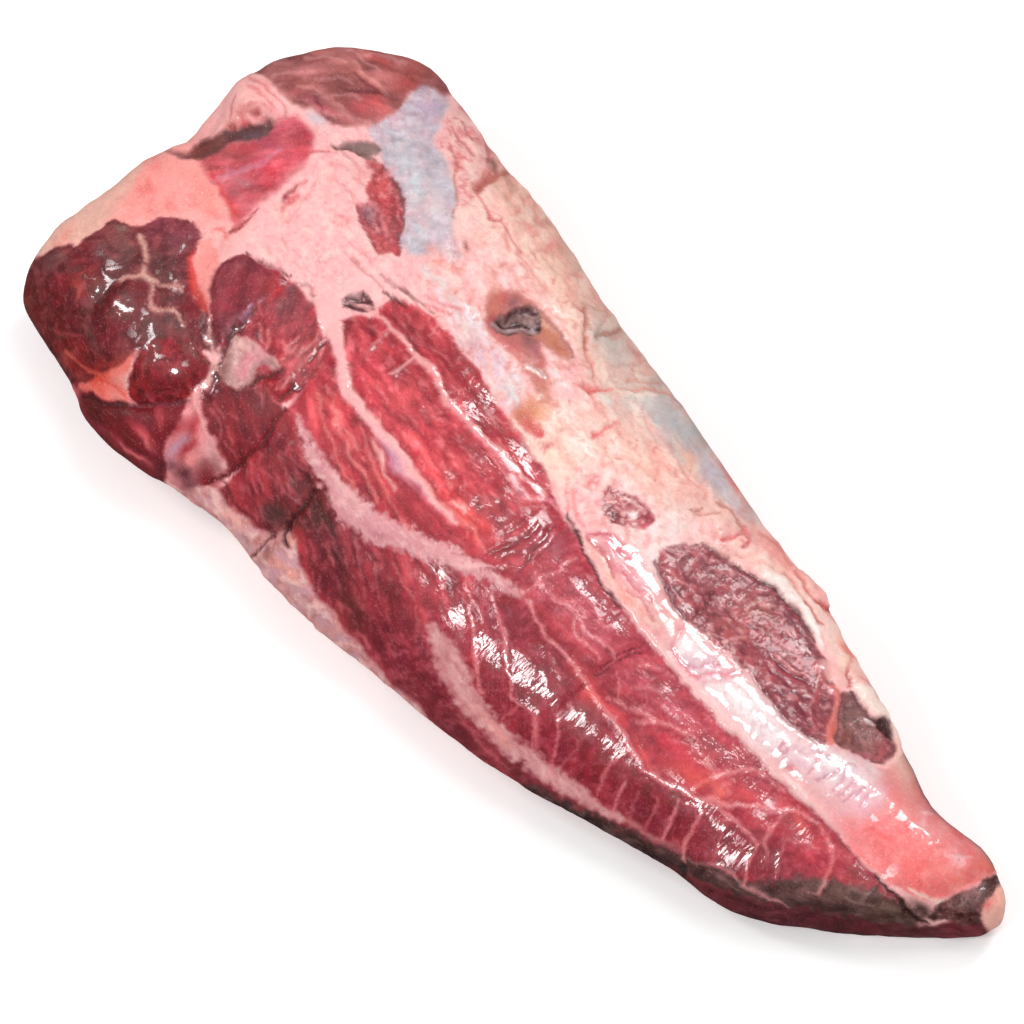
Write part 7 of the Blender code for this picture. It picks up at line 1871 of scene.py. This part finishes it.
# ======================================================================================
# Materials
# ======================================================================================
class Nodes:
    """Short hand for building a node tree."""

    def __init__(self, name):
        self.material = bpy.data.materials.new(name)
        self.material.use_nodes = True
        self.tree = self.material.node_tree
        self.tree.nodes.clear()
        self.out = self.add("ShaderNodeOutputMaterial")

    def add(self, kind, **settings):
        node = self.tree.nodes.new(kind)
        for key, value in settings.items():
            setattr(node, key, value)
        return node

    def put(self, node, key, value):
        socket = node.inputs[key]
        if isinstance(value, bpy.types.NodeSocket):
            self.tree.links.new(value, socket)
        else:
            socket.default_value = value

    def attribute(self, name, output="Fac"):
        return self.add("ShaderNodeAttribute", attribute_name=name).outputs[output]

    def math(self, operation, a, b=0.0, clamp=False):
        node = self.add("ShaderNodeMath", operation=operation, use_clamp=clamp)
        self.put(node, 0, a)
        self.put(node, 1, b)
        return node.outputs[0]

    def between(self, value, low, high, to_low=0.0, to_high=1.0):
        node = self.add("ShaderNodeMapRange", interpolation_type="SMOOTHSTEP")
        for key, item in zip(("Value", "From Min", "From Max", "To Min", "To Max"),
                (value, low, high, to_low, to_high)):
            self.put(node, key, item)
        return node.outputs[0]

    def mix(self, share, a, b, blend="MIX"):
        node = self.add("ShaderNodeMix", data_type="RGBA", blend_type=blend)
        self.put(node, "Factor", share)
        self.put(node, "A", a)
        self.put(node, "B", b)
        return node.outputs["Result"]

    def noise(self, size_mm, detail=2.0, rough=0.5, stretch=(1, 1, 1), turn=(0, 0, 0), distortion=0.0):
        place = self.add("ShaderNodeTexCoord").outputs["Object"]
        mapping = self.add("ShaderNodeMapping")
        self.put(mapping, "Vector", place)
        self.put(mapping, "Rotation", turn)
        self.put(mapping, "Scale", stretch)
        node = self.add("ShaderNodeTexNoise")
        self.put(node, "Vector", mapping.outputs[0])
        self.put(node, "Scale", 1.0 / (size_mm * MM))
        self.put(node, "Detail", detail)
        self.put(node, "Roughness", rough)
        self.put(node, "Distortion", distortion)
        return node.outputs["Fac"]

    def dot(self, a, b):
        node = self.add("ShaderNodeVectorMath", operation="DOT_PRODUCT")
        self.put(node, 0, a)
        self.put(node, 1, b)
        return node.outputs["Value"]

    def split(self, vector):
        node = self.add("ShaderNodeSeparateXYZ")
        self.put(node, 0, vector)
        return node.outputs

    def fibres(self, place, fibre, length_mm, width_mm, directions=8, detail=1.0):
        """Noise drawn out along the fibres. Each point takes the noises of its nearest directions."""
        total, weights = 0.0, 0.0001
        for k in range(directions):
            turn = math.pi * k / directions
            along = self.add("ShaderNodeMapping", vector_type="TEXTURE")
            self.put(along, "Vector", place)
            self.put(along, "Location", (0.013 * k, 0.007 * k, 0.0))
            self.put(along, "Rotation", (0, 0, turn))
            self.put(along, "Scale", (length_mm * MM, width_mm * MM, 2.0 * width_mm * MM))
            node = self.add("ShaderNodeTexNoise")
            self.put(node, "Vector", along.outputs[0])
            self.put(node, "Scale", 1.0)
            self.put(node, "Detail", detail)
            agree = self.dot(fibre, (math.cos(2 * turn), math.sin(2 * turn), 0.0))
            weight = self.between(agree, math.cos(2 * math.pi / directions), 1.0)
            total = self.math("ADD", self.math("MULTIPLY", weight, node.outputs["Fac"]), total)
            weights = self.math("ADD", weight, weights)
        return self.math("DIVIDE", total, weights)

    def bump(self, height, strength, distance_mm, below=None):
        node = self.add("ShaderNodeBump")
        self.put(node, "Height", height)
        self.put(node, "Strength", strength)
        self.put(node, "Distance", distance_mm * MM)
        if below is not None:
            self.put(node, "Normal", below)
        return node.outputs[0]


def raw_beef():
    n = Nodes("raw_beef")
    tint = n.attribute("tint", "Color")
    wet = n.attribute("wet")
    fat = n.attribute("fat")
    # on the hidden sides: bare muscle that shows through the fat in patches, and silverskin
    bare = n.attribute("bare")
    islands = n.math("ADD", n.noise(34.0, 5.0, 0.55, distortion=0.5),
        n.math("MULTIPLY", n.math("SUBTRACT", bare, 0.5), 0.42))
    flesh = n.math("MULTIPLY", n.between(islands, 0.515, 0.555), n.between(bare, 0.04, 0.2))
    strands = n.noise(2.2, 3.0, 0.6, stretch=(0.13, 1, 1), turn=(0, 0, 0.1))
    dull = n.mix(n.between(n.noise(11.0), 0.35, 0.65), (0.19, 0.024, 0.034, 1), (0.34, 0.055, 0.066, 1))
    dull = n.mix(n.between(strands, 0.55, 0.72), dull, (0.52, 0.17, 0.17, 1))
    dull = n.mix(n.between(strands, 0.45, 0.28), dull, (0.10, 0.014, 0.02, 1))
    silver = n.math("MULTIPLY", n.between(n.noise(48.0, 3.0, 0.5, stretch=(0.5, 1, 1)), 0.57, 0.66),
        n.between(bare, 0.04, 0.2))
    skin_tone = n.mix(n.between(strands, 0.4, 0.6), (0.50, 0.36, 0.38, 1), (0.62, 0.50, 0.52, 1))
    tint = n.mix(n.math("MULTIPLY", silver, 0.6), tint, skin_tone)
    tint = n.mix(flesh, tint, n.mix(n.math("MULTIPLY", silver, 0.35), dull, skin_tone))
    fat = n.math("SUBTRACT", fat, flesh, clamp=True)
    meat = n.math("SUBTRACT", 1.0, fat)
    fibre = n.attribute("fibre", "Vector")
    here = n.add("ShaderNodeTexCoord").outputs["Object"]
    place = n.add("ShaderNodeCombineXYZ")
    for key, side in zip("XYZ", (SHEET_U, SHEET_V, SHEET_FACE)):
        n.put(place, key, n.dot(here, tuple(float(x) for x in side)))
    threads = n.fibres(place.outputs[0], fibre, 7.0, 0.75)
    fine = n.noise(1.3, 3.0, 0.6)
    speck = n.noise(0.6, 2.0, 0.6)
    patches = n.noise(9.0, 2.0, 0.5)
    # small wrinkles of the wet skin: across, along and all ways
    ripple = n.split(n.attribute("ripple", "Vector"))
    wrinkled = 0.0
    for amount, size, depth in ((ripple[0], (1.5, 6.0, 4.0), 0.30), (ripple[1], (3.6, 1.4, 2.6), 0.26),
            (ripple[2], (2.0, 1.8, 2.0), 0.30)):
        across = n.add("ShaderNodeMapping", vector_type="TEXTURE")
        n.put(across, "Vector", place.outputs[0])
        n.put(across, "Scale", tuple(side * MM for side in size))
        wrinkles = n.add("ShaderNodeTexNoise")
        n.put(wrinkles, "Vector", across.outputs[0])
        n.put(wrinkles, "Scale", 1.0)
        n.put(wrinkles, "Detail", 2.0)
        n.put(wrinkles, "Distortion", 0.3)
        wrinkled = n.math("ADD", n.math("MULTIPLY", n.math("MULTIPLY", amount, depth),
            wrinkles.outputs["Fac"]), wrinkled)
    # colour: fine pale and dark threads in the muscle, soft mottling everywhere
    colour = n.mix(1.0, tint, n.between(fine, 0.25, 0.75, 0.93, 1.07), "MULTIPLY")
    pale = n.math("MULTIPLY", n.between(threads, 0.57, 0.70), n.math("MULTIPLY", meat, 0.16))
    dark = n.math("MULTIPLY", n.between(threads, 0.45, 0.30), n.math("MULTIPLY", meat, 0.32))
    colour = n.mix(pale, colour, n.mix(0.5, colour, (0.72, 0.22, 0.23, 1)))
    colour = n.mix(dark, colour, n.mix(1.0, colour, (0.45, 0.35, 0.38, 1), "MULTIPLY"))
    colour = n.mix(n.math("MULTIPLY", n.between(speck, 0.58, 0.72), n.math("MULTIPLY", meat, 0.30)),
        colour, n.mix(0.5, colour, (0.80, 0.34, 0.34, 1)))
    colour = n.mix(n.math("MULTIPLY", n.between(speck, 0.42, 0.28), n.math("MULTIPLY", meat, 0.45)),
        colour, n.mix(1.0, colour, (0.55, 0.42, 0.45, 1), "MULTIPLY"))
    # hair-thin broken lines in the fat and in the pale skin
    hair = n.between(n.math("ABSOLUTE", n.math("SUBTRACT", n.noise(2.6, 3.0, 0.6, distortion=1.2), 0.5)),
        0.022, 0.004)
    hair = n.math("MULTIPLY", hair, n.between(n.noise(6.0, 2.0, 0.5), 0.46, 0.62))
    colour = n.mix(n.math("MULTIPLY", hair, n.math("MULTIPLY", fat, 0.6)), colour,
        n.mix(1.0, colour, (0.86, 0.52, 0.54, 1), "MULTIPLY"))
    colour = n.mix(n.math("MULTIPLY", n.between(speck, 0.60, 0.74), n.math("MULTIPLY", fat, 0.35)), colour,
        (0.98, 0.80, 0.76, 1))
    shader = n.add("ShaderNodeBsdfPrincipled")
    n.put(shader, "Base Color", colour)
    wetness = n.math("ADD", wet, n.math("MULTIPLY", n.math("SUBTRACT", patches, 0.5), 0.5), clamp=True)
    n.put(shader, "Roughness", n.between(wetness, 0.1, 1.0, 0.60, 0.36))
    n.put(shader, "Specular IOR Level", 0.3)
    n.put(shader, "Coat Weight", n.between(wetness, 0.35, 0.95, 0.0, 1.0))
    n.put(shader, "Coat Roughness", 0.07)
    n.put(shader, "Coat IOR", 1.8)
    n.put(shader, "Subsurface Weight", 0.10)
    n.put(shader, "Subsurface Radius", (1.0, 0.35, 0.25))
    n.put(shader, "Subsurface Scale", 1.6 * MM)
    skin = n.bump(fine, 0.30, 0.30)
    n.put(shader, "Normal", n.bump(threads, 0.35, 0.15, skin))
    n.put(shader, "Coat Normal",
        n.bump(wrinkled, 1.0, 1.0, n.bump(threads, 0.15, 0.10, n.bump(fine, 0.12, 0.12))))
    n.tree.links.new(shader.outputs[0], n.out.inputs[0])
    return n.material


def pale_floor():
    n = Nodes("pale_floor")
    shader = n.add("ShaderNodeBsdfPrincipled")
    n.put(shader, "Base Color", n.mix(n.noise(220.0), (0.93, 0.93, 0.93, 1), (0.95, 0.95, 0.945, 1)))
    n.put(shader, "Roughness", 0.85)
    n.put(shader, "Emission Color", (1, 1, 1, 1))
    n.put(shader, "Emission Strength", 0.18)
    n.tree.links.new(shader.outputs[0], n.out.inputs[0])
    return n.material


# ======================================================================================
# Floor, light and camera
# ======================================================================================
def aim(thing, place, target):
    back = np.array(place, float) - np.array(target, float)
    back /= np.linalg.norm(back)
    right = np.cross((0.0, 0.0, 1.0), back)
    right /= np.linalg.norm(right)
    up = np.cross(back, right)
    thing.matrix_world = Matrix(((right[0], up[0], back[0], place[0]),
        (right[1], up[1], back[1], place[1]), (right[2], up[2], back[2], place[2]), (0, 0, 0, 1)))


def lamp(name, place, target, size, power):
    light = bpy.data.lights.new(name, "AREA")
    light.shape = "RECTANGLE"
    light.size, light.size_y = size
    light.energy = power
    thing = link(name, light)
    aim(thing, place, target)
    return thing


def make_floor():
    mesh = bpy.data.meshes.new("floor")
    form = bmesh.new()
    bmesh.ops.create_grid(form, x_segments=8, y_segments=8, size=3.0)
    form.to_mesh(mesh)
    form.free()
    floor = link("floor", mesh)
    mesh.materials.append(pale_floor())
    floor.visible_glossy = False  # the gloss on the sides would only mirror the white floor


def window(name, azimuth, elevation, size, radiance, distance=1.4):
    """A rectangular light that is seen from the piece in that direction, in degrees."""
    turn, rise = math.radians(azimuth), math.radians(elevation)
    centre = np.array((0.0, 0.0, 0.03))
    place = centre + distance * np.array((math.cos(turn) * math.cos(rise), math.sin(turn) * math.cos(rise),
        math.sin(rise)))
    return lamp(name, tuple(place), centre, size, radiance * math.pi * size[0] * size[1])


def make_light():
    world = bpy.data.worlds.new("pale_studio")
    world.use_nodes = True
    tree = world.node_tree
    direction = tree.nodes.new("ShaderNodeTexCoord").outputs["Generated"]
    split = tree.nodes.new("ShaderNodeSeparateXYZ")
    rise = tree.nodes.new("ShaderNodeMapRange")
    rise.inputs["From Min"].default_value = -0.1
    rise.inputs["To Min"].default_value = 0.06
    rise.inputs["To Max"].default_value = 0.60
    tree.links.new(direction, split.inputs[0])
    tree.links.new(split.outputs["Z"], rise.inputs["Value"])
    tree.nodes["Background"].inputs[0].default_value = (1.0, 0.99, 0.985, 1)
    tree.links.new(rise.outputs[0], tree.nodes["Background"].inputs[1])
    scene.world = world
    window("near_window", -87, 50, (0.42, 0.34), 15.5)
    window("left_window", -148, 41, (0.22, 0.60), 11.5)
    window("far_window", 95, 44, (0.42, 0.54), 9.6)
    window("top_window", 60, 82, (0.40, 0.36), 6)
    window("tip_window", 35, 34, (0.9, 0.6), 1.4)


CAMERA_TARGET = np.array((-0.0123, -0.0089, 0.030))
CAMERA_DIRECTION = np.array((0.3411, -0.3226, 0.8829))
CAMERA_DISTANCE = 4.5


def make_camera():
    camera = bpy.data.cameras.new("camera")
    camera.sensor_width = 36.0
    camera.lens = 574.0
    camera.clip_start = 0.05
    camera.dof.use_dof = False
    thing = link("camera", camera)
    aim(thing, CAMERA_TARGET + CAMERA_DISTANCE * CAMERA_DIRECTION, CAMERA_TARGET)
    scene.camera = thing


meat = dressed(fine_mesh(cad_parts["chuck_tender"]))
meat.data.materials.clear()
meat.data.materials.append(raw_beef())
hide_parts("chuck_tender")
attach(meat, "root")
make_floor()
make_light()
make_camera()
scene.view_settings.view_transform = "Standard"
